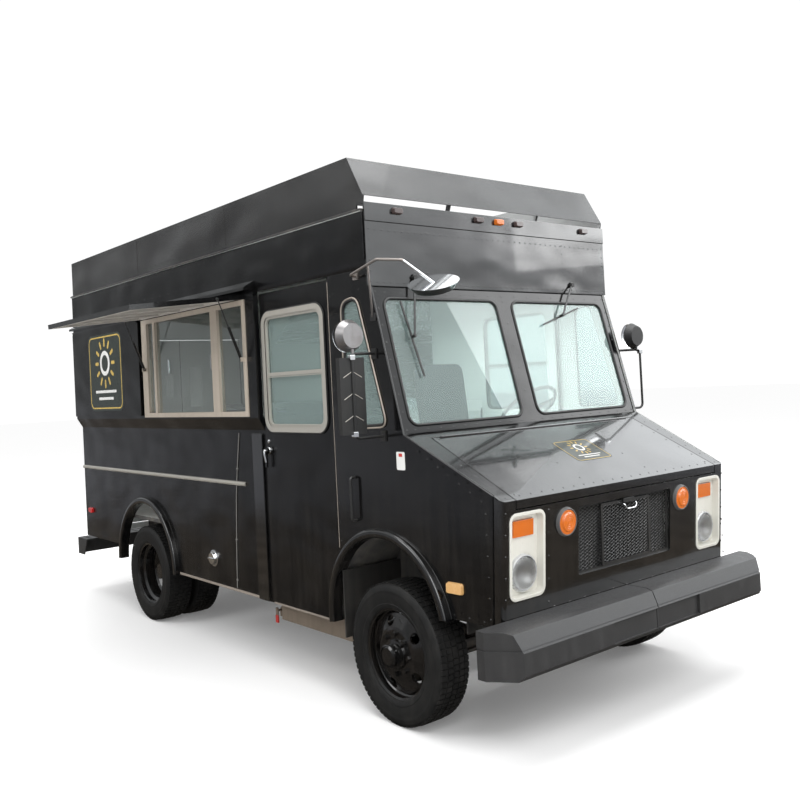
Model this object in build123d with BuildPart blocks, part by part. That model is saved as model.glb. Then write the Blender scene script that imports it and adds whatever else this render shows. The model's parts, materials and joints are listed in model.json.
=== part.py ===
# Walk-in food truck, every piece a separate solid, in millimetres.
# The truck is drawn about its own axes: x = 0 on the centre plane with the driver's side at +x,
# y = 0 at the front axle with the front towards -y, z = 0 on the ground.
import os
from math import atan2, cos, hypot, radians, sin, sqrt

from build123d import *

os.makedirs("parts", exist_ok=True)

# Driving sizes of the whole truck
WHEELBASE = 3378.0
TYRE_R = 400.0
AXLE_Z = TYRE_R
BODY_REAR_Y = 4790.0
UPPER_HALF = 1090.0
LOWER_HALF = 1040.0
WALL_T = 40.0
SIDES = {"right": -1, "left": 1}
MOVE_GAP = 8.0
SEAT_GAP = 0.3

# Heights of the body
SKIRT_Z = 472.0
LEDGE_LOW_Z = 1637.0
LEDGE_HIGH_Z = 1722.0
SOFFIT_Z = 2572.0
SOFFIT_HIGH_Z = 2632.0
DRIP_Z = 2896.0
FLOOR_Z = 870.0
FLOOR_T = 30.0
FLOOR_FRONT_Y = 480.0

# Front of the body
NOSE_TOP_Y, NOSE_TOP_Z = -832.0, 1296.0
NOSE_LOW_Y, NOSE_LOW_Z = -791.0, 673.0
NOSE_LEAN = (NOSE_TOP_Y - NOSE_LOW_Y) / (NOSE_TOP_Z - NOSE_LOW_Z)
NOSE_HALF = 1007.0
COWL_Y, COWL_Z = -156.0, 1628.0
CAB_HALF = 1062.0
BROW_Y, BROW_Z = 71.0, 2470.0
HEADER_TOP_Z = 2950.0
HEADER_HALF = 1080.0

# Cab door openings and cargo wall front
DOOR_FACE = 1046.0
DOOR_T = 36.0
DOOR_FRONT_Y = 508.0
DOOR_REAR_Y = 1325.0
DOOR_LOW_Z = 484.0
DOOR_HIGH_Z = SOFFIT_Z - 14.0
POST_Y = DOOR_REAR_Y + 10.0

# Wheel openings: centre, opening radius and flare width
FRONT_ARCH = {"y": 75.0, "z": 550.0, "r": 490.0}
REAR_ARCH = {"y": WHEELBASE - 28.0, "z": 470.0, "r": 530.0}
FLARE_W = 50.0
FLARE_PROUD = 32.0
FRONT_FLARE_PROUD = 20.0

# Serving opening and its hatch
SERVE_Y = (1450.0, 3170.0)
SERVE_Z = (1732.0, 2536.0)
HATCH_Y = (1500.0, 3062.0)
HATCH_T = 34.0
HATCH_AXIS = (-1118.0, 2547.0)
HATCH_INNER_X = -1108.0
HATCH_LENGTH = 770.0
HATCH_OPEN_DEG = 84.0

# Second hatch, stored shut, over the rear half of the kerb side
PANEL_Y = (3206.0, 4752.0)
PANEL_Z = (1745.0, 2534.0)
PANEL_AXIS = (-1118.0, 2547.0)

# Wheels
RIM_R = 262.0
TYRE_W = 226.0
FRONT_WHEEL_X = 974.0
REAR_OUTER_X = 931.0
DUAL_SPACING = 262.0
KINGPIN_X = 850.0
SPINDLE_R = 34.0
BORE_CLEAR = 0.05
STUD_CIRCLE_R = 112.0
STUD_COUNT = 8

# The outermost pieces, which set the middle of the plan
HATCH_TIP_X = HATCH_AXIS[0] - HATCH_LENGTH * sin(radians(HATCH_OPEN_DEG)) - 12.0
LEFT_MIRROR_TIP_X = 1262.0
BUMPER_FRONT_Y = -1000.0
STEP_REAR_Y = 5030.0
ROW_X = -(HATCH_TIP_X + LEFT_MIRROR_TIP_X) / 2
ROW_Y = -(BUMPER_FRONT_Y + STEP_REAR_Y) / 2


def station(y):
    """Plane across the truck at y, drawn in x and z; a negative extrusion runs rearwards."""
    return Plane.XZ.offset(-y)


def side_plane(x):
    """Plane along the truck at x, drawn in y and z; a positive extrusion runs to the driver's side."""
    return Plane.YZ.offset(x)


def level(z):
    """Plane at height z, drawn in x and y; a positive extrusion runs upwards."""
    return Plane.XY.offset(z)


def middle(span):
    """Middle of a (low, high) pair."""
    return (span[0] + span[1]) / 2


def width(span):
    """Length of a (low, high) pair."""
    return span[1] - span[0]


def save(piece, label):
    """Centre a finished piece on the plan, name it and write its file."""
    placed = Pos(ROW_X, ROW_Y, 0) * piece
    placed.label = label
    export_step(placed, f"parts/{label}.step")


def nose_y(z):
    """Place of the leaning front face at height z."""
    return NOSE_LOW_Y + NOSE_LEAN * (z - NOSE_LOW_Z)


# Chassis frame: two channel rails joined by tubular and channel crossmembers
RAIL_OUTER_X = 435.0
RAIL_FLANGE = 65.0
RAIL_WEB_T = 8.0
RAIL_Z = (520.0, 700.0)
RAIL_Y = (-774.0, 4740.0)
CROSSMEMBER_Y = (-700.0, 480.0, 1550.0, 2500.0, 4000.0, 4680.0)
CROSSMEMBER_DEEP = 70.0
EYE_PIN_R = 10.0
EYE_PIN_END_X = 508.0
SPRING_HALF_LENGTH = 560.0
REAR_SPRING_HALF = 650.0
SPRING_EYE_Z = 560.0
BRACKET_X = (360.0, 430.0)
FRONT_BRACKET_Y = (-964.7, RAIL_Y[0] + 20.0)
FRONT_BRACKET_Z = (530.0, 670.0)
REAR_BRACKET_Y = (RAIL_Y[1] - 20.0, 5017.0)
REAR_BRACKET_Z = (522.0, 532.7)
SILL_X = 400.0
SILL_W = 60.0

with BuildPart() as chassis_frame:
    for sign in SIDES.values():
        with BuildSketch(station(RAIL_Y[0])):
            Polygon(
                (sign * RAIL_OUTER_X, RAIL_Z[0]),
                (sign * RAIL_OUTER_X, RAIL_Z[1]),
                (sign * (RAIL_OUTER_X - RAIL_FLANGE), RAIL_Z[1]),
                (sign * (RAIL_OUTER_X - RAIL_FLANGE), RAIL_Z[1] - RAIL_WEB_T),
                (sign * (RAIL_OUTER_X - RAIL_WEB_T), RAIL_Z[1] - RAIL_WEB_T),
                (sign * (RAIL_OUTER_X - RAIL_WEB_T), RAIL_Z[0] + RAIL_WEB_T),
                (sign * (RAIL_OUTER_X - RAIL_FLANGE), RAIL_Z[0] + RAIL_WEB_T),
                (sign * (RAIL_OUTER_X - RAIL_FLANGE), RAIL_Z[0]),
                align=None,
            )
        extrude(amount=-width(RAIL_Y))
    with Locations(*[(0, y, middle(RAIL_Z)) for y in CROSSMEMBER_Y]):
        Box(2 * (RAIL_OUTER_X - RAIL_WEB_T), CROSSMEMBER_DEEP, width(RAIL_Z) - 4 * RAIL_WEB_T)
    with Locations(*[(0, y, middle(RAIL_Z) - RAIL_WEB_T) for y in CROSSMEMBER_Y]):
        Box(
            2 * (RAIL_OUTER_X - RAIL_FLANGE),
            CROSSMEMBER_DEEP - 2 * RAIL_WEB_T,
            width(RAIL_Z) - 4 * RAIL_WEB_T,
            mode=Mode.SUBTRACT,
        )
    for sign in SIDES.values():
        eye_pins = [-SPRING_HALF_LENGTH, SPRING_HALF_LENGTH]
        eye_pins += [WHEELBASE - REAR_SPRING_HALF, WHEELBASE + REAR_SPRING_HALF]
        with BuildSketch(side_plane(sign * (RAIL_OUTER_X - RAIL_WEB_T / 2))):
            with Locations(*[(y, SPRING_EYE_Z) for y in eye_pins]):
                Circle(EYE_PIN_R)
        extrude(amount=sign * (EYE_PIN_END_X - RAIL_OUTER_X + RAIL_WEB_T / 2))
        with Locations((sign * middle(BRACKET_X), middle(FRONT_BRACKET_Y), middle(FRONT_BRACKET_Z))):
            Box(width(BRACKET_X), width(FRONT_BRACKET_Y), width(FRONT_BRACKET_Z))
        with Locations((sign * middle(BRACKET_X), middle(REAR_BRACKET_Y), middle(REAR_BRACKET_Z))):
            Box(width(BRACKET_X), width(REAR_BRACKET_Y), width(REAR_BRACKET_Z))
        with Locations((sign * SILL_X, (FLOOR_FRONT_Y + RAIL_Y[1]) / 2, RAIL_Z[1])):
            Box(
                SILL_W,
                RAIL_Y[1] - FLOOR_FRONT_Y,
                FLOOR_Z - FLOOR_T - RAIL_Z[1],
                align=(Align.CENTER, Align.CENTER, Align.MIN),
            )
save(chassis_frame.part, "chassis_frame")

# Engine: one plain block at its place under the cover between the seats
ENGINE_Y = (-520.0, 240.0)
ENGINE_Z = (430.0, 1010.0)
ENGINE_HALF = 260.0

with BuildPart() as engine_block:
    with Locations((0, middle(ENGINE_Y), middle(ENGINE_Z))):
        Box(2 * ENGINE_HALF, width(ENGINE_Y), width(ENGINE_Z))
    chamfer(engine_block.edges().filter_by(Axis.Y), length=90)
save(engine_block.part, "engine_block")

# Leaf springs: an arched pack of leaves whose ends hang under the rails
SPRING_X = 475.0
SPRING_W = 60.0
SPRING_EYE_R = 28.0
SPRING_PACK_T = 44.0

# Front axle: an I-beam dropped between the kingpin eyes, with its springs
BEAM_Z = 335.0
BEAM_DEEP = 84.0
BEAM_W = 74.0
BEAM_WEB = 18.0
BEAM_DROP_X = 600.0
BEAM_LEVEL = 60.0
EYE_R = 40.0
EYE_HALF_H = 46.0
KINGPIN_R = 17.0

with BuildPart() as front_axle:
    with BuildSketch(station(-BEAM_W / 2)):
        Polygon(
            (-KINGPIN_X, AXLE_Z - EYE_HALF_H + 4),
            (-KINGPIN_X, AXLE_Z + EYE_HALF_H - 4),
            (-KINGPIN_X + BEAM_LEVEL, AXLE_Z + EYE_HALF_H - 4),
            (-BEAM_DROP_X, BEAM_Z + BEAM_DEEP / 2),
            (BEAM_DROP_X, BEAM_Z + BEAM_DEEP / 2),
            (KINGPIN_X - BEAM_LEVEL, AXLE_Z + EYE_HALF_H - 4),
            (KINGPIN_X, AXLE_Z + EYE_HALF_H - 4),
            (KINGPIN_X, AXLE_Z - EYE_HALF_H + 4),
            (KINGPIN_X - BEAM_LEVEL, AXLE_Z - EYE_HALF_H + 4),
            (BEAM_DROP_X, BEAM_Z - BEAM_DEEP / 2),
            (-BEAM_DROP_X, BEAM_Z - BEAM_DEEP / 2),
            (-KINGPIN_X + BEAM_LEVEL, AXLE_Z - EYE_HALF_H + 4),
            align=None,
        )
    extrude(amount=-BEAM_W)
    pocket_y = (BEAM_W + BEAM_WEB) / 4
    with Locations((0, pocket_y, BEAM_Z), (0, -pocket_y, BEAM_Z)):
        Box(2 * BEAM_DROP_X - 40, (BEAM_W - BEAM_WEB) / 2, BEAM_DEEP - 2 * BEAM_WEB, mode=Mode.SUBTRACT)
    with Locations(*[(sign * KINGPIN_X, 0, AXLE_Z) for sign in SIDES.values()]):
        Cylinder(EYE_R, 2 * EYE_HALF_H)
        Cylinder(KINGPIN_R + BORE_CLEAR, 2 * EYE_HALF_H, mode=Mode.SUBTRACT)
    for sign in SIDES.values():
        with BuildSketch(side_plane(sign * SPRING_X - SPRING_W / 2)):
            with BuildLine():
                leaf_low = ThreePointArc(
                    (-SPRING_HALF_LENGTH, SPRING_EYE_Z - SPRING_PACK_T / 2),
                    (0, BEAM_Z + BEAM_DEEP / 2 - 2),
                    (SPRING_HALF_LENGTH, SPRING_EYE_Z - SPRING_PACK_T / 2),
                )
                leaf_high = ThreePointArc(
                    (-SPRING_HALF_LENGTH, SPRING_EYE_Z),
                    (0, BEAM_Z + BEAM_DEEP / 2 + SPRING_PACK_T),
                    (SPRING_HALF_LENGTH, SPRING_EYE_Z),
                )
                Line(leaf_low @ 0, leaf_high @ 0)
                Line(leaf_low @ 1, leaf_high @ 1)
            make_face()
            with Locations((-SPRING_HALF_LENGTH, SPRING_EYE_Z), (SPRING_HALF_LENGTH, SPRING_EYE_Z)):
                Circle(SPRING_EYE_R)
            with Locations((-SPRING_HALF_LENGTH, SPRING_EYE_Z), (SPRING_HALF_LENGTH, SPRING_EYE_Z)):
                Circle(EYE_PIN_R + SEAT_GAP, mode=Mode.SUBTRACT)
        extrude(amount=SPRING_W)
save(front_axle.part, "front_axle")

# Rear axle: tubes and banjo housing, spindles for the twin wheels, springs and propeller shaft
AXLE_TUBE_R = 52.0
AXLE_TUBE_END_X = 548.0
BANJO_R = 165.0
BANJO_CHAMFER = 45.0
BANJO_W = 150.0
REAR_SPINDLE_END_X = 925.0
SHAFT_R = 40.0
SHAFT_FRONT = (0.0, ENGINE_Y[1] + 1.5, 482.0)

with BuildPart() as rear_axle:
    with BuildSketch(side_plane(-AXLE_TUBE_END_X)):
        with Locations((WHEELBASE, AXLE_Z)):
            Circle(AXLE_TUBE_R)
    extrude(amount=2 * AXLE_TUBE_END_X)
    with BuildSketch(side_plane(-REAR_SPINDLE_END_X)):
        with Locations((WHEELBASE, AXLE_Z)):
            Circle(SPINDLE_R)
    extrude(amount=2 * REAR_SPINDLE_END_X)
    with Locations((0, WHEELBASE, AXLE_Z)):
        Cylinder(BANJO_R, BANJO_W, rotation=(0, 90, 0))
    circles = rear_axle.edges().filter_by(GeomType.CIRCLE)
    banjo_edges = circles.filter_by(lambda e: abs(e.radius - BANJO_R) < 1)
    chamfer(banjo_edges, length=BANJO_CHAMFER)
    shaft_rear = (0.0, WHEELBASE - BANJO_R + 30.0, AXLE_Z)
    shaft_run = Vector(*SHAFT_FRONT) - Vector(*shaft_rear)
    with BuildSketch(Plane(origin=shaft_rear, z_dir=shaft_run)):
        Circle(SHAFT_R)
    extrude(amount=shaft_run.length)
    for sign in SIDES.values():
        with BuildSketch(side_plane(sign * SPRING_X - SPRING_W / 2)):
            with BuildLine():
                leaf_low = ThreePointArc(
                    (WHEELBASE - REAR_SPRING_HALF, SPRING_EYE_Z - SPRING_PACK_T / 2),
                    (WHEELBASE, AXLE_Z + AXLE_TUBE_R - 4),
                    (WHEELBASE + REAR_SPRING_HALF, SPRING_EYE_Z - SPRING_PACK_T / 2),
                )
                leaf_high = ThreePointArc(
                    (WHEELBASE - REAR_SPRING_HALF, SPRING_EYE_Z),
                    (WHEELBASE, AXLE_Z + AXLE_TUBE_R + SPRING_PACK_T),
                    (WHEELBASE + REAR_SPRING_HALF, SPRING_EYE_Z),
                )
                Line(leaf_low @ 0, leaf_high @ 0)
                Line(leaf_low @ 1, leaf_high @ 1)
            make_face()
            eyes = [(WHEELBASE + end * REAR_SPRING_HALF, SPRING_EYE_Z) for end in (-1, 1)]
            with Locations(*eyes):
                Circle(SPRING_EYE_R)
            with Locations(*eyes):
                Circle(EYE_PIN_R + SEAT_GAP, mode=Mode.SUBTRACT)
        extrude(amount=SPRING_W)
save(rear_axle.part, "rear_axle")

# Steering knuckles: forked about the axle's eye, with the spindle, kingpin and steering arm
EAR_R = 38.0
EAR_T = 24.0
EAR_GAP = 2.0
CHEEK_X = (KINGPIN_X + EYE_R + 3.0, KINGPIN_X + EYE_R + 28.0)
CHEEK_HALF_Y = 44.0
FRONT_SPINDLE_END_X = 1070.0
ARM_Y = 150.0
ARM_T = 18.0
ARM_Z = AXLE_Z - EYE_HALF_H - EAR_GAP - EAR_T
ARM_BOSS_R = 24.0
STUD_R = 9.0

for side, sign in SIDES.items():
    with BuildPart() as knuckle:
        ear_z = EYE_HALF_H + EAR_GAP + EAR_T / 2
        with Locations(
            (sign * KINGPIN_X, 0, AXLE_Z + ear_z),
            (sign * KINGPIN_X, 0, AXLE_Z - ear_z),
        ):
            Cylinder(EAR_R, EAR_T)
        with Locations(
            (sign * (KINGPIN_X + CHEEK_X[0]) / 2, 0, AXLE_Z + ear_z),
            (sign * (KINGPIN_X + CHEEK_X[0]) / 2, 0, AXLE_Z - ear_z),
        ):
            Box(CHEEK_X[0] - KINGPIN_X + 6, 2 * EAR_R, EAR_T)
        with Locations((sign * middle(CHEEK_X), 0, AXLE_Z)):
            Box(width(CHEEK_X), 2 * CHEEK_HALF_Y, 2 * ear_z + EAR_T)
        with Locations((sign * KINGPIN_X, 0, AXLE_Z)):
            Cylinder(KINGPIN_R, 2 * ear_z)
        with Locations((sign * (CHEEK_X[1] + FRONT_SPINDLE_END_X) / 2, 0, AXLE_Z)):
            Cylinder(SPINDLE_R, FRONT_SPINDLE_END_X - CHEEK_X[1] + 4, rotation=(0, 90, 0))
        with BuildSketch(level(ARM_Z)):
            Polygon(
                (sign * (KINGPIN_X - EAR_R + 6), 0),
                (sign * (KINGPIN_X + EAR_R - 6), 0),
                (sign * (KINGPIN_X + ARM_BOSS_R), ARM_Y),
                (sign * (KINGPIN_X - ARM_BOSS_R), ARM_Y),
                align=None,
            )
            with Locations((sign * KINGPIN_X, ARM_Y)):
                Circle(ARM_BOSS_R)
                Circle(STUD_R + SEAT_GAP, mode=Mode.SUBTRACT)
        extrude(amount=ARM_T)
    save(knuckle.part, f"front_{side}_knuckle")

# Tie rod: joins the two steering arms below them
TIE_R = 13.0
TIE_END_R = 20.0
TIE_END_H = 28.0
TIE_Z = ARM_Z - 4.0 - TIE_END_H / 2

with BuildPart() as tie_rod:
    with Locations((0, ARM_Y, TIE_Z)):
        Cylinder(TIE_R, 2 * KINGPIN_X, rotation=(0, 90, 0))
    with Locations(*[(sign * KINGPIN_X, ARM_Y, TIE_Z) for sign in SIDES.values()]):
        Cylinder(TIE_END_R, TIE_END_H)
        Cylinder(STUD_R, ARM_Z + ARM_T - TIE_Z, align=(Align.CENTER, Align.CENTER, Align.MIN))
save(tie_rod.part, "tie_rod")

# Wheel sections, each point (distance outboard of the rim's centre, radius)
BEAD_HALF = 84.0
RIM_HALF = 92.0
BEAD_R = 249.7
RIM_SECTION = [
    (-RIM_HALF, RIM_R), (-BEAD_HALF, RIM_R), (-BEAD_HALF, BEAD_R), (-46, BEAD_R), (-34, 228), (34, 228),
    (46, BEAD_R), (BEAD_HALF, BEAD_R), (BEAD_HALF, RIM_R), (RIM_HALF, RIM_R),
    (RIM_HALF, 253), (86, 240), (52, 240), (38, 218), (-38, 218), (-52, 240), (-86, 240), (-RIM_HALF, 253),
]
FRONT_DISC = [(40, 222), (58, 222), (84, 150), (88, 132), (88, 60), (74, 60), (74, 140), (70, 152)]
REAR_DISC = [(-40, 222), (-58, 222), (-DUAL_SPACING / 2 + 4, 150), (-DUAL_SPACING / 2, 132),
             (-DUAL_SPACING / 2, 60), (-DUAL_SPACING / 2 + 13, 60), (-DUAL_SPACING / 2 + 13, 140), (-56, 200)]
TYRE_INNER = [(-66, 250), (66, 250), (98, 318), (96, 352), (80, 378), (-80, 378), (-96, 352), (-98, 318)]
TYRE_BEAD_R = 250.0
BEAD_TOP_R = 266.0
BULGE_R = 330.0
WALL_TOP_R = 382.0
WALL_TOP_IN = 12.0
SHOULDER_R = TYRE_R - 3.0
SHOULDER_IN = 24.0
HAND_HOLE_R = 30.0
HAND_HOLE_CIRCLE = 184.0
HAND_HOLES = 5
HUB_R = 86.0
CAP_R = 62.0
NUT_R = 15.0
NUT_H = 20.0
BRAKE_R = 176.0


def section(sign, centre, points):
    """Points of a wheel section placed beside the truck at axle height."""
    return [(sign * (centre + w), AXLE_Z + r) for w, r in points]


def tyre(sign, centre, axle_y):
    """One hollow tyre whose beads sit on the rim."""
    half = TYRE_W / 2
    with BuildPart() as one:
        with BuildSketch(station(axle_y)):
            with BuildLine():
                seat = BEAD_HALF - SEAT_GAP
                shoulder, side = half - SHOULDER_IN, half - WALL_TOP_IN
                bead_in, bead_out = section(sign, centre, [(-seat, TYRE_BEAD_R), (seat, TYRE_BEAD_R)])
                wall = section(sign, centre, [(seat, BEAD_TOP_R), (half, BULGE_R), (side, WALL_TOP_R)])
                wall_in = section(sign, centre, [(-seat, BEAD_TOP_R), (-half, BULGE_R), (-side, WALL_TOP_R)])
                crown = section(sign, centre, [(shoulder, SHOULDER_R), (0, TYRE_R), (-shoulder, SHOULDER_R)])
                Line(bead_in, bead_out)
                Line(bead_out, wall[0])
                ThreePointArc(*wall)
                Line(wall[2], crown[0])
                ThreePointArc(*crown)
                Line(crown[2], wall_in[2])
                ThreePointArc(wall_in[2], wall_in[1], wall_in[0])
                Line(wall_in[0], bead_in)
            make_face()
            Polygon(*section(sign, centre, TYRE_INNER), align=None, mode=Mode.SUBTRACT)
        revolve(axis=Axis((0, axle_y, AXLE_Z), (1, 0, 0)))
    return one.part


for side, sign in SIDES.items():
    save(tyre(sign, FRONT_WHEEL_X, 0.0), f"front_{side}_tyre")
    save(tyre(sign, REAR_OUTER_X, WHEELBASE) + tyre(sign, REAR_OUTER_X - DUAL_SPACING, WHEELBASE),
         f"rear_{side}_tyres")

# Front wheels: rim and convex disc on a hub with its cap, nuts and brake disc
for side, sign in SIDES.items():
    with BuildPart() as front_wheel:
        with BuildSketch(station(0)):
            Polygon(*section(sign, FRONT_WHEEL_X, RIM_SECTION), align=None)
            Polygon(*section(sign, FRONT_WHEEL_X, FRONT_DISC), align=None)
            Polygon(
                *section(sign, FRONT_WHEEL_X, [
                    (-46, SPINDLE_R + BORE_CLEAR), (-46, BRAKE_R), (-20, BRAKE_R), (-20, HUB_R), (76, HUB_R),
                    (104, HUB_R - 4), (108, CAP_R), (148, CAP_R - 6), (153, CAP_R - 14), (153, 0), (98, 0),
                    (98, SPINDLE_R + BORE_CLEAR),
                ]),
                align=None,
            )
        revolve(axis=Axis((0, 0, AXLE_Z), (1, 0, 0)))
        with BuildSketch(side_plane(sign * (FRONT_WHEEL_X + 100))):
            with Locations((0, AXLE_Z)):
                with PolarLocations(HAND_HOLE_CIRCLE, HAND_HOLES):
                    Circle(HAND_HOLE_R)
        extrude(amount=-sign * 80, mode=Mode.SUBTRACT)
        with BuildSketch(side_plane(sign * (FRONT_WHEEL_X + 86))):
            with Locations((0, AXLE_Z)):
                with PolarLocations(STUD_CIRCLE_R, STUD_COUNT):
                    RegularPolygon(NUT_R, 6)
        extrude(amount=sign * NUT_H)
    save(front_wheel.part, f"front_{side}_wheel")

# Rear wheels: two rims back to back on one hub, with its axle flange and nuts
HUB_IN_X = 556.0
for side, sign in SIDES.items():
    with BuildPart() as rear_wheel:
        inner_rim_x = REAR_OUTER_X - DUAL_SPACING
        with BuildSketch(station(WHEELBASE)):
            Polygon(*section(sign, REAR_OUTER_X, RIM_SECTION), align=None)
            Polygon(*section(sign, REAR_OUTER_X, REAR_DISC), align=None)
            Polygon(*section(sign, inner_rim_x, RIM_SECTION), align=None)
            Polygon(*section(sign, inner_rim_x, [(-w, r) for w, r in REAR_DISC]), align=None)
            Polygon(
                *section(sign, 0, [
                    (HUB_IN_X, SPINDLE_R + BORE_CLEAR), (HUB_IN_X, BRAKE_R), (HUB_IN_X + 30, BRAKE_R),
                    (HUB_IN_X + 30, HUB_R), (REAR_OUTER_X - 30, HUB_R - 8), (REAR_OUTER_X - 18, HUB_R - 16),
                    (REAR_OUTER_X + 12, HUB_R - 22), (REAR_OUTER_X + 12, 0), (REAR_SPINDLE_END_X + 5, 0),
                    (REAR_SPINDLE_END_X + 5, SPINDLE_R + BORE_CLEAR),
                ]),
                align=None,
            )
        revolve(axis=Axis((0, WHEELBASE, AXLE_Z), (1, 0, 0)))
        with BuildSketch(side_plane(sign * (REAR_OUTER_X - 40))):
            with Locations((WHEELBASE, AXLE_Z)):
                with PolarLocations(HAND_HOLE_CIRCLE, HAND_HOLES):
                    Circle(HAND_HOLE_R)
        extrude(amount=-sign * (DUAL_SPACING - 80), mode=Mode.SUBTRACT)
        with BuildSketch(side_plane(sign * (REAR_OUTER_X - DUAL_SPACING / 2 + 12))):
            with Locations((WHEELBASE, AXLE_Z)):
                with PolarLocations(STUD_CIRCLE_R, STUD_COUNT):
                    RegularPolygon(NUT_R, 6)
        extrude(amount=sign * NUT_H)
    save(rear_wheel.part, f"rear_{side}_wheels")

# Floor: slab over the sills, step wells behind the doors and housings over the front wheels
STEP_X = (700.0, 1000.0)
STEP_Z = 500.0
STEP_T = 8.0
HOUSING_R = FRONT_ARCH["r"] + 24.0
HOUSING_T = 6.0
HOUSING_X = (600.0, 1012.0)
HOUSING_LOW_Z = 660.0
TOE_HALF = 300.0

with BuildPart() as floor:
    with Locations((0, (FLOOR_FRONT_Y + 4750) / 2, FLOOR_Z)):
        Box(2000, 4750 - FLOOR_FRONT_Y, FLOOR_T, align=(Align.CENTER, Align.CENTER, Align.MAX))
    for sign in SIDES.values():
        with Locations((sign * (TOE_HALF + HOUSING_X[0]) / 2, 0, FLOOR_Z)):
            Box(HOUSING_X[0] - TOE_HALF, 2 * FLOOR_FRONT_Y, FLOOR_T,
                align=(Align.CENTER, Align.CENTER, Align.MAX))
        door_middle = (DOOR_FRONT_Y + DOOR_REAR_Y) / 2
        door_width = DOOR_REAR_Y - DOOR_FRONT_Y - 2 * MOVE_GAP
        with Locations((sign * middle(STEP_X), door_middle, STEP_Z)):
            Box(width(STEP_X), door_width, FLOOR_Z - STEP_Z, align=(Align.CENTER, Align.CENTER, Align.MIN))
        with Locations((sign * middle(STEP_X), door_middle, STEP_Z + STEP_T)):
            Box(
                width(STEP_X) - 2 * STEP_T,
                door_width - 2 * STEP_T,
                FLOOR_Z - STEP_Z,
                align=(Align.CENTER, Align.CENTER, Align.MIN),
                mode=Mode.SUBTRACT,
            )
        with BuildSketch(side_plane(sign * HOUSING_X[0])):
            with Locations((FRONT_ARCH["y"], FRONT_ARCH["z"])):
                Circle(HOUSING_R)
            Rectangle(4 * HOUSING_R, HOUSING_LOW_Z, align=(Align.CENTER, Align.MIN), mode=Mode.SUBTRACT)
        extrude(amount=sign * width(HOUSING_X))
        with BuildSketch(side_plane(sign * (HOUSING_X[0] + HOUSING_T))):
            with Locations((FRONT_ARCH["y"], FRONT_ARCH["z"])):
                Circle(HOUSING_R - HOUSING_T)
        extrude(amount=sign * width(HOUSING_X), mode=Mode.SUBTRACT)
save(floor.part, "floor")

# Cargo side walls: upper wall, sloped ledge and lower skirt in one section, carried forward over the cab door
WALL_SECTION = [
    (UPPER_HALF, DRIP_Z), (UPPER_HALF, LEDGE_HIGH_Z), (LOWER_HALF, LEDGE_LOW_Z), (LOWER_HALF, SKIRT_Z),
    (LOWER_HALF - WALL_T, SKIRT_Z), (LOWER_HALF - WALL_T, LEDGE_LOW_Z + 13),
    (UPPER_HALF - WALL_T, LEDGE_HIGH_Z + 13),
    (UPPER_HALF - WALL_T, DRIP_Z),
]
OVER_DOOR_SECTION = [
    (UPPER_HALF, DRIP_Z), (UPPER_HALF, SOFFIT_HIGH_Z), (CAB_HALF, SOFFIT_Z + 4), (1010, SOFFIT_Z + 4),
    (1010, SOFFIT_Z + 28), (UPPER_HALF - WALL_T, SOFFIT_HIGH_Z + 18), (UPPER_HALF - WALL_T, DRIP_Z),
]
HEADER_T = 12.0
WALL_FRONT_Y = BROW_Y + HEADER_T + SEAT_GAP
REAR_SKIRT_Y = 3935.0
REAR_SKIRT_Z = 587.0
RUB_R = 15.0
RUB_Z = 1255.0
RUB_FRONT_Y = 1630.0
PANEL_FRAME = 60.0

for side, sign in SIDES.items():
    with BuildPart() as wall:
        with BuildSketch(station(POST_Y)):
            Polygon(*[(sign * x, z) for x, z in WALL_SECTION], align=None)
        extrude(amount=-(BODY_REAR_Y - POST_Y))
        with BuildSketch(station(WALL_FRONT_Y)):
            Polygon(*[(sign * x, z) for x, z in OVER_DOOR_SECTION], align=None)
        extrude(amount=-(POST_Y - WALL_FRONT_Y))
        with BuildSketch(station(RUB_FRONT_Y)):
            with Locations((sign * LOWER_HALF, RUB_Z)):
                Circle(RUB_R)
        extrude(amount=-(BODY_REAR_Y - RUB_FRONT_Y))
        with BuildSketch(side_plane(sign * (LOWER_HALF - WALL_T / 2))):
            with Locations((REAR_ARCH["y"], REAR_ARCH["z"])):
                Circle(REAR_ARCH["r"] + FLARE_W)
            Rectangle(4 * REAR_ARCH["r"] + 2 * BODY_REAR_Y, 2 * SKIRT_Z, mode=Mode.SUBTRACT)
        extrude(amount=sign * (WALL_T / 2 + FLARE_PROUD))
        with BuildSketch(side_plane(0)):
            with Locations((REAR_ARCH["y"], REAR_ARCH["z"])):
                Circle(REAR_ARCH["r"])
            with Locations((REAR_SKIRT_Y, 0)):
                Rectangle(BODY_REAR_Y, REAR_SKIRT_Z, align=(Align.MIN, Align.MIN))
        extrude(amount=sign * 2 * UPPER_HALF, mode=Mode.SUBTRACT)
        if side == "right":
            with BuildSketch(side_plane(-2 * UPPER_HALF)):
                with Locations((middle(SERVE_Y), middle(SERVE_Z))):
                    Rectangle(width(SERVE_Y) + 2 * SEAT_GAP, width(SERVE_Z) + 2 * SEAT_GAP)
                with Locations((middle(PANEL_Y), middle(PANEL_Z))):
                    Rectangle(width(PANEL_Y) - 2 * PANEL_FRAME, width(PANEL_Z) - 2 * PANEL_FRAME)
            extrude(amount=2 * UPPER_HALF, mode=Mode.SUBTRACT)
    save(wall.part, f"side_wall_{side}")

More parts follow.
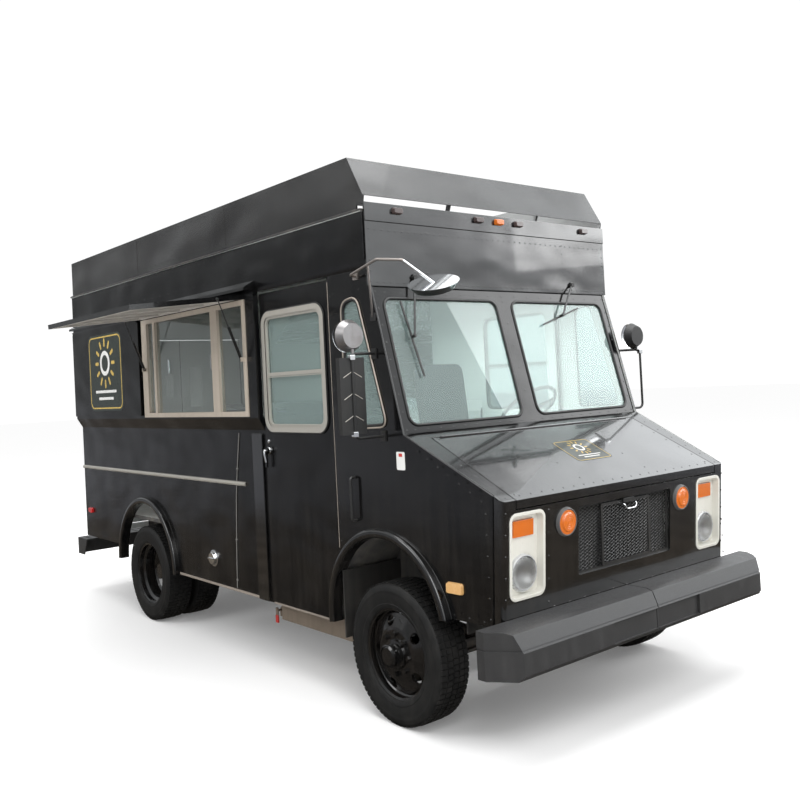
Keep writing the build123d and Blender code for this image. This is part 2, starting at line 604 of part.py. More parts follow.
# Cab sides: panels ahead of the doors with the quarter windows, wheel openings and flares
CAB_SKIN = 12.0
NOSE_DEPTH = 60.0
HINGE_CLEAR = 7.3
CAB_REAR_Y = DOOR_FRONT_Y - HINGE_CLEAR
CAB_LOW_Z = 667.0
HOOD_RISE = (COWL_Z - NOSE_TOP_Z) / (COWL_Y - NOSE_TOP_Y)
QUARTER_WINDOW = [(-20, 1680), (345, 1665), (345, 2395), (205, 2415)]
QUARTER_CORNER_R = 42.0
CAB_OUTLINE = [
    (nose_y(CAB_LOW_Z) + NOSE_DEPTH, CAB_LOW_Z),
    (NOSE_TOP_Y + NOSE_DEPTH, NOSE_TOP_Z + HOOD_RISE * NOSE_DEPTH),
    (COWL_Y, COWL_Z), (BROW_Y, BROW_Z), (BROW_Y + HEADER_T + SEAT_GAP, BROW_Z),
    (BROW_Y + HEADER_T + SEAT_GAP, SOFFIT_Z + 4), (CAB_REAR_Y, SOFFIT_Z + 4), (CAB_REAR_Y, DOOR_LOW_Z),
    (FRONT_ARCH["y"], DOOR_LOW_Z), (FRONT_ARCH["y"], CAB_LOW_Z),
]

with BuildPart() as cab_sides:
    with BuildSketch(level(DOOR_LOW_Z)):
        for sign in SIDES.values():
            Polygon(
                (sign * NOSE_HALF, NOSE_TOP_Y), (sign * CAB_HALF, COWL_Y), (sign * CAB_HALF, CAB_REAR_Y),
                (sign * (CAB_HALF - CAB_SKIN), CAB_REAR_Y), (sign * (CAB_HALF - CAB_SKIN), COWL_Y),
                (sign * (NOSE_HALF - CAB_SKIN), NOSE_TOP_Y),
                align=None,
            )
    extrude(amount=SOFFIT_Z)
    with BuildSketch(side_plane(-2 * CAB_HALF)):
        Polygon(*CAB_OUTLINE, align=None)
        with Locations((FRONT_ARCH["y"], FRONT_ARCH["z"])):
            Circle(FRONT_ARCH["r"], mode=Mode.SUBTRACT)
    extrude(amount=4 * CAB_HALF, mode=Mode.INTERSECT)
    with BuildSketch(side_plane(-2 * CAB_HALF)) as quarter_opening:
        Polygon(*QUARTER_WINDOW, align=None)
        fillet(quarter_opening.vertices(), radius=QUARTER_CORNER_R)
    extrude(amount=4 * CAB_HALF, mode=Mode.SUBTRACT)
    for sign in SIDES.values():
        with BuildSketch(side_plane(sign * (NOSE_HALF + 6))):
            with Locations((FRONT_ARCH["y"], FRONT_ARCH["z"])):
                Circle(FRONT_ARCH["r"] + FLARE_W)
                Circle(FRONT_ARCH["r"], mode=Mode.SUBTRACT)
            Rectangle(4 * CAB_HALF, 2 * DOOR_LOW_Z, mode=Mode.SUBTRACT)
            with Locations((FRONT_ARCH["y"], 0)):
                Rectangle(CAB_HALF, CAB_LOW_Z - 8, align=(Align.MAX, Align.MIN), mode=Mode.SUBTRACT)
        extrude(amount=sign * (CAB_HALF + FRONT_FLARE_PROUD - NOSE_HALF - 6))
save(cab_sides.part, "cab_sides")

# Nose: a shallow tray across the front, open behind, with rounded corners and its lamp and grille openings
NOSE_T = 12.0
NOSE_CORNER_R = 30.0
LID_HALF = 905.0
LIP_LOW_Z = 1251.0
LAMP_X = 828.0
BEZEL_Z = (787.0, 1232.0)
BEZEL_W = 264.0
BEZEL_CORNER_R = 46.0
BEZEL_LIP = 13.0
SIGNAL_X = 529.0
SIGNAL_Z = 1137.0
SIGNAL_R = 66.0
GRILLE_HALF = 424.0
GRILLE_Z = (833.0, 1203.0)
GRILLE_CORNER_R = 12.0


nose_plane = Plane(
    origin=(0, NOSE_LOW_Y, NOSE_LOW_Z),
    x_dir=(1, 0, 0),
    z_dir=(0, -1, NOSE_LEAN),
)

with BuildPart() as nose:
    with BuildSketch(side_plane(-NOSE_HALF)):
        Polygon(
            (NOSE_LOW_Y, NOSE_LOW_Z), (NOSE_TOP_Y, NOSE_TOP_Z),
            (NOSE_TOP_Y + NOSE_DEPTH - SEAT_GAP, NOSE_TOP_Z + HOOD_RISE * NOSE_DEPTH),
            (NOSE_LOW_Y + NOSE_DEPTH - SEAT_GAP, NOSE_LOW_Z),
            align=None,
        )
    extrude(amount=2 * NOSE_HALF)
    outer_edges = nose.edges().filter_by(lambda e: abs(abs(e.center().X) - NOSE_HALF) < 1)
    corner_edges = outer_edges.group_by(Axis.Y)[0]
    fillet(corner_edges.filter_by(lambda e: e.length > NOSE_DEPTH * 2), radius=NOSE_CORNER_R)
    with BuildSketch(side_plane(-NOSE_HALF + NOSE_T)):
        Polygon(
            (NOSE_LOW_Y + NOSE_T, NOSE_LOW_Z - 1), (NOSE_TOP_Y + NOSE_T, NOSE_TOP_Z + 2 * NOSE_T),
            (NOSE_TOP_Y + 2 * NOSE_DEPTH, NOSE_TOP_Z + HOOD_RISE * 4 * NOSE_DEPTH),
            (NOSE_LOW_Y + 2 * NOSE_DEPTH, NOSE_LOW_Z - 1),
            align=None,
        )
    extrude(amount=2 * (NOSE_HALF - NOSE_T), mode=Mode.SUBTRACT)
    with Locations((0, NOSE_TOP_Y, LIP_LOW_Z - 6)):
        Box(2 * LID_HALF + 12, 4 * NOSE_DEPTH, NOSE_TOP_Z, align=(Align.CENTER, Align.CENTER, Align.MIN),
            mode=Mode.SUBTRACT)
    with BuildSketch(station(NOSE_TOP_Y - NOSE_DEPTH)):
        with Locations((LAMP_X, middle(BEZEL_Z)), (-LAMP_X, middle(BEZEL_Z))):
            RectangleRounded(BEZEL_W - 2 * BEZEL_LIP, width(BEZEL_Z) - 2 * BEZEL_LIP,
                             BEZEL_CORNER_R - BEZEL_LIP)
        with Locations((0, middle(GRILLE_Z))):
            RectangleRounded(2 * GRILLE_HALF, width(GRILLE_Z), GRILLE_CORNER_R)
    extrude(amount=-3 * NOSE_DEPTH, mode=Mode.SUBTRACT)
save(nose.part, "nose")

# Hood plane: origin at the fold on the centre plane, first axis across, second axis up the slope
slope = hypot(COWL_Y - NOSE_TOP_Y, COWL_Z - NOSE_TOP_Z)
hood_plane = Plane(
    origin=(0, NOSE_TOP_Y, NOSE_TOP_Z),
    x_dir=(1, 0, 0),
    z_dir=(0, -(COWL_Z - NOSE_TOP_Z), COWL_Y - NOSE_TOP_Y),
)
LID_LENGTH = 680.0
LID_GAP = 6.0
LID_T = 12.0
COWL_T = 12.0

# Cowl: the fixed strips beside and behind the hood lid
with BuildPart() as cowl:
    with BuildSketch(hood_plane):
        Polygon(
            (-NOSE_HALF + NOSE_T + 5, NOSE_T + 4), (NOSE_HALF - NOSE_T - 5, NOSE_T + 4),
            (CAB_HALF - CAB_SKIN - 1, slope), (-CAB_HALF + CAB_SKIN + 1, slope),
            align=None,
        )
        Rectangle(2 * (LID_HALF + LID_GAP), LID_LENGTH + LID_GAP, align=(Align.CENTER, Align.MIN),
                  mode=Mode.SUBTRACT)
    extrude(amount=-COWL_T)
save(cowl.part, "cowl")

# Hood lid: the sloped panel with its folded front lip, on hinge barrels along its rear edge
HOOD_BARREL_R = 6.0
HOOD_AXIS_S = LID_LENGTH + 1.0
HOOD_AXIS_N = 4.0
LIP_T = 12.0

with BuildPart() as hood_lid:
    with BuildSketch(side_plane(-LID_HALF)):
        fold = Vector(NOSE_TOP_Y, NOSE_TOP_Z)
        along = Vector(cos(atan2(HOOD_RISE, 1)), sin(atan2(HOOD_RISE, 1)))
        rear_edge = fold + along * LID_LENGTH
        under = Vector(sin(atan2(HOOD_RISE, 1)), -cos(atan2(HOOD_RISE, 1))) * LID_T
        Polygon(
            (nose_y(LIP_LOW_Z), LIP_LOW_Z), (fold.X, fold.Y), (rear_edge.X, rear_edge.Y),
            ((rear_edge + under).X, (rear_edge + under).Y),
            (NOSE_TOP_Y + LIP_T, NOSE_TOP_Z + HOOD_RISE * LIP_T - LID_T / cos(atan2(HOOD_RISE, 1))),
            (nose_y(LIP_LOW_Z) + LIP_T, LIP_LOW_Z),
            align=None,
        )
    extrude(amount=2 * LID_HALF)
    barrel_centre = hood_plane.from_local_coords((0, HOOD_AXIS_S, HOOD_AXIS_N))
    with BuildSketch(side_plane(-LID_HALF + 60)):
        with Locations((barrel_centre.Y, barrel_centre.Z)):
            Circle(HOOD_BARREL_R)
    extrude(amount=2 * (LID_HALF - 60))
save(hood_lid.part, "hood_lid")

# Windshield surround on the leaning plane between the cowl and the header, with its two panes
screen_rise = hypot(BROW_Y - COWL_Y, BROW_Z - COWL_Z)
SCREEN_INSET = 10.0
screen_plane = Plane(
    origin=(0, COWL_Y + SCREEN_INSET, COWL_Z),
    x_dir=(1, 0, 0),
    z_dir=(0, -(BROW_Z - COWL_Z), BROW_Y - COWL_Y),
)
SCREEN_T = 18.0
PANE_X = (70.0, 985.0)
PANE_S = (44.0, 800.0)
PANE_R = 58.0
GLASS_T = 5.0

with BuildPart() as windshield_frame:
    with BuildSketch(screen_plane):
        Rectangle(2 * (CAB_HALF - CAB_SKIN) - 2 * SEAT_GAP, screen_rise, align=(Align.CENTER, Align.MIN))
        with Locations(*[(sign * middle(PANE_X), middle(PANE_S)) for sign in SIDES.values()]):
            RectangleRounded(width(PANE_X), width(PANE_S), PANE_R, mode=Mode.SUBTRACT)
    extrude(amount=-SCREEN_T)
save(windshield_frame.part, "windshield_frame")

# Header over the windshield: front sheet with a soffit below and a return to the roof above
LAMP_BAND_Z = 2842.0
BAND_PROUD = 5.0
HEADER_RETURN = 70.0

with BuildPart() as header:
    with BuildSketch(side_plane(-HEADER_HALF)):
        Polygon(
            (BROW_Y, BROW_Z), (BROW_Y, LAMP_BAND_Z), (BROW_Y - BAND_PROUD, LAMP_BAND_Z),
            (BROW_Y - BAND_PROUD, HEADER_TOP_Z), (BROW_Y + HEADER_RETURN, HEADER_TOP_Z),
            (BROW_Y + HEADER_RETURN, HEADER_TOP_Z - HEADER_T),
            (BROW_Y + HEADER_T, HEADER_TOP_Z - HEADER_T), (BROW_Y + HEADER_T, BROW_Z),
            align=None,
        )
    extrude(amount=2 * HEADER_HALF)
    with Locations((0, BROW_Y + HEADER_T, BROW_Z)):
        Box(2 * (CAB_HALF - CAB_SKIN) - 2, 70, HEADER_T, align=(Align.CENTER, Align.MIN, Align.MIN))
save(header.part, "header")

# Roof: shallow crown between flat margins, with the drip rails along both sides
ROOF_MARGIN_X = 1040.0
ROOF_FLAT_Z = DRIP_Z + 16.0
ROOF_CROWN_Z = DRIP_Z + 40.0
DRIP_PROUD = 13.0
ROOF_FRONT_Y = BROW_Y + 72.0
CROWN_REAR_Y = BODY_REAR_Y - 30.0

with BuildPart() as roof:
    with BuildSketch(station(WALL_FRONT_Y)):
        with Locations((0, DRIP_Z)):
            Rectangle(2 * (UPPER_HALF + DRIP_PROUD), ROOF_FLAT_Z - DRIP_Z, align=(Align.CENTER, Align.MIN))
    extrude(amount=-(BODY_REAR_Y - WALL_FRONT_Y))
    with BuildSketch(station(ROOF_FRONT_Y)):
        with BuildLine():
            ThreePointArc((-ROOF_MARGIN_X, ROOF_FLAT_Z), (0, ROOF_CROWN_Z), (ROOF_MARGIN_X, ROOF_FLAT_Z))
            Line((-ROOF_MARGIN_X, ROOF_FLAT_Z), (ROOF_MARGIN_X, ROOF_FLAT_Z))
        make_face()
    extrude(amount=-(CROWN_REAR_Y - ROOF_FRONT_Y))
save(roof.part, "roof")

# Parapet: upright screens on three sides of the roof and a sloped fairing in front on short stays
PARAPET_HALF = 1080.0
PARAPET_T = 12.0
PARAPET_TOP_Z = 3232.0
FAIRING_TOP_Y = 214.0
FAIRING_LOW = (76.0, 2990.0)
PARAPET_REAR_Y = 4784.0
STAY_X = (-400.0, 400.0)
STAY_W = 22.0

with BuildPart() as parapet:
    for sign in SIDES.values():
        with BuildSketch(side_plane(sign * (PARAPET_HALF - PARAPET_T))):
            Polygon(
                (FAIRING_TOP_Y, PARAPET_TOP_Z), FAIRING_LOW, (FAIRING_LOW[0] + 8, HEADER_TOP_Z),
                (ROOF_FRONT_Y, HEADER_TOP_Z), (ROOF_FRONT_Y, ROOF_FLAT_Z), (PARAPET_REAR_Y, ROOF_FLAT_Z),
                (PARAPET_REAR_Y, PARAPET_TOP_Z),
                align=None,
            )
        extrude(amount=sign * PARAPET_T)
    with BuildSketch(side_plane(-PARAPET_HALF + PARAPET_T)):
        Polygon(
            (FAIRING_TOP_Y, PARAPET_TOP_Z), FAIRING_LOW, (FAIRING_LOW[0] + PARAPET_T, FAIRING_LOW[1]),
            (FAIRING_TOP_Y + PARAPET_T, PARAPET_TOP_Z),
            align=None,
        )
        Polygon(
            (PARAPET_REAR_Y - PARAPET_T, ROOF_FLAT_Z), (PARAPET_REAR_Y, ROOF_FLAT_Z),
            (PARAPET_REAR_Y, PARAPET_TOP_Z), (PARAPET_REAR_Y - PARAPET_T, PARAPET_TOP_Z),
            align=None,
        )
    extrude(amount=2 * (PARAPET_HALF - PARAPET_T))
    for x in STAY_X:
        with BuildSketch(side_plane(x - STAY_W / 2)):
            Polygon(
                (FAIRING_LOW[0] + 4, FAIRING_LOW[1] + 10), (FAIRING_LOW[0] + 20, FAIRING_LOW[1] + 30),
                (FAIRING_LOW[0] + 44, HEADER_TOP_Z), (FAIRING_LOW[0] + 24, HEADER_TOP_Z),
                align=None,
            )
        extrude(amount=STAY_W)
save(parapet.part, "parapet")

# Rear wall with the opening for its two doors
REAR_WALL_Y = (4750.0, BODY_REAR_Y)
REAR_OPEN_HALF = 704.0
REAR_OPEN_Z = (640.0, 2480.0)
REAR_DOOR_T = 34.0

with BuildPart() as rear_wall:
    with BuildSketch(station(REAR_WALL_Y[0])):
        Polygon(
            (-UPPER_HALF + WALL_T, DRIP_Z), (-UPPER_HALF + WALL_T, LEDGE_HIGH_Z + 13),
            (-LOWER_HALF + WALL_T, LEDGE_LOW_Z + 13), (-LOWER_HALF + WALL_T, REAR_SKIRT_Z),
            (LOWER_HALF - WALL_T, REAR_SKIRT_Z), (LOWER_HALF - WALL_T, LEDGE_LOW_Z + 13),
            (UPPER_HALF - WALL_T, LEDGE_HIGH_Z + 13), (UPPER_HALF - WALL_T, DRIP_Z),
            align=None,
        )
        with Locations((0, middle(REAR_OPEN_Z))):
            Rectangle(2 * REAR_OPEN_HALF, width(REAR_OPEN_Z), mode=Mode.SUBTRACT)
    extrude(amount=-width(REAR_WALL_Y))
save(rear_wall.part, "rear_wall")

# Rear doors: two leaves hinged at the outer edges, with pressed ribs and hinge barrels
BARREL_R = 7.0
REAR_HINGE_X = REAR_OPEN_HALF - 2.0
REAR_HINGE_Y = BODY_REAR_Y + BARREL_R + SEAT_GAP
LEAF_X = (MOVE_GAP / 2, REAR_OPEN_HALF - MOVE_GAP)
LEAF_Z = (REAR_OPEN_Z[0] + MOVE_GAP, REAR_OPEN_Z[1] - MOVE_GAP)
RIB_T = 5.0
HINGE_LEAF_W = 26.0

for side, sign in SIDES.items():
    with BuildPart() as rear_door:
        with Locations((sign * middle(LEAF_X), BODY_REAR_Y, middle(LEAF_Z))):
            Box(width(LEAF_X), REAR_DOOR_T, width(LEAF_Z), align=(Align.CENTER, Align.MAX, Align.CENTER))
        with BuildSketch(station(BODY_REAR_Y - 1)):
            with Locations((sign * middle(LEAF_X), 1120), (sign * middle(LEAF_X), 1980)):
                RectangleRounded(width(LEAF_X) - 150, 640, 30)
        extrude(amount=-RIB_T)
        with Locations((sign * REAR_HINGE_X, REAR_HINGE_Y, middle(LEAF_Z))):
            Cylinder(BARREL_R, width(LEAF_Z) - 120)
        with Locations((sign * (REAR_HINGE_X - HINGE_LEAF_W / 2), BODY_REAR_Y - 1, middle(LEAF_Z))):
            Box(HINGE_LEAF_W, REAR_HINGE_Y - BODY_REAR_Y, width(LEAF_Z) - 120,
                align=(Align.CENTER, Align.MIN, Align.CENTER))
    save(rear_door.part, f"rear_door_{side}")

# Cab doors: hinged at the front, cut round the wheel flare, with a raised window surround and lever handle
DOOR_WINDOW_Y = (600.0, 1268.0)
DOOR_WINDOW_Z = (1660.0, 2398.0)
DOOR_WINDOW_R = 62.0
DOOR_HINGE_Y = DOOR_FRONT_Y
DOOR_HINGE_X = DOOR_FACE + 6.5
BARREL_Z = (895.0, 2530.0)
SWING_GAP = 6.0
SWING_TOP_Z = 884.0
SWING_HEIGHTS = (DOOR_LOW_Z - 1, 550.0, 625.0, 700.0, 760.0, 810.0, 845.0, 866.0)


def swing_edge(z):
    """Front edge of the door at height z that clears the flare's outer rim as the door turns."""
    flare_y = FRONT_ARCH["y"] + sqrt((FRONT_ARCH["r"] + FLARE_W) ** 2 - (z - FRONT_ARCH["z"]) ** 2)
    rim_x = CAB_HALF + FRONT_FLARE_PROUD - DOOR_HINGE_X
    reach = hypot(rim_x, flare_y - DOOR_HINGE_Y) + SWING_GAP
    return DOOR_HINGE_Y + sqrt(reach ** 2 - (DOOR_HINGE_X - DOOR_FACE) ** 2)


SURROUND_W = 30.0
SURROUND_PROUD = 9.0
HANDLE = {"y": 1288.0, "z": 1500.0}

for side, sign in SIDES.items():
    with BuildPart() as door:
        with BuildSketch(side_plane(sign * (DOOR_FACE - DOOR_T))):
            with Locations(((DOOR_FRONT_Y + DOOR_REAR_Y) / 2, (DOOR_LOW_Z + DOOR_HIGH_Z) / 2)):
                Rectangle(DOOR_REAR_Y - DOOR_FRONT_Y, DOOR_HIGH_Z - DOOR_LOW_Z)
            corner = [(swing_edge(z), z) for z in SWING_HEIGHTS]
            Polygon(
                (FRONT_ARCH["y"], DOOR_LOW_Z - 1), *corner, (corner[-1][0], SWING_TOP_Z),
                (DOOR_FRONT_Y - 1, SWING_TOP_Z),
                align=None,
                mode=Mode.SUBTRACT,
            )
        extrude(amount=sign * DOOR_T)
        with BuildSketch(side_plane(sign * (DOOR_FACE - 2))):
            with Locations((middle(DOOR_WINDOW_Y), middle(DOOR_WINDOW_Z))):
                RectangleRounded(width(DOOR_WINDOW_Y) + 2 * SURROUND_W, width(DOOR_WINDOW_Z) + 2 * SURROUND_W,
                                 DOOR_WINDOW_R + SURROUND_W)
        extrude(amount=sign * (SURROUND_PROUD + 2))
        with BuildSketch(side_plane(0)):
            with Locations((middle(DOOR_WINDOW_Y), middle(DOOR_WINDOW_Z))):
                RectangleRounded(width(DOOR_WINDOW_Y), width(DOOR_WINDOW_Z), DOOR_WINDOW_R)
        extrude(amount=sign * 2 * DOOR_FACE, mode=Mode.SUBTRACT)
        with Locations((sign * DOOR_HINGE_X, DOOR_HINGE_Y, middle(BARREL_Z))):
            Cylinder(BARREL_R, width(BARREL_Z))
        with Locations((sign * (DOOR_FACE + 14), HANDLE["y"], HANDLE["z"])):
            Cylinder(22, 28, rotation=(0, 90, 0))
        with Locations((sign * (DOOR_FACE + 24), HANDLE["y"], HANDLE["z"] - 50)):
            Box(12, 22, 120)
    save(door.part, f"door_{side}")
    with BuildPart() as door_glass:
        with BuildSketch(side_plane(sign * (DOOR_FACE - DOOR_T / 2))):
            with Locations((middle(DOOR_WINDOW_Y), middle(DOOR_WINDOW_Z))):
                RectangleRounded(width(DOOR_WINDOW_Y) - 2 * SEAT_GAP, width(DOOR_WINDOW_Z) - 2 * SEAT_GAP,
                                 DOOR_WINDOW_R - SEAT_GAP)
        extrude(amount=sign * GLASS_T)
    save(door_glass.part, f"door_glass_{side}")

# Serving window: one aluminium frame in the wall, with its panes' openings and the struts' lower brackets
FRAME_X = (-1098.0, -1052.0)
PANES_Y = [(1490.0, 1850.0), (1950.0, 2910.0), (2950.0, 3072.0)]
PANES_Z = (1768.0, 2500.0)
STRUT_Y = (1478.0, 3084.0)
STRUT_FOOT = (-1118.0, 2125.0)
STRUT_ARM = 160.0
STRUT_EYE_R = 11.0
STRUT_EYE_W = 10.0
FOOT_PIN_R = 5.0
FOOT_PLATE_T = 6.0
FOOT_PLATE_OFF = 17.0

with BuildPart() as serving_frame:
    with BuildSketch(side_plane(FRAME_X[0])):
        with Locations((middle(SERVE_Y), middle(SERVE_Z))):
            Rectangle(width(SERVE_Y), width(SERVE_Z))
        for pane in PANES_Y:
            with Locations((middle(pane), middle(PANES_Z))):
                Rectangle(width(pane), width(PANES_Z), mode=Mode.SUBTRACT)
    extrude(amount=width(FRAME_X))
    for y, outward in zip(STRUT_Y, (-1, 1)):
        with Locations(((FRAME_X[0] + STRUT_FOOT[0] - 12) / 2, y + outward * FOOT_PLATE_OFF, STRUT_FOOT[1])):
            Box(FRAME_X[0] - STRUT_FOOT[0] + 16, FOOT_PLATE_T, 30)
        with Locations((STRUT_FOOT[0], y + outward * (FOOT_PLATE_OFF - STRUT_EYE_W / 2) / 2, STRUT_FOOT[1])):
            Cylinder(FOOT_PIN_R, FOOT_PLATE_OFF + STRUT_EYE_W / 2, rotation=(90, 0, 0))
save(serving_frame.part, "serving_frame")

# Fixed glass: windshield panes, quarter windows and serving window panes
FIXED_PANE_X = -1076.0

with BuildPart() as fixed_glass:
    with BuildSketch(screen_plane.offset(-SCREEN_T / 2)):
        with Locations(*[(sign * middle(PANE_X), middle(PANE_S)) for sign in SIDES.values()]):
            RectangleRounded(width(PANE_X) - 2 * SEAT_GAP, width(PANE_S) - 2 * SEAT_GAP, PANE_R - SEAT_GAP)
    extrude(amount=GLASS_T)
    for sign in SIDES.values():
        with BuildSketch(side_plane(sign * (CAB_HALF - CAB_SKIN / 2 - GLASS_T / 2))) as quarter:
            Polygon(*QUARTER_WINDOW, align=None)
            fillet(quarter.vertices(), radius=QUARTER_CORNER_R)
            offset(amount=-SEAT_GAP, mode=Mode.REPLACE)
        extrude(amount=sign * GLASS_T)
    with BuildSketch(side_plane(FIXED_PANE_X)):
        for pane in PANES_Y:
            with Locations((middle(pane), middle(PANES_Z))):
                Rectangle(width(pane) - 2 * SEAT_GAP, width(PANES_Z) - 2 * SEAT_GAP)
    extrude(amount=GLASS_T)
save(fixed_glass.part, "fixed_glass")

# Serving hatch: drawn shut against the wall, then swung up about its hinge
HATCH_HIGH_Z = HATCH_AXIS[1] - 6.0
HATCH_LOW_Z = HATCH_AXIS[1] - HATCH_LENGTH
HATCH_BARREL_R = 8.0
HATCH_PIN_R = 4.0
HATCH_PIN_DEEP = 40.0
HATCH_FRAME_W = 55.0
HATCH_SKIN = 6.0
HATCH_RIBS = 3
ATTACH_X = HATCH_INNER_X - HATCH_T / 2
ATTACH_PIN_R = 4.0
ATTACH_PIN_L = 12.0
hatch_hinge = Axis((HATCH_AXIS[0], 0, HATCH_AXIS[1]), (0, 1, 0))

with BuildPart() as serving_hatch:
    with Locations((HATCH_INNER_X, middle(HATCH_Y), HATCH_LOW_Z)):
        Box(HATCH_T, width(HATCH_Y), HATCH_HIGH_Z - HATCH_LOW_Z, align=(Align.MAX, Align.CENTER, Align.MIN))
    bay = (width(HATCH_Y) - HATCH_FRAME_W) / (HATCH_RIBS + 1) - HATCH_FRAME_W
    with BuildSketch(side_plane(HATCH_INNER_X)):
        with Locations((middle(HATCH_Y), (HATCH_HIGH_Z + HATCH_LOW_Z) / 2)):
            with GridLocations(bay + HATCH_FRAME_W, 0, HATCH_RIBS + 1, 1):
                Rectangle(bay, HATCH_HIGH_Z - HATCH_LOW_Z - 2 * HATCH_FRAME_W)
    extrude(amount=-(HATCH_T - HATCH_SKIN), mode=Mode.SUBTRACT)
    with Locations((HATCH_AXIS[0], middle(HATCH_Y), HATCH_AXIS[1])):
        Cylinder(HATCH_BARREL_R, width(HATCH_Y), rotation=(90, 0, 0))
        Cylinder(HATCH_PIN_R + BORE_CLEAR, width(HATCH_Y), rotation=(90, 0, 0), mode=Mode.SUBTRACT)
    with Locations((HATCH_AXIS[0], middle(HATCH_Y), HATCH_AXIS[1])):
        Cylinder(HATCH_BARREL_R, width(HATCH_Y) - 2 * HATCH_PIN_DEEP - 4, rotation=(90, 0, 0))
    with Locations((ATTACH_X, middle(HATCH_Y), HATCH_AXIS[1] - STRUT_ARM)):
        Cylinder(ATTACH_PIN_R, width(HATCH_Y) + 2 * ATTACH_PIN_L, rotation=(90, 0, 0))
save(serving_hatch.part.rotate(hatch_hinge, HATCH_OPEN_DEG), "serving_hatch")

# Gas struts: a tube turning on its foot pin and a rod sliding in it, one pair at each end of the hatch
attach_dx = ATTACH_X - HATCH_AXIS[0]
open_cos, open_sin = cos(radians(HATCH_OPEN_DEG)), sin(radians(HATCH_OPEN_DEG))
STRUT_HEAD = (
    HATCH_AXIS[0] + attach_dx * open_cos - STRUT_ARM * open_sin,
    HATCH_AXIS[1] - attach_dx * open_sin - STRUT_ARM * open_cos,
)
STRUT_TUBE_R = 10.0
STRUT_BORE_R = 7.0
STRUT_ROD_R = 4.0
STRUT_PISTON_R = 6.6
STRUT_PISTON_H = 8.0
STRUT_TUBE_END = 238.0
STRUT_TUBE_FLOOR = 22.0
STRUT_GLAND = 7.0
STRUT_ROD_LENGTH = 226.0
strut_reach = hypot(STRUT_HEAD[0] - STRUT_FOOT[0], STRUT_HEAD[1] - STRUT_FOOT[1])

for name, y in zip(("front", "rear"), STRUT_Y):
    foot = (STRUT_FOOT[0], y, STRUT_FOOT[1])
    head = (STRUT_HEAD[0], y, STRUT_HEAD[1])
    line = Plane(origin=foot, x_dir=(0, 1, 0), z_dir=(head[0] - foot[0], 0, head[2] - foot[2]))
    with BuildPart() as strut_tube:
        with Locations(foot):
            Cylinder(STRUT_EYE_R, STRUT_EYE_W, rotation=(90, 0, 0))
            Cylinder(FOOT_PIN_R + BORE_CLEAR, STRUT_EYE_W, rotation=(90, 0, 0), mode=Mode.SUBTRACT)
        with BuildSketch(line.offset(STRUT_EYE_R - 2)):
            Circle(STRUT_EYE_W / 2 - 1)
        extrude(amount=STRUT_TUBE_FLOOR - STRUT_EYE_R)
        with BuildSketch(line.offset(STRUT_EYE_R + 4)):
            Circle(STRUT_TUBE_R)
        extrude(amount=STRUT_TUBE_END - STRUT_EYE_R - 4)
        with BuildSketch(line.offset(STRUT_TUBE_FLOOR)):
            Circle(STRUT_BORE_R)
        extrude(amount=STRUT_TUBE_END - STRUT_GLAND - STRUT_TUBE_FLOOR, mode=Mode.SUBTRACT)
        with BuildSketch(line.offset(STRUT_TUBE_END - STRUT_GLAND - 1)):
            Circle(STRUT_ROD_R + BORE_CLEAR)
        extrude(amount=STRUT_GLAND + 1, mode=Mode.SUBTRACT)
    save(strut_tube.part, f"strut_tube_{name}")
    with BuildPart() as strut_rod:
        with BuildSketch(line.offset(strut_reach - STRUT_ROD_LENGTH)):
            Circle(STRUT_ROD_R)
        extrude(amount=STRUT_ROD_LENGTH - 7)
        with BuildSketch(line.offset(strut_reach - STRUT_ROD_LENGTH - STRUT_PISTON_H / 2)):
            Circle(STRUT_PISTON_R)
        extrude(amount=STRUT_PISTON_H)
        with Locations(head):
            Cylinder(STRUT_EYE_R - 1, STRUT_EYE_W, rotation=(90, 0, 0))
            Cylinder(ATTACH_PIN_R + 0.5, STRUT_EYE_W, rotation=(90, 0, 0), mode=Mode.SUBTRACT)
    save(strut_rod.part, f"strut_rod_{name}")

# Side hatch, stored shut: flanged sheet over the rear opening with a shallow tray behind it
PANEL_X = (-1113.0, -1095.0)
PANEL_TRAY_X = -1062.0
PANEL_BARREL_R = 6.0
PANEL_TRAY_INSET = PANEL_FRAME + 8.0
PANEL_CORNER_R = 14.0
PANEL_TRAY_RIM = 20.0
PANEL_STRAP = {"in": 6.0, "down": 3.0, "t": 10.0, "deep": 24.0}
PANEL_BARREL_LENGTH = width(PANEL_Y) - 40.0

with BuildPart() as side_hatch:
    with BuildSketch(side_plane(PANEL_X[0])):
        with Locations((middle(PANEL_Y), middle(PANEL_Z))):
            RectangleRounded(width(PANEL_Y), width(PANEL_Z), PANEL_CORNER_R)
    extrude(amount=width(PANEL_X))
    with BuildSketch(side_plane(PANEL_X[1] - 1)):
        with Locations((middle(PANEL_Y), middle(PANEL_Z))):
            Rectangle(width(PANEL_Y) - 2 * PANEL_TRAY_INSET, width(PANEL_Z) - 2 * PANEL_TRAY_INSET)
            Rectangle(width(PANEL_Y) - 2 * (PANEL_TRAY_INSET + PANEL_TRAY_RIM),
                      width(PANEL_Z) - 2 * (PANEL_TRAY_INSET + PANEL_TRAY_RIM), mode=Mode.SUBTRACT)
    extrude(amount=PANEL_TRAY_X - PANEL_X[1] + 1)
    with Locations((PANEL_AXIS[0], middle(PANEL_Y), PANEL_AXIS[1])):
        Cylinder(PANEL_BARREL_R, PANEL_BARREL_LENGTH, rotation=(90, 0, 0))
    with Locations((PANEL_AXIS[0] + PANEL_STRAP["in"], middle(PANEL_Y), PANEL_AXIS[1] - PANEL_STRAP["down"])):
        Box(PANEL_STRAP["t"], PANEL_BARREL_LENGTH, PANEL_STRAP["deep"],
            align=(Align.CENTER, Align.CENTER, Align.MAX))
save(side_hatch.part, "side_hatch")

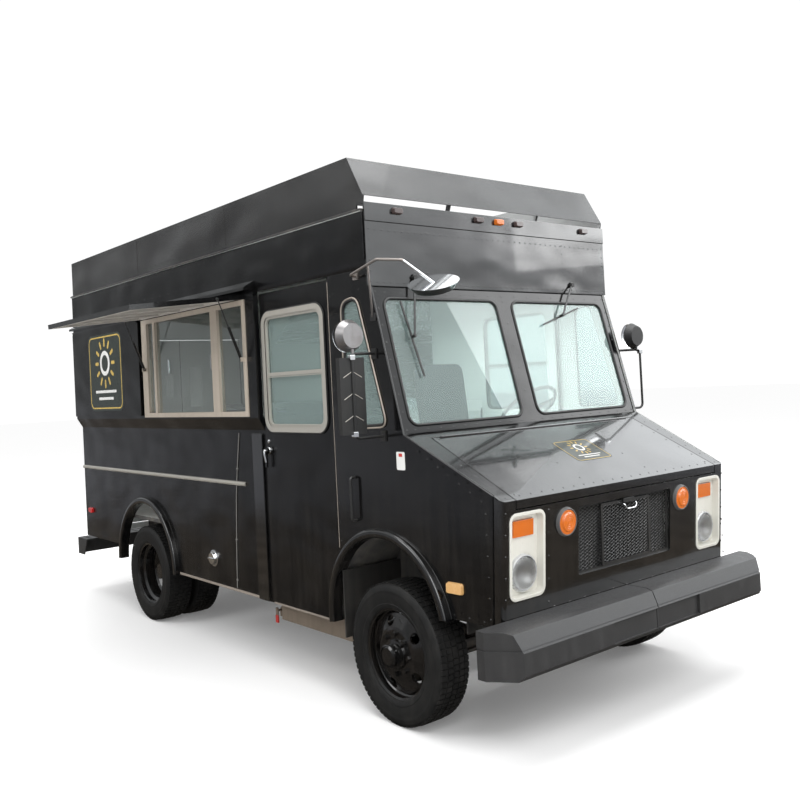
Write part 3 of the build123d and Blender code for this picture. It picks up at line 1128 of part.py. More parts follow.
# Hinge cover: wedge moulding above the serving hatch, carried on as a gutter, with the hatch's pin lugs
COVER_Y = (1312.0, 3160.0)
GUTTER_END_Y = BODY_REAR_Y
COVER_TOP_Z = 2650.0
COVER_LOW_Z = 2583.0
COVER_OUT_X = -1172.0
COVER_LIP_H = 20.0
COVER_T = 10.0
COVER_END_T = 8.0
COVER_UNDER_Z = COVER_LOW_Z + 56.0
GUTTER = [(0.0, 2612.0), (40.0, 2590.0), (40.0, 2572.0), (0.0, 2572.0)]
HINGE_STRIP_DEEP = 12.0
LUG_T = 8.0
LUG_WEB_T = 12.0
LUG_PIN_LENGTH = 38.0
LUG_PIN_IN = 13.0

with BuildPart() as hinge_cover:
    with BuildSketch(station(COVER_Y[0])):
        Polygon(
            (-UPPER_HALF, COVER_TOP_Z), (COVER_OUT_X, COVER_LOW_Z + COVER_LIP_H), (COVER_OUT_X, COVER_LOW_Z),
            (COVER_OUT_X + COVER_T, COVER_LOW_Z),
            (COVER_OUT_X + COVER_T, COVER_LOW_Z + COVER_LIP_H - COVER_T + 4),
            (-UPPER_HALF, COVER_UNDER_Z),
            align=None,
        )
    extrude(amount=-width(COVER_Y))
    for y in (COVER_Y[0], COVER_Y[1] - COVER_END_T):
        with BuildSketch(station(y)):
            Polygon(
                (-UPPER_HALF, COVER_TOP_Z), (COVER_OUT_X, COVER_LOW_Z + COVER_LIP_H),
                (COVER_OUT_X, COVER_LOW_Z), (-UPPER_HALF, COVER_LOW_Z),
                align=None,
            )
        extrude(amount=-COVER_END_T)
    with BuildSketch(station(COVER_Y[1] - 1)):
        Polygon(*[(-UPPER_HALF - proud, z) for proud, z in GUTTER], align=None)
    extrude(amount=-(GUTTER_END_Y - COVER_Y[1] + 1))
    with Locations((-UPPER_HALF, middle(PANEL_Y), PANEL_AXIS[1] - 2)):
        Box(-UPPER_HALF - PANEL_AXIS[0] - PANEL_BARREL_R - SEAT_GAP, PANEL_BARREL_LENGTH, HINGE_STRIP_DEEP,
            align=(Align.MAX, Align.CENTER, Align.MIN))
    for end, outward in ((HATCH_Y[0], -1), (HATCH_Y[1], 1)):
        lug_y = end + outward * LUG_T
        with Locations((HATCH_AXIS[0], lug_y, HATCH_AXIS[1])):
            Cylinder(HATCH_BARREL_R, LUG_T, rotation=(90, 0, 0))
        with Locations(((HATCH_AXIS[0] - UPPER_HALF) / 2, lug_y, HATCH_AXIS[1])):
            Box(-UPPER_HALF - HATCH_AXIS[0], LUG_T, 2 * HATCH_BARREL_R)
        with Locations((-UPPER_HALF, lug_y, HATCH_AXIS[1] - 5)):
            Box(LUG_WEB_T, LUG_T, COVER_UNDER_Z + 4 - HATCH_AXIS[1],
                align=(Align.MAX, Align.CENTER, Align.MIN))
        with Locations((HATCH_AXIS[0], end - outward * LUG_PIN_IN, HATCH_AXIS[1])):
            Cylinder(HATCH_PIN_R, LUG_PIN_LENGTH, rotation=(90, 0, 0))
save(hinge_cover.part, "hinge_cover")

# Front bumper: hollow moulding with chamfered ends, open behind where the frame's brackets enter
BUMPER_HALF = 1200.0
BUMPER_BACK_Y = -795.0
# Its section from the low rear edge round the front, as (y, z)
BUMPER_SECTION = [
    (BUMPER_BACK_Y, 480.0), (-975.0, 470.0), (BUMPER_FRONT_Y, 496.0), (BUMPER_FRONT_Y, 606.0),
    (-962.0, 692.0), (-925.0, 704.0), (BUMPER_BACK_Y, 704.0),
]
BUMPER_END_Y = -850.0
BUMPER_FACE_HALF = 1085.0
BUMPER_HOLLOW = {"half": 1090.0, "deep": 170.0, "z": (485.0, 675.0)}
BUMPER_RECESS = {"half": 460.0, "deep": 7.0, "z": (460.0, 606.0)}

with BuildPart() as front_bumper:
    with BuildSketch(side_plane(-BUMPER_HALF)):
        Polygon(*BUMPER_SECTION, align=None)
    extrude(amount=2 * BUMPER_HALF)
    with BuildSketch(level(0)):
        Polygon(
            (-BUMPER_HALF, BUMPER_BACK_Y), (-BUMPER_HALF, BUMPER_END_Y), (-BUMPER_FACE_HALF, BUMPER_FRONT_Y),
            (BUMPER_FACE_HALF, BUMPER_FRONT_Y), (BUMPER_HALF, BUMPER_END_Y), (BUMPER_HALF, BUMPER_BACK_Y),
            align=None,
        )
    extrude(amount=NOSE_TOP_Z, mode=Mode.INTERSECT)
    with Locations((0, BUMPER_BACK_Y, BUMPER_HOLLOW["z"][0])):
        Box(2 * BUMPER_HOLLOW["half"], BUMPER_HOLLOW["deep"], width(BUMPER_HOLLOW["z"]),
            align=(Align.CENTER, Align.MAX, Align.MIN), mode=Mode.SUBTRACT)
    with Locations((0, BUMPER_FRONT_Y, BUMPER_RECESS["z"][0])):
        Box(2 * BUMPER_RECESS["half"], BUMPER_RECESS["deep"], width(BUMPER_RECESS["z"]),
            align=(Align.CENTER, Align.MIN, Align.MIN), mode=Mode.SUBTRACT)
save(front_bumper.part, "front_bumper")

# Rear bumper: a step of folded plate on the frame's rear brackets
STEP_HALF = 1050.0
STEP_HIGH_Z = 545.0
STEP_LOW_Z = 385.0
STEP_SKIN = 12.0
STEP_FRONT_Y = BODY_REAR_Y + 2.0
STEP_CHEEK_Y = BODY_REAR_Y + 90.0

with BuildPart() as rear_bumper:
    with BuildSketch(side_plane(-STEP_HALF)):
        Polygon(
            (STEP_FRONT_Y, STEP_HIGH_Z), (STEP_REAR_Y, STEP_HIGH_Z), (STEP_REAR_Y, STEP_LOW_Z),
            (STEP_REAR_Y - STEP_SKIN, STEP_LOW_Z), (STEP_REAR_Y - STEP_SKIN, STEP_HIGH_Z - STEP_SKIN),
            (STEP_FRONT_Y, STEP_HIGH_Z - STEP_SKIN),
            align=None,
        )
    extrude(amount=2 * STEP_HALF)
    for sign in SIDES.values():
        with BuildSketch(side_plane(sign * (STEP_HALF - STEP_SKIN))):
            Polygon(
                (STEP_FRONT_Y, STEP_HIGH_Z - 1), (STEP_REAR_Y - 1, STEP_HIGH_Z - 1),
                (STEP_REAR_Y - 1, STEP_LOW_Z), (STEP_CHEEK_Y, STEP_LOW_Z),
                align=None,
            )
        extrude(amount=sign * STEP_SKIN)
save(rear_bumper.part, "rear_bumper")

# Grille: expanded metal, staggered diamond holes through one sheet set back in the nose opening
MESH_T = 4.0
DIAMOND = (76.0, 38.0)
STRAND = 9.0
GRILLE_SET_BACK = 26.0
GRILLE_RIM = 12.0
GRILLE_RIM_LIP = 3.0
columns = int(2 * GRILLE_HALF // DIAMOND[0])
rows = int(width(GRILLE_Z) // DIAMOND[1])

with BuildPart() as grille:
    with BuildSketch(nose_plane.offset(-GRILLE_SET_BACK)):
        with Locations((0, middle(GRILLE_Z) - NOSE_LOW_Z)):
            RectangleRounded(2 * GRILLE_HALF - 1, width(GRILLE_Z) - 1, GRILLE_CORNER_R)
    extrude(amount=-MESH_T)
    with BuildSketch(nose_plane.offset(-GRILLE_SET_BACK)):
        half_w, half_h = DIAMOND[0] / 2 - STRAND, DIAMOND[1] / 2 - STRAND / 2
        for count, step_rows in ((columns, rows), (columns - 1, rows - 1)):
            with Locations((0, middle(GRILLE_Z) - NOSE_LOW_Z)):
                with GridLocations(DIAMOND[0], DIAMOND[1], count, step_rows):
                    Polygon((-half_w, 0), (0, -half_h), (half_w, 0), (0, half_h), align=None)
    extrude(amount=-MESH_T, mode=Mode.SUBTRACT)
    with BuildSketch(nose_plane.offset(-GRILLE_SET_BACK)):
        with Locations((0, middle(GRILLE_Z) - NOSE_LOW_Z)):
            RectangleRounded(2 * GRILLE_HALF - 1, width(GRILLE_Z) - 1, GRILLE_CORNER_R)
            Rectangle(2 * (GRILLE_HALF - GRILLE_RIM), width(GRILLE_Z) - 2 * GRILLE_RIM, mode=Mode.SUBTRACT)
    extrude(amount=GRILLE_SET_BACK - GRILLE_RIM_LIP)
save(grille.part, "grille")

# Headlamp bezels: rounded trays let into the nose, open in front, bored for the lamps
BEZEL_PROUD = 6.0
BEZEL_DEEP = 44.0
BEZEL_WALL = 17.0
BEZEL_FLOOR_T = 8.0
BEZEL_TAPER = 4.0
HEADLAMP_R = 89.0
HEADLAMP_Z = 912.0
TURN_W = 150.0
TURN_H = 84.0
TURN_Z = 1142.0

with BuildPart() as headlamp_bezels:
    for sign in SIDES.values():
        with BuildSketch(nose_plane):
            with Locations((sign * LAMP_X, middle(BEZEL_Z) - NOSE_LOW_Z)):
                RectangleRounded(BEZEL_W, width(BEZEL_Z), BEZEL_CORNER_R)
        extrude(amount=BEZEL_PROUD)
        with BuildSketch(nose_plane):
            with Locations((sign * LAMP_X, middle(BEZEL_Z) - NOSE_LOW_Z)):
                RectangleRounded(BEZEL_W - 2 * BEZEL_LIP - 3, width(BEZEL_Z) - 2 * BEZEL_LIP - 3,
                                 BEZEL_CORNER_R - BEZEL_LIP - 1)
        extrude(amount=-BEZEL_DEEP)
        with BuildSketch(nose_plane.offset(BEZEL_PROUD)):
            with Locations((sign * LAMP_X, middle(BEZEL_Z) - NOSE_LOW_Z)):
                RectangleRounded(BEZEL_W - 2 * BEZEL_WALL, width(BEZEL_Z) - 2 * BEZEL_WALL,
                                 BEZEL_CORNER_R - BEZEL_WALL)
        extrude(amount=BEZEL_FLOOR_T - BEZEL_DEEP - BEZEL_PROUD, taper=BEZEL_TAPER, mode=Mode.SUBTRACT)
        with BuildSketch(nose_plane):
            with Locations((sign * LAMP_X, HEADLAMP_Z - NOSE_LOW_Z)):
                Circle(HEADLAMP_R + SEAT_GAP)
            with Locations((sign * LAMP_X, TURN_Z - NOSE_LOW_Z)):
                Rectangle(TURN_W + 2 * SEAT_GAP, TURN_H + 2 * SEAT_GAP)
        extrude(amount=-BEZEL_DEEP - 1, mode=Mode.SUBTRACT)
save(headlamp_bezels.part, "headlamp_bezels")

# Headlamps: round sealed beams with a bulged lens
LENS_STEPS = [
    (HEADLAMP_R, 0.0, 12.0, 0.0), (HEADLAMP_R - 4, 12.0, 7.0, 52.0), (HEADLAMP_R - 14, 19.0, 5.0, 74.0),
]
LAMP_BODY = 28.0
LAMP_BODY_TAPER = 50.0

with BuildPart() as headlamps:
    for sign in SIDES.values():
        lamp_plane = Plane(
            origin=nose_plane.from_local_coords((sign * LAMP_X, HEADLAMP_Z - NOSE_LOW_Z, -BEZEL_DEEP + 2)),
            x_dir=(1, 0, 0),
            z_dir=nose_plane.z_dir,
        )
        for radius, start, rise, lean in LENS_STEPS:
            with BuildSketch(lamp_plane.offset(start)):
                Circle(radius)
            extrude(amount=rise, taper=lean)
        with BuildSketch(lamp_plane):
            Circle(HEADLAMP_R)
        extrude(amount=-LAMP_BODY, taper=LAMP_BODY_TAPER)
save(headlamps.part, "headlamps")

# Amber lamps: turn lamps in the bezels, round signals on the nose, side markers and the header's markers
MARKER_X = (-846.0, -182.0, 0.0, 182.0, 846.0)
MARKER_Z = 2912.0
MARKER_W = 74.0
MARKER_H = 42.0
MARKER_CORNER_R = 14.0
MARKER_PROUD = 26.0
MARKER_TAPER = 12.0
TURN_PROUD = 18.0
SIGNAL_PROUD = 16.0
SIGNAL_DOME = {"inset": 14.0, "rise": 12.0, "taper": 25.0}
SIDE_MARKER = {"y": -490.0, "z": 832.0, "w": 116.0, "h": 62.0, "r": 16.0, "proud": 18.0, "taper": 15.0}
CHEEK_FLARE = (CAB_HALF - NOSE_HALF) / (COWL_Y - NOSE_TOP_Y)

with BuildPart() as amber_lamps:
    for sign in SIDES.values():
        with BuildSketch(nose_plane.offset(-BEZEL_DEEP + 2)):
            with Locations((sign * LAMP_X, TURN_Z - NOSE_LOW_Z)):
                Rectangle(TURN_W, TURN_H)
        extrude(amount=TURN_PROUD)
        with BuildSketch(nose_plane):
            with Locations((sign * SIGNAL_X, SIGNAL_Z - NOSE_LOW_Z)):
                Circle(SIGNAL_R)
        extrude(amount=SIGNAL_PROUD)
        with BuildSketch(nose_plane.offset(SIGNAL_PROUD - 1)):
            with Locations((sign * SIGNAL_X, SIGNAL_Z - NOSE_LOW_Z)):
                Circle(SIGNAL_R - SIGNAL_DOME["inset"])
        extrude(amount=SIGNAL_DOME["rise"], taper=SIGNAL_DOME["taper"])
        marker_x = NOSE_HALF + CHEEK_FLARE * (SIDE_MARKER["y"] - NOSE_TOP_Y)
        cheek = Plane(
            origin=(sign * marker_x, SIDE_MARKER["y"], SIDE_MARKER["z"]),
            x_dir=(sign * CHEEK_FLARE, 1, 0),
            z_dir=(sign, -CHEEK_FLARE, 0),
        )
        with BuildSketch(cheek.offset(SEAT_GAP)):
            RectangleRounded(SIDE_MARKER["w"], SIDE_MARKER["h"], SIDE_MARKER["r"])
        extrude(amount=SIDE_MARKER["proud"], taper=SIDE_MARKER["taper"])
    with BuildSketch(station(BROW_Y - BAND_PROUD)):
        with Locations(*[(x, MARKER_Z) for x in MARKER_X]):
            RectangleRounded(MARKER_W, MARKER_H, MARKER_CORNER_R)
    extrude(amount=MARKER_PROUD, taper=MARKER_TAPER)
save(amber_lamps.part, "amber_lamps")

# Red lamps: tail lamps low on the rear wall, markers high on it and one on each rear side
TAIL_X = (820.0, 935.0)
TAIL_Z = 800.0
TAIL_R = 50.0
TAIL_PROUD = 22.0
TAIL_TAPER = 8.0
REAR_MARKER_X = (-930.0, -182.0, 0.0, 182.0, 930.0)
REAR_MARKER_Z = 2830.0
RED_SIDE = {"y": 4640.0, "z": 842.0, "w": 90.0, "h": 50.0, "r": 14.0, "proud": 20.0, "taper": 10.0}

with BuildPart() as red_lamps:
    with BuildSketch(station(BODY_REAR_Y)):
        with Locations(*[(sign * x, TAIL_Z) for sign in SIDES.values() for x in TAIL_X]):
            Circle(TAIL_R)
    extrude(amount=-TAIL_PROUD, taper=TAIL_TAPER)
    with BuildSketch(station(BODY_REAR_Y)):
        with Locations(*[(x, REAR_MARKER_Z) for x in REAR_MARKER_X]):
            RectangleRounded(MARKER_W, MARKER_H, MARKER_CORNER_R)
    extrude(amount=-MARKER_PROUD, taper=MARKER_TAPER)
    for sign in SIDES.values():
        with BuildSketch(side_plane(sign * LOWER_HALF)):
            with Locations((RED_SIDE["y"], RED_SIDE["z"])):
                RectangleRounded(RED_SIDE["w"], RED_SIDE["h"], RED_SIDE["r"])
        extrude(amount=sign * RED_SIDE["proud"], taper=RED_SIDE["taper"])
save(red_lamps.part, "red_lamps")

# Mirrors: bent tube brackets with round convex heads, a tall flat head and the dish over the kerb corner
MIRROR_TUBE_R = 8.0
MIRROR_BEND_R = 34.0
ROUND_R = 92.0
ROUND_SHELL = {"back": 34.0, "deep": 44.0, "taper": 28.0}
STALK_BACK = 6.0
TALL_MIRROR = {"x": -1262.0, "y": 10.0, "z": (1640.0, 2062.0), "w": 168.0, "t": 32.0}
PAD = (9.0, 44.0, 60.0)
PAD_REACH = 7.0
PAD_X = CAB_HALF + SEAT_GAP
BRACKETS = [
    {"sign": -1, "out_x": 1262.0, "head_x": 1250.0, "arm_y": 10.0,
     "low": (10.0, 1618.0), "high": (60.0, 2084.0)},
    {"sign": 1, "out_x": 1202.0, "head_x": LEFT_MIRROR_TIP_X - ROUND_R, "arm_y": -110.0,
     "low": (-85.0, 1650.0), "high": (45.0, 2064.0)},
]
DISH = {"at": (-1000.0, -400.0, 2436.0), "faces": (0.35, 0.25, -1.0), "r": 140.0, "deep": 42.0, "taper": 40.0}
DISH_ARM = [
    (-PAD_X - PAD_REACH, 200.0, 2540.0), (-1112.0, 200.0, 2540.0), (-1112.0, -60.0, 2600.0),
    (-1085.0, -250.0, 2572.0), (-1000.0, -400.0, 2432.0),
]
DISH_ARM_BEND_R = 30.0
DISH_BRACE = [(-PAD_X - 8.0, 52.0, 2290.0), (-1112.0, 20.0, 2582.0)]
DISH_BRACE_R = MIRROR_TUBE_R - 2.0


def rod(points, radius, bend_r):
    """Round bar along straight runs joined by arcs."""
    with BuildPart(mode=Mode.PRIVATE) as bar:
        with BuildLine() as route:
            if len(points) > 2:
                FilletPolyline(*points, radius=bend_r)
            else:
                Line(*points)
        with BuildSketch(Plane(origin=route.line @ 0, z_dir=route.line % 0)):
            Circle(radius)
        sweep(path=route.line)
    return bar.part


with BuildPart() as mirrors:
    for bracket in BRACKETS:
        sign = bracket["sign"]
        low, high = bracket["low"], bracket["high"]
        head_x = bracket["head_x"]
        head_z = high[1] + ROUND_R + STALK_BACK
        stalk_y = bracket["arm_y"] + STALK_BACK
        add(rod(
            [
                (sign * (PAD_X + PAD_REACH), *low), (sign * bracket["out_x"], bracket["arm_y"], low[1]),
                (sign * bracket["out_x"], bracket["arm_y"], high[1]), (sign * (PAD_X + PAD_REACH), *high),
            ],
            MIRROR_TUBE_R, MIRROR_BEND_R,
        ))
        for y, z in (low, high):
            with Locations((sign * (PAD_X + PAD[0] / 2), y, z)):
                Box(*PAD)
        add(rod([(sign * head_x, stalk_y, high[1]), (sign * head_x, stalk_y, head_z)], MIRROR_TUBE_R, 0))
        with BuildSketch(station(bracket["arm_y"] + ROUND_SHELL["back"])):
            with Locations((sign * head_x, head_z)):
                Circle(ROUND_R)
        extrude(amount=ROUND_SHELL["deep"], taper=ROUND_SHELL["taper"])
    with Locations((TALL_MIRROR["x"], TALL_MIRROR["y"] + TALL_MIRROR["t"] / 2, middle(TALL_MIRROR["z"]))):
        Box(TALL_MIRROR["w"], TALL_MIRROR["t"], width(TALL_MIRROR["z"]))
    add(rod(DISH_ARM, MIRROR_TUBE_R, DISH_ARM_BEND_R))
    add(rod(DISH_BRACE, DISH_BRACE_R, 0))
    for foot in (DISH_ARM[0], DISH_BRACE[0]):
        with Locations((-PAD_X - PAD[0] / 2, foot[1], foot[2])):
            Box(PAD[0], PAD[1], PAD[1])
    with BuildSketch(Plane(origin=DISH["at"], z_dir=DISH["faces"])):
        Circle(DISH["r"])
    extrude(amount=DISH["deep"], taper=DISH["taper"])
save(mirrors.part, "mirrors")

# Wipers: pivots on the header, flat arms and blades parallel to the panes
WIPER_PIVOT_Z = 2528.0
WIPER_ARM_LIFT = 34.0
WIPER_BLADE_LIFT = 11.0
WIPER_ARM_T = 6.0
WIPER_ARM_W = 12.0
WIPER_BLADE_BOSS_R = WIPER_ARM_W - 2.0
WIPER_LINK_R = WIPER_ARM_W - 4.0
WIPER_PIVOT_R = 15.0
WIPER_PIVOT_LENGTH = 20.0
# Places on the screen plane: across, and up from the cowl
WIPERS = [
    {"pivot": (-735.0, 932.0), "tip": (-838.0, 560.0), "blade": [(-868.0, 780.0), (-815.0, 320.0)]},
    {"pivot": (700.0, 932.0), "tip": (515.0, 700.0), "blade": [(320.0, 640.0), (720.0, 760.0)]},
]


def strip(start, end, wide):
    """Corners of a straight bar of one width between two points."""
    run = Vector(*end) - Vector(*start)
    across = Vector(-run.Y, run.X) * (wide / 2 / run.length)
    ends = (Vector(*start) + across, Vector(*start) - across, Vector(*end) - across, Vector(*end) + across)
    return [(corner.X, corner.Y) for corner in ends]


with BuildPart() as wipers:
    for wiper in WIPERS:
        with BuildSketch(screen_plane.offset(WIPER_ARM_LIFT)):
            Polygon(*strip(wiper["pivot"], wiper["tip"], WIPER_ARM_W), align=None)
            with Locations(wiper["pivot"], wiper["tip"]):
                Circle(WIPER_ARM_W)
        extrude(amount=WIPER_ARM_T)
        with BuildSketch(screen_plane.offset(WIPER_BLADE_LIFT)):
            Polygon(*strip(*wiper["blade"], WIPER_ARM_W), align=None)
            with Locations(wiper["tip"]):
                Circle(WIPER_BLADE_BOSS_R)
        extrude(amount=WIPER_ARM_T)
        with BuildSketch(screen_plane.offset(WIPER_BLADE_LIFT)):
            with Locations(wiper["tip"]):
                Circle(WIPER_LINK_R)
        extrude(amount=WIPER_ARM_LIFT)
        with BuildSketch(station(BROW_Y - SEAT_GAP)):
            with Locations((wiper["pivot"][0], WIPER_PIVOT_Z)):
                Circle(WIPER_PIVOT_R)
        extrude(amount=WIPER_PIVOT_LENGTH)
save(wipers.part, "wipers")

# Steering wheel and its column, turning in the dash
WHEEL_CENTRE = (395.0, 250.0, 1690.0)
WHEEL_TILT = (0.0, 0.66, 0.75)
WHEEL_R = 215.0
WHEEL_RIM_R = 13.0
WHEEL_HUB_R = 45.0
SPOKE = {"t": 12.0, "w": 30.0, "below": 12.0}
SPOKE_DEG = (90, 210, 330)
COLUMN_R = 18.0
COLUMN_LENGTH = 250.0
WHEEL_HUB_DEEP = 40.0

with BuildPart() as steering_wheel:
    wheel_plane = Plane(origin=WHEEL_CENTRE, x_dir=(1, 0, 0), z_dir=WHEEL_TILT)
    with BuildSketch(wheel_plane.rotated((90, 0, 0))):
        with Locations((WHEEL_R, 0)):
            Circle(WHEEL_RIM_R)
    revolve(axis=Axis(wheel_plane.origin, wheel_plane.z_dir))
    with BuildSketch(wheel_plane.offset(-WHEEL_HUB_DEEP)):
        Circle(WHEEL_HUB_R)
    extrude(amount=WHEEL_HUB_DEEP - 4)
    for turn in SPOKE_DEG:
        outward = wheel_plane.x_dir * cos(radians(turn)) + wheel_plane.y_dir * sin(radians(turn))
        spoke_start = wheel_plane.origin - wheel_plane.z_dir * SPOKE["below"]
        with BuildSketch(Plane(origin=spoke_start, x_dir=wheel_plane.z_dir, z_dir=outward)):
            Rectangle(SPOKE["t"], SPOKE["w"])
        extrude(amount=WHEEL_R - 4)
    with BuildSketch(wheel_plane.offset(-WHEEL_HUB_DEEP / 2)):
        Circle(COLUMN_R)
    extrude(amount=-COLUMN_LENGTH - WHEEL_HUB_DEEP / 2)
save(steering_wheel.part, "steering_wheel")

# Dash: firewall behind the hood, instrument shelf and the engine cover between the seats
FIREWALL_Y = -236.0
FIREWALL_T = 10.0
FIREWALL_LOW_Z = FLOOR_Z + 210.0
DASH_HALF = CAB_HALF - CAB_SKIN - 6.8
DASH_TOP_Z = 1560.0
# Shelf section from the firewall over the instruments and back, as (y, down from the top)
DASH_SECTION = [
    (FIREWALL_Y + 2.0, 0.0), (-140.0, -20.0), (40.0, 10.0), (60.0, 60.0), (10.0, 220.0),
    (FIREWALL_Y + 2.0, 240.0),
]
DOGHOUSE_HALF = 296.0
DOGHOUSE_REAR_Y = 430.0
DOGHOUSE_TOP_Z = 1180.0
DOGHOUSE_T = 8.0

with BuildPart() as dash:
    with Locations((0, FIREWALL_Y, FIREWALL_LOW_Z)):
        Box(2 * DASH_HALF, FIREWALL_T, DASH_TOP_Z - FIREWALL_LOW_Z,
            align=(Align.CENTER, Align.MIN, Align.MIN))
    with BuildSketch(side_plane(-DASH_HALF)):
        Polygon(*[(y, DASH_TOP_Z - down) for y, down in DASH_SECTION], align=None)
    extrude(amount=2 * DASH_HALF)
    doghouse_length = DOGHOUSE_REAR_Y - FIREWALL_Y
    doghouse_height = DOGHOUSE_TOP_Z - FLOOR_Z
    with Locations((0, FIREWALL_Y, FLOOR_Z)):
        Box(2 * DOGHOUSE_HALF, doghouse_length, doghouse_height, align=(Align.CENTER, Align.MIN, Align.MIN))
    with Locations((0, FIREWALL_Y - 1, FLOOR_Z - 1)):
        Box(2 * (DOGHOUSE_HALF - DOGHOUSE_T), doghouse_length - DOGHOUSE_T + 1, doghouse_height - DOGHOUSE_T,
            align=(Align.CENTER, Align.MIN, Align.MIN), mode=Mode.SUBTRACT)
    with BuildSketch(wheel_plane.offset(-WHEEL_HUB_DEEP)):
        Circle(COLUMN_R + BORE_CLEAR)
    extrude(amount=-COLUMN_LENGTH - 2, mode=Mode.SUBTRACT)
save(dash.part, "dash")

# Driver's seat on its pedestal
SEAT_AT = (445.0, 900.0)
SEAT_TOP_Z = 1400.0
PEDESTAL = (260.0, 300.0)
CUSHION = (480.0, 470.0, 110.0)
BACK_TOP_Z = 2075.0
SEAT_BACK = {"y": 190.0, "below": 60.0, "lean": 0.12, "w": 440.0, "r": 70.0, "t": 95.0}

with BuildPart() as driver_seat:
    with Locations((SEAT_AT[0], SEAT_AT[1], FLOOR_Z)):
        Box(*PEDESTAL, SEAT_TOP_Z - FLOOR_Z - CUSHION[2], align=(Align.CENTER, Align.CENTER, Align.MIN))
    with Locations((SEAT_AT[0], SEAT_AT[1], SEAT_TOP_Z)):
        Box(*CUSHION, align=(Align.CENTER, Align.CENTER, Align.MAX))
    back_plane = Plane(
        origin=(SEAT_AT[0], SEAT_AT[1] + SEAT_BACK["y"], SEAT_TOP_Z - SEAT_BACK["below"]),
        x_dir=(1, 0, 0),
        z_dir=(0, -1, SEAT_BACK["lean"]),
    )
    with BuildSketch(back_plane):
        with Locations((0, (BACK_TOP_Z - SEAT_TOP_Z) / 2)):
            RectangleRounded(SEAT_BACK["w"], BACK_TOP_Z - SEAT_TOP_Z + SEAT_BACK["below"], SEAT_BACK["r"])
    extrude(amount=-SEAT_BACK["t"])
save(driver_seat.part, "driver_seat")

# Galley: stainless units along the driver's side, seen through the serving window
UNIT_X = (430.0, 996.0)
UNIT_Y = (1650.0, 4600.0)
UNIT_TOP_Z = 1780.0
PLINTH = (60.0, 90.0)
HOOD_Z = (2360.0, 2640.0)
HOOD_Y = (UNIT_Y[0] + 300.0, UNIT_Y[0] + 2000.0)
HOOD_LIP_X = (UNIT_X[0] + 60.0, UNIT_X[0] + 260.0)
SPLASH_T = 12.0
LINING_X = UPPER_HALF - WALL_T - SEAT_GAP

with BuildPart() as galley:
    with Locations((middle(UNIT_X), middle(UNIT_Y), FLOOR_Z)):
        Box(width(UNIT_X), width(UNIT_Y), UNIT_TOP_Z - FLOOR_Z, align=(Align.CENTER, Align.CENTER, Align.MIN))
    with Locations((UNIT_X[0], middle(UNIT_Y), FLOOR_Z)):
        Box(PLINTH[0], width(UNIT_Y) + 2, PLINTH[1], align=(Align.CENTER, Align.CENTER, Align.MIN),
            mode=Mode.SUBTRACT)
    with BuildSketch(station(HOOD_Y[0])):
        Polygon(
            (LINING_X, HOOD_Z[0]), (HOOD_LIP_X[0], HOOD_Z[0]), (HOOD_LIP_X[1], HOOD_Z[1]),
            (LINING_X, HOOD_Z[1]),
            align=None,
        )
    extrude(amount=-width(HOOD_Y))
    with Locations((LINING_X, middle(HOOD_Y), UNIT_TOP_Z - 20)):
        Box(SPLASH_T, width(HOOD_Y), HOOD_Z[0] - UNIT_TOP_Z + 60, align=(Align.MAX, Align.CENTER, Align.MIN))
save(galley.part, "galley")

# Waste tank under the kerb-side door, on frame brackets, with its drain pipe and valve
TANK_X = (-955.0, -600.0)
TANK_Y = (545.0, 1375.0)
TANK_Z = (335.0, 460.0)
TANK_RIM = {"out": 12.0, "t": 6.0}
TANK_BRACKET = {"in": 150.0, "w": 50.0, "t": 8.0}
DRAIN_R = 17.0
DRAIN_X = -880.0
DRAIN_Z = 385.0
DRAIN_TURN_Y = TANK_Y[1] + 117.0
DRAIN_END_Z = 325.0
DRAIN_BEND_R = 26.0
VALVE = {"y": TANK_Y[1] + 60.0, "r": 26.0, "w": 34.0, "stem_r": 8.0, "stem": 80.0}
LEVER = {"x": -956.0, "z": 355.0, "size": (10.0, 22.0, 100.0)}

with BuildPart() as waste_tank:
    with Locations((middle(TANK_X), middle(TANK_Y), middle(TANK_Z))):
        Box(width(TANK_X), width(TANK_Y), width(TANK_Z))
    with Locations((middle(TANK_X), middle(TANK_Y), TANK_Z[1])):
        Box(width(TANK_X) + 2 * TANK_RIM["out"], width(TANK_Y) + 2 * TANK_RIM["out"], TANK_RIM["t"],
            align=(Align.CENTER, Align.CENTER, Align.MIN))
    for y in (TANK_Y[0] + TANK_BRACKET["in"], TANK_Y[1] - TANK_BRACKET["in"]):
        with Locations((TANK_X[1], y, RAIL_Z[0])):
            Box(-RAIL_OUTER_X - TANK_X[1] - SEAT_GAP, TANK_BRACKET["w"], TANK_BRACKET["t"],
                align=(Align.MIN, Align.CENTER, Align.MIN))
        with Locations((TANK_X[1], y, TANK_Z[1])):
            Box(TANK_BRACKET["t"], TANK_BRACKET["w"], RAIL_Z[0] + TANK_BRACKET["t"] - TANK_Z[1],
                align=(Align.MIN, Align.CENTER, Align.MIN))
    add(rod(
        [(DRAIN_X, TANK_Y[1] - 20, DRAIN_Z), (DRAIN_X, DRAIN_TURN_Y, DRAIN_Z), (DRAIN_X, DRAIN_TURN_Y, DRAIN_END_Z)],
        DRAIN_R,
        DRAIN_BEND_R,
    ))
    with Locations((DRAIN_X, VALVE["y"], DRAIN_Z)):
        Cylinder(VALVE["r"], VALVE["w"], rotation=(90, 0, 0))
        Cylinder(VALVE["stem_r"], VALVE["stem"], rotation=(0, 90, 0),
                 align=(Align.CENTER, Align.CENTER, Align.MAX))
    with Locations((LEVER["x"], VALVE["y"], LEVER["z"])):
        Box(*LEVER["size"])
save(waste_tank.part, "waste_tank")

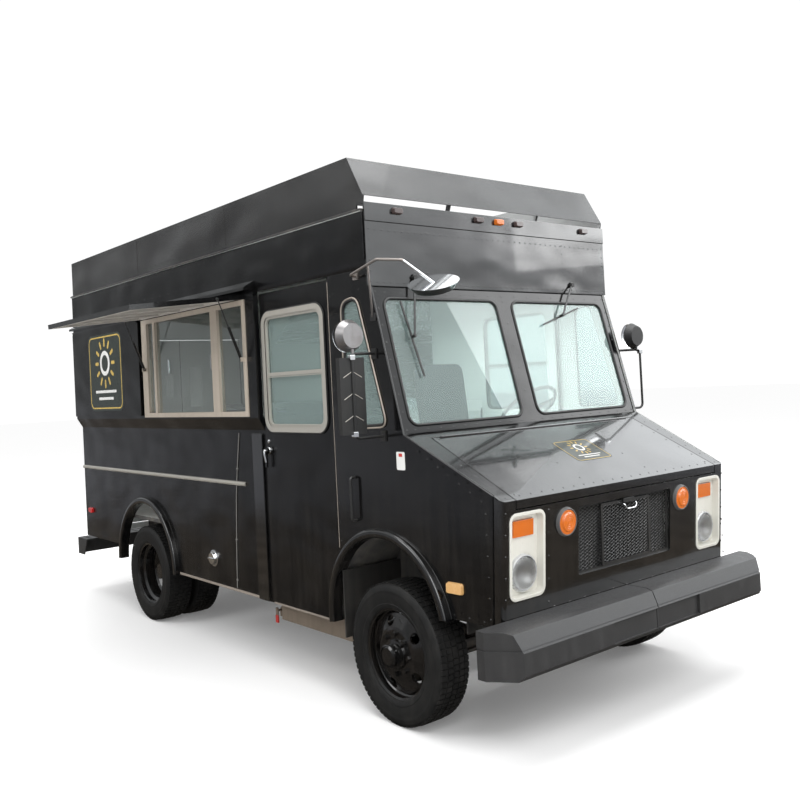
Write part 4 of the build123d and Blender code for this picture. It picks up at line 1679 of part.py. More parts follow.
# Radiator: an upright core standing on the rails behind the grille
RADIATOR_HALF = 395.0
RADIATOR_Y = (-736.0, -676.0)
RADIATOR_TOP_Z = 1196.0
RADIATOR_TANK = 70.0
CORE_SET_BACK = 12.0
CORE_INSET = 20.0

with BuildPart() as radiator:
    with Locations((0, middle(RADIATOR_Y), RAIL_Z[1] + SEAT_GAP)):
        Box(2 * RADIATOR_HALF, width(RADIATOR_Y), RADIATOR_TOP_Z - RAIL_Z[1] - SEAT_GAP,
            align=(Align.CENTER, Align.CENTER, Align.MIN))
    with Locations((0, RADIATOR_Y[0], (RADIATOR_TOP_Z + RAIL_Z[1]) / 2)):
        Box(2 * (RADIATOR_HALF - CORE_INSET), CORE_SET_BACK, RADIATOR_TOP_Z - RAIL_Z[1] - 2 * RADIATOR_TANK,
            align=(Align.CENTER, Align.MIN, Align.CENTER), mode=Mode.SUBTRACT)
save(radiator.part, "radiator")
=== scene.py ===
"""Walk-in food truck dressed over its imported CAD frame."""

import json
import logging
import math
from dataclasses import dataclass, field
from enum import Enum
from typing import Callable, Sequence

import bpy
from mathutils import Matrix, Vector

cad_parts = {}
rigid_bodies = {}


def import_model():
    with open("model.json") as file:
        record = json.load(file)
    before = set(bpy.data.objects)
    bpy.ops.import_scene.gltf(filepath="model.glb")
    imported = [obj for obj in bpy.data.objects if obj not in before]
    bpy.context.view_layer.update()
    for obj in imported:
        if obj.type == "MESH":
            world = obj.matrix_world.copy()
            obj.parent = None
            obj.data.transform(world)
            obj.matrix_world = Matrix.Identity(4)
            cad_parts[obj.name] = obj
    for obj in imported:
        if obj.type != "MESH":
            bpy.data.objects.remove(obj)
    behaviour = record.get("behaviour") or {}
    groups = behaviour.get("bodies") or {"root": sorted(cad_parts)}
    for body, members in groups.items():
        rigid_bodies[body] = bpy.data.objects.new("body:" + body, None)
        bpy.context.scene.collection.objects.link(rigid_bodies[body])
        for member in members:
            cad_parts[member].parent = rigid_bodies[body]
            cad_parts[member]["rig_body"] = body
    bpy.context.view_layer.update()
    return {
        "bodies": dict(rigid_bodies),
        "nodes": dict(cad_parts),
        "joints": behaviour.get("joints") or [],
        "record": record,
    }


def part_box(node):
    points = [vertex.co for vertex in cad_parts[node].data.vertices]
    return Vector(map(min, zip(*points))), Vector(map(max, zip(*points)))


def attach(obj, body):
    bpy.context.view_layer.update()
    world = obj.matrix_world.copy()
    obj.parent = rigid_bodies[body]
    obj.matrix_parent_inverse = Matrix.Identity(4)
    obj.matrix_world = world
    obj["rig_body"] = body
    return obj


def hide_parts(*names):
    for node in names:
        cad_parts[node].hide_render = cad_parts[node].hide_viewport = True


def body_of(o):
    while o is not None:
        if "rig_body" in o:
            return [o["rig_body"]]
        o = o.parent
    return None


LOG = logging.getLogger("food_truck")
SHIFT = Vector((0.31689, -2.015, 0.0))


def at(x: float, y: float, z: float) -> Vector:
    """Turn a place on the truck's own axes (metres from the front axle) into the shared frame."""
    return Vector((x, y, z)) + SHIFT


class Side(Enum):
    """The two sides of the truck, with the sign of x."""

    KERB = -1
    DRIVER = 1


# ---------------------------------------------------------------- node tools

Tree, Node, Socket = bpy.types.NodeTree, bpy.types.Node, bpy.types.NodeSocket
Material, Piece = bpy.types.Material, bpy.types.Object
Wire = float | Sequence[float] | Socket
WHITE = (1.0, 1.0, 1.0, 1.0)


def fill(tree: Tree, node: Node, wires: dict[str | int, Wire]) -> None:
    """Feed a node's inputs.

    Args:
        tree: the tree that holds the node.
        node: the node.
        wires: a value, or the socket that drives it, for each input's name or number.
    """
    for label, value in wires.items():
        if isinstance(value, Socket):
            tree.links.new(value, node.inputs[label])
        else:
            node.inputs[label].default_value = value


def add_node(tree: Tree, kind: str, wires: dict[str | int, Wire] | None = None,
             **settings: object) -> Node:
    """Add a node, set its properties, then feed its inputs.

    Args:
        tree: the tree that takes the node.
        kind: the node's type.
        wires: what feeds its inputs.
        settings: node properties by name.

    Returns:
        The node.
    """
    node = tree.nodes.new(kind)
    for label, value in settings.items():
        setattr(node, label, value)
    fill(tree, node, wires or {})
    return node


def reckon(tree: Tree, operation: str, *values: Wire, clamp: bool = False) -> Socket:
    """Result of one step of arithmetic on values and sockets."""
    wires = dict(enumerate(values))
    return add_node(tree, "ShaderNodeMath", wires, operation=operation, use_clamp=clamp).outputs[0]


def vector_step(tree: Tree, operation: str, *values: Wire, result: str = "Vector") -> Socket:
    """Result of one step of vector arithmetic."""
    return add_node(tree, "ShaderNodeVectorMath", dict(enumerate(values)), operation=operation).outputs[result]


def map_range(tree: Tree, value: Wire, from_min: Wire = 0.0, from_max: Wire = 1.0, to_min: Wire = 0.0,
              to_max: Wire = 1.0, **settings: str) -> Socket:
    """Value moved from one range to another and held within it."""
    wires = {"Value": value, "From Min": from_min, "From Max": from_max, "To Min": to_min, "To Max": to_max}
    return add_node(tree, "ShaderNodeMapRange", wires, **settings).outputs["Result"]


def place_socket(tree: Tree, kind: str = "Object") -> Socket:
    """Texture coordinates of one kind."""
    return add_node(tree, "ShaderNodeTexCoord").outputs[kind]


def mapped(tree: Tree, **wires: Wire) -> Socket:
    """Object coordinates moved and stretched."""
    return add_node(tree, "ShaderNodeMapping", {"Vector": place_socket(tree), **wires}).outputs["Vector"]


def noise(tree: Tree, place: Socket, **wires: Wire) -> Socket:
    """Noise at a place, from 0 to 1."""
    return add_node(tree, "ShaderNodeTexNoise", {"Vector": place, **wires}).outputs["Fac"]


def axis_of(tree: Tree, place: Socket, axis: str) -> Socket:
    """One coordinate of a place."""
    return add_node(tree, "ShaderNodeSeparateXYZ", {0: place}).outputs[axis]


def vector_of(tree: Tree, x: Wire, y: Wire, z: Wire) -> Socket:
    """Vector put together from three values."""
    return add_node(tree, "ShaderNodeCombineXYZ", {"X": x, "Y": y, "Z": z}).outputs[0]


def mix_colour(tree: Tree, factor: Socket, first: Wire, second: Wire) -> Socket:
    """Blend of two colours, each a socket or three numbers."""
    first, second = (c if isinstance(c, Socket) else (*c, 1.0) for c in (first, second))
    wires = {"Factor": factor, "A": first, "B": second}
    return add_node(tree, "ShaderNodeMix", wires, data_type="RGBA").outputs["Result"]


def bump(tree: Tree, height: Socket, distance: float,
         under: Socket | None = None) -> Socket:
    """Normal bent by a height, on top of another normal where there is one."""
    wires = {"Strength": 1.0, "Distance": distance, "Height": height}
    if under is not None:
        wires["Normal"] = under
    return add_node(tree, "ShaderNodeBump", wires).outputs["Normal"]


def colour_ramp(tree: Tree, factor: Socket,
                marks: Sequence[tuple[float, tuple[float, float, float]]]) -> Socket:
    """Colour looked up by a factor.

    Args:
        tree: the tree that takes the ramp.
        factor: the socket that drives it.
        marks: position and colour of each stop.

    Returns:
        The colour socket.
    """
    node = add_node(tree, "ShaderNodeValToRGB", {0: factor})
    stops = node.color_ramp.elements
    stops[0].position, stops[1].position = marks[0][0], marks[-1][0]
    for position, _ in marks[1:-1]:
        stops.new(position)
    for stop, (_, colour) in zip(stops, marks):
        stop.color = (*colour, 1.0)
    return node.outputs["Color"]


def mix_shaders(tree: Tree, *wires: Socket) -> Socket:
    """Blend of two shaders by a factor, given as factor, first and second."""
    return add_node(tree, "ShaderNodeMixShader", dict(enumerate(wires))).outputs[0]


def new_material(name: str) -> tuple[Material, Tree, Node]:
    """Make a node material and hand out its tree and its Principled shader."""
    made = bpy.data.materials.new(name)
    made.use_nodes = True
    return made, made.node_tree, made.node_tree.nodes["Principled BSDF"]


# ---------------------------------------------------------------- shader groups


class Group(Enum):
    """Shared effects, each a node group."""

    GRIME = "grime_mask"
    RIPPLE = "sheet_ripple"
    SCUFF = "fine_scuffs"
    LINING = "inside_mask"


class GroupShelf:
    """Builds each shared node group once and hands it out."""

    def __init__(self) -> None:
        """Start with no group built."""
        self._built: dict[Group, Tree] = {}

    def place(self, tree: Tree, which: Group, **values: float) -> Socket:
        """Put a shared group, built on first use, into a material.

        Args:
            tree: the material's tree.
            which: the effect wanted.
            values: its input values by name.

        Returns:
            The group's one output.
        """
        if which not in self._built:
            makers: dict[Group, Callable[[], Tree]] = {
                Group.GRIME: self._grime, Group.RIPPLE: self._ripple, Group.SCUFF: self._scuff,
                Group.LINING: self._lining}
            self._built[which] = makers[which]()
        node = add_node(tree, "ShaderNodeGroup", node_tree=self._built[which])
        fill(tree, node, values)
        return node.outputs[0]

    @staticmethod
    def _tree(which: Group, inputs: dict[str, float],
              output: str) -> tuple[Tree, bpy.types.bpy_prop_collection, Node]:
        """Make an empty group with float sockets.

        Args:
            which: the effect.
            inputs: name and default value of each input.
            output: name of the one output.

        Returns:
            The tree, the sockets that bring its inputs, and its output node.
        """
        tree = bpy.data.node_groups.new(which.value, "ShaderNodeTree")
        for label, value in inputs.items():
            tree.interface.new_socket(label, in_out="INPUT", socket_type="NodeSocketFloat").default_value = value
        tree.interface.new_socket(output, in_out="OUTPUT", socket_type="NodeSocketFloat")
        return tree, tree.nodes.new("NodeGroupInput").outputs, tree.nodes.new("NodeGroupOutput")

    def _grime(self) -> Tree:
        """Dust and run marks: patchy noise, vertical streaks, and more of both near the ground."""
        tree, given, sink = self._tree(Group.GRIME, {"Scale": 3.0, "Amount": 0.5, "Low": 0.3, "High": 1.4}, "Mask")
        patch = noise(tree, place_socket(tree), Scale=given["Scale"], Detail=6.0, Roughness=0.62)
        streak = noise(tree, mapped(tree, Scale=(9.0, 9.0, 0.55)), Scale=2.4, Detail=4.0)
        fall = map_range(tree, axis_of(tree, place_socket(tree), "Z"), given["Low"], given["High"], 1.0, 0.25)
        marks = map_range(tree, reckon(tree, "MULTIPLY", patch, streak), 0.18, 0.42)
        low = reckon(tree, "MULTIPLY", marks, fall)
        fill(tree, sink, {"Mask": reckon(tree, "MULTIPLY", low, given["Amount"], clamp=True)})
        return tree

    def _ripple(self) -> Tree:
        """Height of the slow waves of riveted sheet, with fine orange peel on top."""
        tree, given, sink = self._tree(Group.RIPPLE, {"Wave": 2.2, "Peel": 0.02}, "Height")
        wave = noise(tree, mapped(tree, Scale=(1.0, 1.0, 1.7)), Scale=given["Wave"], Detail=1.0)
        peel = reckon(tree, "MULTIPLY", noise(tree, place_socket(tree), Scale=420.0), given["Peel"])
        fill(tree, sink, {"Height": reckon(tree, "ADD", wave, peel)})
        return tree

    def _scuff(self) -> Tree:
        """Mask of fine grain and small scratches."""
        tree, given, sink = self._tree(Group.SCUFF, {"Scale": 60.0, "Stretch": 8.0}, "Mask")
        scaled = vector_step(tree, "MULTIPLY", place_socket(tree), vector_of(tree, 1.0, given["Stretch"], 1.0))
        fill(tree, sink, {"Mask": noise(tree, scaled, Scale=given["Scale"], Detail=8.0, Roughness=0.7)})
        return tree

    def _lining(self) -> Tree:
        """Mask of faces whose normal points along a given direction, for sheets painted pale inside."""
        tree, given, sink = self._tree(Group.LINING, {"X": 1.0, "Y": 0.0, "Z": 0.0, "Mirror": 0.0}, "Mask")
        offset = reckon(tree, "SUBTRACT", axis_of(tree, place_socket(tree), "X"), SHIFT.x)
        flip = reckon(tree, "MULTIPLY", reckon(tree, "SIGN", offset), given["Mirror"])
        aim = vector_of(tree, reckon(tree, "SUBTRACT", given["X"], flip), given["Y"], given["Z"])
        dot = vector_step(tree, "DOT_PRODUCT", place_socket(tree, "Normal"), aim, result="Value")
        fill(tree, sink, {"Mask": reckon(tree, "GREATER_THAN", dot, 0.6)})
        return tree


SHELF = GroupShelf()


# ---------------------------------------------------------------- finishes


@dataclass(frozen=True)
class Finish:
    """One painted, moulded or metal surface.

    Fields hold the clean colour and roughness, what dust adds, and how the sheet waves.
    """

    name: str
    colour: tuple[float, float, float]
    rough: float
    metal: float = 0.0
    coat: float = 0.0
    specular: float = 0.5
    dust: tuple[float, float, float] = (0.2, 0.18, 0.15)
    dust_amount: float = 0.2
    dust_scale: float = 3.0
    dust_low: float = 0.3
    dust_high: float = 1.4
    rough_spread: float = 0.12
    wave: float = 0.0
    wave_scale: float = 2.2
    grain: float = 0.0
    grain_scale: float = 60.0
    grain_stretch: float = 1.0
    lining: tuple[float, float, float] | None = None
    lining_mirror: float = 0.0
    lining_colour: tuple[float, float, float] = (0.62, 0.64, 0.62)
    tint: float = 0.12

    def material(self) -> Material:
        """Build the node material, or return the one already built."""
        found = bpy.data.materials.get(self.name)
        if found:
            return found
        made, tree, shader = new_material(self.name)
        grime = SHELF.place(tree, Group.GRIME, Scale=self.dust_scale, Amount=self.dust_amount, Low=self.dust_low,
                            High=self.dust_high)
        fill(tree, shader, {
            "Metallic": self.metal, "Coat Weight": self.coat, "Coat Roughness": 0.04,
            "Specular IOR Level": self.specular, "Roughness": self._roughness(tree, grime),
            "Base Color": mix_colour(tree, grime, self._clean_colour(tree), self.dust)})
        self._relief(tree, shader)
        return made

    def _clean_colour(self, tree: Tree) -> Socket:
        """Colour with a slow change over the surface, pale on the faces that line the inside."""
        cloud = noise(tree, place_socket(tree), Scale=1.7, Detail=3.0)
        dark, bright = ([min(1.0, c * share) for c in self.colour] for share in (1 - self.tint, 1 + self.tint))
        shade = mix_colour(tree, cloud, dark, bright)
        if self.lining is None:
            return shade
        x, y, z = self.lining
        mask = SHELF.place(tree, Group.LINING, X=x, Y=y, Z=z, Mirror=self.lining_mirror)
        return mix_colour(tree, mask, shade, self.lining_colour)

    def _scuffs(self, tree: Tree) -> Socket:
        """Mask of this surface's own grain."""
        return SHELF.place(tree, Group.SCUFF, Scale=self.grain_scale, Stretch=self.grain_stretch)

    def _roughness(self, tree: Tree, grime: Socket) -> Socket:
        """Roughness that rises with dust and with fine scuffs."""
        half = self.rough_spread / 2
        spread = map_range(tree, self._scuffs(tree), 0.3, 0.7, max(0.0, self.rough - half), min(1.0, self.rough + half))
        return reckon(tree, "ADD", spread, map_range(tree, grime, to_max=0.9 - self.rough), clamp=True)

    def _relief(self, tree: Tree, shader: Node) -> None:
        """Bump of the sheet's waves and of the surface's grain."""
        normal = None
        if self.wave:
            normal = bump(tree, SHELF.place(tree, Group.RIPPLE, Wave=self.wave_scale), self.wave)
        if self.grain:
            normal = bump(tree, self._scuffs(tree), self.grain, normal)
        if normal is not None:
            fill(tree, shader, {"Normal": normal})


@dataclass(frozen=True)
class Clear:
    """Glass or a coloured lens."""

    name: str
    colour: tuple[float, float, float]
    rough: float = 0.0
    ior: float = 1.45
    dust_amount: float = 0.06
    flute: float = 0.0
    flute_scale: float = 90.0
    haze: float = 0.0

    def material(self) -> Material:
        """Build the transmitting material, with a little dirt that scatters."""
        found = bpy.data.materials.get(self.name)
        if found:
            return found
        made, tree, shader = new_material(self.name)
        grime = SHELF.place(tree, Group.GRIME, Scale=5.0, Amount=self.dust_amount, High=4.0)
        fill(tree, shader, {
            "Transmission Weight": 1.0 - self.haze, "IOR": self.ior,
            "Base Color": mix_colour(tree, grime, self.colour, [c * 0.75 for c in self.colour]),
            "Roughness": map_range(tree, grime, to_min=self.rough, to_max=self.rough + 0.3)})
        if self.flute:
            wires = {"Scale": self.flute_scale, "Vector": place_socket(tree)}
            bands = add_node(tree, "ShaderNodeTexWave", wires, bands_direction="X").outputs["Fac"]
            fill(tree, shader, {"Normal": bump(tree, bands, self.flute)})
        return made


BODY = Finish("black_body_paint", (0.0035, 0.0035, 0.0038), 0.07, coat=0.6, specular=0.45, dust=(0.085, 0.075, 0.062),
              dust_amount=0.16, wave=0.012, wave_scale=1.9, rough_spread=0.06)
WALL_KERB = Finish("black_wall_paint_kerb", BODY.colour, 0.06, coat=0.16, specular=0.25, dust=BODY.dust,
                   dust_amount=0.14, wave=0.026, wave_scale=2.1, lining=(1.0, 0.0, 0.0), rough_spread=0.05)
WALL_DRIVER = Finish("black_wall_paint_driver", BODY.colour, 0.06, coat=0.16, specular=0.25, dust=BODY.dust,
                     dust_amount=0.14, wave=0.014, wave_scale=1.7, lining=(-1.0, 0.0, 0.0), rough_spread=0.05)
CAB = Finish("black_cab_paint", BODY.colour, 0.07, coat=0.35, specular=0.32, dust=BODY.dust, dust_amount=0.16,
             wave=0.010, wave_scale=2.0, lining=(0.0, 0.0, 0.0), lining_mirror=1.0, rough_spread=0.05)
ROOF = Finish("black_roof_paint", (0.02, 0.02, 0.02), 0.4, specular=0.4, dust_amount=0.5, dust_high=6.0,
              lining=(0.0, 0.0, -1.0), wave=0.01)
REAR = Finish("black_rear_paint", BODY.colour, 0.07, coat=0.6, specular=0.45, dust=BODY.dust, dust_amount=0.16,
              wave=0.010, lining=(0.0, -1.0, 0.0))
FRONT_LINED = Finish("black_header_paint", BODY.colour, 0.08, coat=0.75, specular=0.55, dust=BODY.dust,
                     dust_amount=0.14, wave=0.014, wave_scale=2.4, lining=(0.0, 1.0, 0.0))
SCREEN_PAINT = Finish("black_windshield_frame_paint", BODY.colour, 0.09, coat=0.12, specular=0.28, dust=BODY.dust,
                      dust_amount=0.12, wave=0.008, lining=(0.0, 1.0, 0.0))
HOOD_PAINT = Finish("black_hood_paint", BODY.colour, 0.07, coat=0.9, specular=0.55, dust=BODY.dust, dust_amount=0.18,
                    wave=0.014, wave_scale=1.9, rough_spread=0.06)
REFLECTOR = Finish("lamp_reflector", (0.9, 0.9, 0.92), 0.22, metal=0.65, dust_amount=0.03)
FRAME_BLACK = Finish("dusty_chassis_black", (0.018, 0.018, 0.018), 0.55, dust=(0.16, 0.13, 0.1), dust_amount=0.75,
                     dust_scale=5.0, grain=0.0006, grain_scale=80.0)
ENGINE = Finish("oily_cast_iron", (0.03, 0.028, 0.025), 0.5, metal=0.6, dust_amount=0.6, grain=0.001, grain_scale=40.0)
RUBBER = Finish("bumper_rubber", (0.027, 0.027, 0.0278), 0.42, specular=0.55, dust=(0.07, 0.068, 0.066),
                dust_amount=0.22, dust_scale=7.0, grain=0.0006, grain_scale=150.0, rough_spread=0.24, tint=0.2)
GASKET = Finish("window_gasket", (0.008, 0.008, 0.008), 0.45, dust_amount=0.2, grain=0.0002, grain_scale=200.0)
TYRE = Finish("tyre_rubber", (0.010, 0.010, 0.010), 0.55, specular=0.2, dust=(0.06, 0.056, 0.05), dust_amount=0.2,
              dust_low=-0.2, dust_high=2.2, dust_scale=14.0, grain=0.0003, grain_scale=220.0)
WHEEL = Finish("black_wheel_paint", (0.005, 0.005, 0.005), 0.13, coat=0.35, dust=(0.05, 0.035, 0.028), dust_amount=0.16,
               dust_scale=4.0, rough_spread=0.05)
SILVER = Finish("silver_bezel_paint", (0.6, 0.61, 0.62), 0.28, metal=0.55, coat=0.3, dust_amount=0.12, tint=0.05)
STAINLESS = Finish("kitchen_stainless", (0.62, 0.63, 0.64), 0.24, metal=1.0, dust_amount=0.05, grain=0.0001,
                   grain_scale=30.0, grain_stretch=0.06, rough_spread=0.2, tint=0.05)
CHROME = Finish("bright_chrome", (0.85, 0.86, 0.87), 0.06, metal=1.0, dust_amount=0.1, dust=(0.3, 0.3, 0.3), tint=0.03)
TANK = Finish("stained_tank_metal", (0.215, 0.175, 0.135), 0.42, metal=0.35, dust=(0.17, 0.13, 0.1), dust_amount=0.5,
              dust_scale=3.0, tint=0.2)
CABIN = Finish("cabin_vinyl", (0.02, 0.02, 0.021), 0.5, dust_amount=0.1, grain=0.0006, grain_scale=140.0)
FLOOR_TREAD = Finish("cargo_floor", (0.05, 0.05, 0.05), 0.5, dust_amount=0.5, dust_high=6.0, lining=(0.0, 0.0, 1.0),
                     lining_colour=(0.3, 0.3, 0.29))
BEZEL_CREAM = Finish("cream_bezel_plastic", (0.68, 0.67, 0.61), 0.3, coat=0.3, dust=(0.3, 0.27, 0.22), dust_amount=0.2,
                     tint=0.05)
BEZEL_ALLOY = Finish("window_frame_aluminium", (0.44, 0.42, 0.375), 0.34, metal=0.45, dust=(0.3, 0.27, 0.22),
                     dust_amount=0.2, tint=0.05, grain=0.0001)
GRILLE_PAINT = Finish("grille_satin_black", (0.022, 0.0215, 0.021), 0.38, dust=(0.2, 0.18, 0.16), dust_amount=0.4)
FRAME_SATIN = Finish("satin_black_steel", (0.02, 0.02, 0.02), 0.32, dust_amount=0.2)
# painted shade: near-black finish of the sheet set behind the grille, standing for the shade inside the nose
DARK_VOID = Finish("radiator_shade", (0.006, 0.006, 0.006), 0.8, dust_amount=0.1)
SIGNAL_RUBBER = Finish("signal_ring_rubber", (0.09, 0.09, 0.09), 0.5, dust_amount=0.4)
PAPER = Finish("white_sticker", (0.72, 0.72, 0.7), 0.4, dust_amount=0.15, dust_high=6.0)
PAPER_RED = Finish("red_sticker", (0.5, 0.03, 0.02), 0.4, dust_amount=0.1)
STICKER_FIELD = Finish("dark_green_sticker", (0.012, 0.02, 0.014), 0.3, coat=0.3, dust_amount=0.15)
STICKER_GOLD = Finish("gold_sticker", (0.55, 0.38, 0.08), 0.35, coat=0.3, dust_amount=0.12)
VALVE_RED = Finish("valve_red_plastic", (0.45, 0.012, 0.01), 0.35, dust_amount=0.3)
SEAT_PIPING = Finish("seat_piping", (0.05, 0.05, 0.052), 0.4, dust_amount=0.1)
CONDUIT = Finish("grey_conduit", (0.17, 0.165, 0.155), 0.45, dust_amount=0.2)
SILL_ALLOY = Finish("worn_sill_aluminium", (0.40, 0.35, 0.30), 0.42, metal=0.4, dust=(0.2, 0.16, 0.12), dust_amount=0.4)
SERVING_PAINT = Finish("serving_frame_enamel", (0.50, 0.435, 0.36), 0.34, metal=0.25, dust=(0.24, 0.2, 0.16),
                       dust_amount=0.3, dust_high=6.0, tint=0.08)
HATCH_UNDER = Finish("hatch_inner_enamel", (0.46, 0.43, 0.39), 0.55, specular=0.3, dust=(0.3, 0.26, 0.2),
                     dust_amount=0.3, dust_high=6.0, tint=0.1)
WORN_CHROME = Finish("worn_mirror_shell", (0.34, 0.33, 0.33), 0.3, metal=0.9, dust=(0.12, 0.1, 0.09), dust_amount=0.5,
                     dust_high=6.0, dust_scale=9.0)
SMOKED_LENS = Finish("smoked_lens", (0.06, 0.042, 0.04), 0.22, coat=0.5, dust_amount=0.3, grain=0.0004,
                     grain_scale=120.0)
ARM_STEEL = Finish("mirror_arm_steel", (0.30, 0.27, 0.25), 0.4, metal=0.8, dust=(0.16, 0.12, 0.1), dust_amount=0.3)
POST_GLOSS = Finish("glossy_post_cover", (0.0022, 0.0022, 0.0025), 0.06, coat=0.8, dust_amount=0.05)
PARAPET_PAINT = Finish("parapet_satin_paint", (0.011, 0.0105, 0.010), 0.14, coat=0.15, dust=(0.1, 0.09, 0.075),
                       dust_amount=0.2, wave=0.05, wave_scale=1.4, rough_spread=0.06, lining=(0.0, 0.0, 0.0),
                       lining_mirror=1.0, lining_colour=(0.42, 0.43, 0.43))
WINDOW = Clear("window_glass", (0.65, 0.81, 0.785), dust_amount=0.1, haze=0.13)
# painted shade: a darker copy of the window glass for the far-side door and quarter window, so the white background
# seen through the cab shows dimmer
WINDOW_FAR = Clear("window_glass_far_dimmed", (0.44, 0.55, 0.54), dust_amount=0.1, haze=0.13)
SERVING_GLASS = Clear("serving_window_glass", (0.56, 0.60, 0.59), dust_amount=0.06, haze=0.04)
LENS_CLEAR = Clear("headlamp_lens", (0.97, 0.98, 0.98), rough=0.02, flute=0.0012, flute_scale=60.0)
LENS_AMBER = Finish("amber_lens", (0.64, 0.145, 0.010), 0.16, coat=0.8, dust_amount=0.12, grain=0.0004,
                    grain_scale=120.0, tint=0.1)
LENS_PALE_AMBER = Finish("faded_amber_lens", (0.62, 0.36, 0.14), 0.25, coat=0.5, dust_amount=0.2, grain=0.0004,
                         grain_scale=120.0)
LENS_RED = Finish("red_lens", (0.5, 0.008, 0.008), 0.16, coat=0.8, dust_amount=0.12, grain=0.0004,
                  grain_scale=120.0)

NODE_FINISH: dict[str, Finish | Clear] = {
    "chassis_frame": FRAME_BLACK, "engine_block": ENGINE, "radiator": FRAME_BLACK, "front_axle": FRAME_BLACK,
    "rear_axle": FRAME_BLACK, "front_right_knuckle": FRAME_BLACK, "front_left_knuckle": FRAME_BLACK,
    "tie_rod": FRAME_BLACK, "front_right_tyre": TYRE, "front_left_tyre": TYRE, "rear_right_tyres": TYRE,
    "rear_left_tyres": TYRE, "front_right_wheel": WHEEL, "front_left_wheel": WHEEL, "rear_right_wheels": WHEEL,
    "rear_left_wheels": WHEEL, "floor": FLOOR_TREAD, "side_wall_right": WALL_KERB, "side_wall_left": WALL_DRIVER,
    "cab_sides": CAB, "nose": HOOD_PAINT, "cowl": BODY, "hood_lid": HOOD_PAINT, "windshield_frame": SCREEN_PAINT,
    "header": FRONT_LINED, "roof": ROOF, "parapet": PARAPET_PAINT, "rear_wall": REAR, "rear_door_right": REAR,
    "rear_door_left": REAR, "door_right": WALL_KERB, "door_left": WALL_DRIVER, "door_glass_right": WINDOW,
    "door_glass_left": WINDOW_FAR, "serving_frame": SERVING_PAINT, "fixed_glass": WINDOW, "serving_hatch": BODY,
    "strut_tube_front": BODY, "strut_tube_rear": BODY, "strut_rod_front": FRAME_SATIN, "strut_rod_rear": FRAME_SATIN,
    "side_hatch": WALL_KERB, "hinge_cover": BODY, "front_bumper": RUBBER, "rear_bumper": RUBBER, "grille": FRAME_BLACK,
    "headlamp_bezels": BEZEL_CREAM, "headlamps": LENS_CLEAR, "amber_lamps": LENS_AMBER, "red_lamps": LENS_RED,
    "mirrors": GASKET, "wipers": GASKET, "dash": CABIN, "driver_seat": CABIN, "steering_wheel": CABIN,
    "galley": STAINLESS, "waste_tank": TANK,
}

EASED: dict[str, float] = {name: radius for radius, names in (
    (0.003, "side_wall_right side_wall_left cab_sides nose hood_lid windshield_frame header roof parapet "
     "rear_wall rear_door_right rear_door_left rear_bumper headlamp_bezels galley mirrors"),
    (0.002, "cowl serving_hatch hinge_cover waste_tank"),
    (0.0025, "door_right door_left side_hatch amber_lamps red_lamps"),
    (0.0015, "serving_frame"),
    (0.01, "dash"),
    (0.03, "driver_seat"),
    (0.0005, "fixed_glass"),
) for name in names.split()}

HATCH_AXIS_X, HATCH_AXIS_Z, HATCH_COS, HATCH_SIN = -1.118, 2.547, 0.1045, 0.9945


def under_hatch(p: Vector) -> bool:
    """Whether a point lies on the inner side of the raised serving hatch."""
    dx, dz = p.x - HATCH_AXIS_X, p.z - HATCH_AXIS_Z
    depth, reach = HATCH_COS * dx - HATCH_SIN * dz, -HATCH_SIN * dx - HATCH_COS * dz
    return depth > -0.0125 and 0.012 < reach < 0.766 and 1.504 < p.y < 3.058


REPAINTED: list[tuple[str, Finish | Clear, Callable[[Vector], bool]]] = [
    ("mirrors", ARM_STEEL, lambda p: p.x < -0.82 and p.z > 2.395),
    ("mirrors", CHROME, lambda p: -1.16 < p.x < -0.82 and p.y < -0.27 and p.z > 2.395),
    ("fixed_glass", SERVING_GLASS, lambda p: p.y > 1.3),
    # painted shade: the far quarter window takes the darker copy of the glass
    ("fixed_glass", WINDOW_FAR, lambda p: p.x > 1.0 and p.y < 1.3),
    ("serving_hatch", HATCH_UNDER, under_hatch),
    ("mirrors", WORN_CHROME, lambda p: p.x < -1.15 and p.z > 2.09),
    ("amber_lamps", LENS_PALE_AMBER, lambda p: p.z < 0.9),
    ("amber_lamps", SMOKED_LENS, lambda p: p.z > 2.7 and abs(p.x) > 0.1),
]


# ---------------------------------------------------------------- modelling tools


def clear_selection() -> None:
    """Leave edit mode and deselect everything."""
    if bpy.context.object and bpy.context.object.mode != "OBJECT":
        bpy.ops.object.mode_set(mode="OBJECT")
    bpy.ops.object.select_all(action="DESELECT")


def activate(piece: Piece) -> None:
    """Select one object alone and make it active."""
    clear_selection()
    piece.select_set(True)
    bpy.context.view_layer.objects.active = piece


def settle(piece: Piece, name: str) -> Piece:
    """Name a piece and put its place into its mesh.

    Args:
        piece: the object just modelled.
        name: its final name.

    Returns:
        The same object.
    """
    activate(piece)
    bpy.ops.object.transform_apply(location=True, rotation=True, scale=True)
    piece.name = name
    piece.data.name = name
    return piece


def round_edges(piece: Piece, width: float, segments: int = 2, angle: float = 30.0) -> None:
    """Bevel the sharp edges and shade the faces smooth between them.

    Args:
        piece: the object to finish.
        width: bevel width in metres.
        segments: bevel segments.
        angle: edges sharper than this, in degrees, are rounded.
    """
    activate(piece)
    bevel = piece.modifiers.new("ease", "BEVEL")
    bevel.width = width
    bevel.segments = segments
    bevel.limit_method = "ANGLE"
    bevel.angle_limit = math.radians(angle)
    bevel.use_clamp_overlap = True
    bpy.ops.object.modifier_apply(modifier="ease")
    bpy.ops.object.shade_smooth_by_angle(angle=math.radians(40))
    weigh = piece.modifiers.new("weigh", "WEIGHTED_NORMAL")
    weigh.keep_sharp = True
    bpy.ops.object.modifier_apply(modifier="weigh")


def dress(piece: Piece, finish: Finish | Clear, body: str) -> Piece:
    """Give a piece its finish and the body that it rides on."""
    piece.data.materials.clear()
    piece.data.materials.append(finish.material())
    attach(piece, body)
    return piece


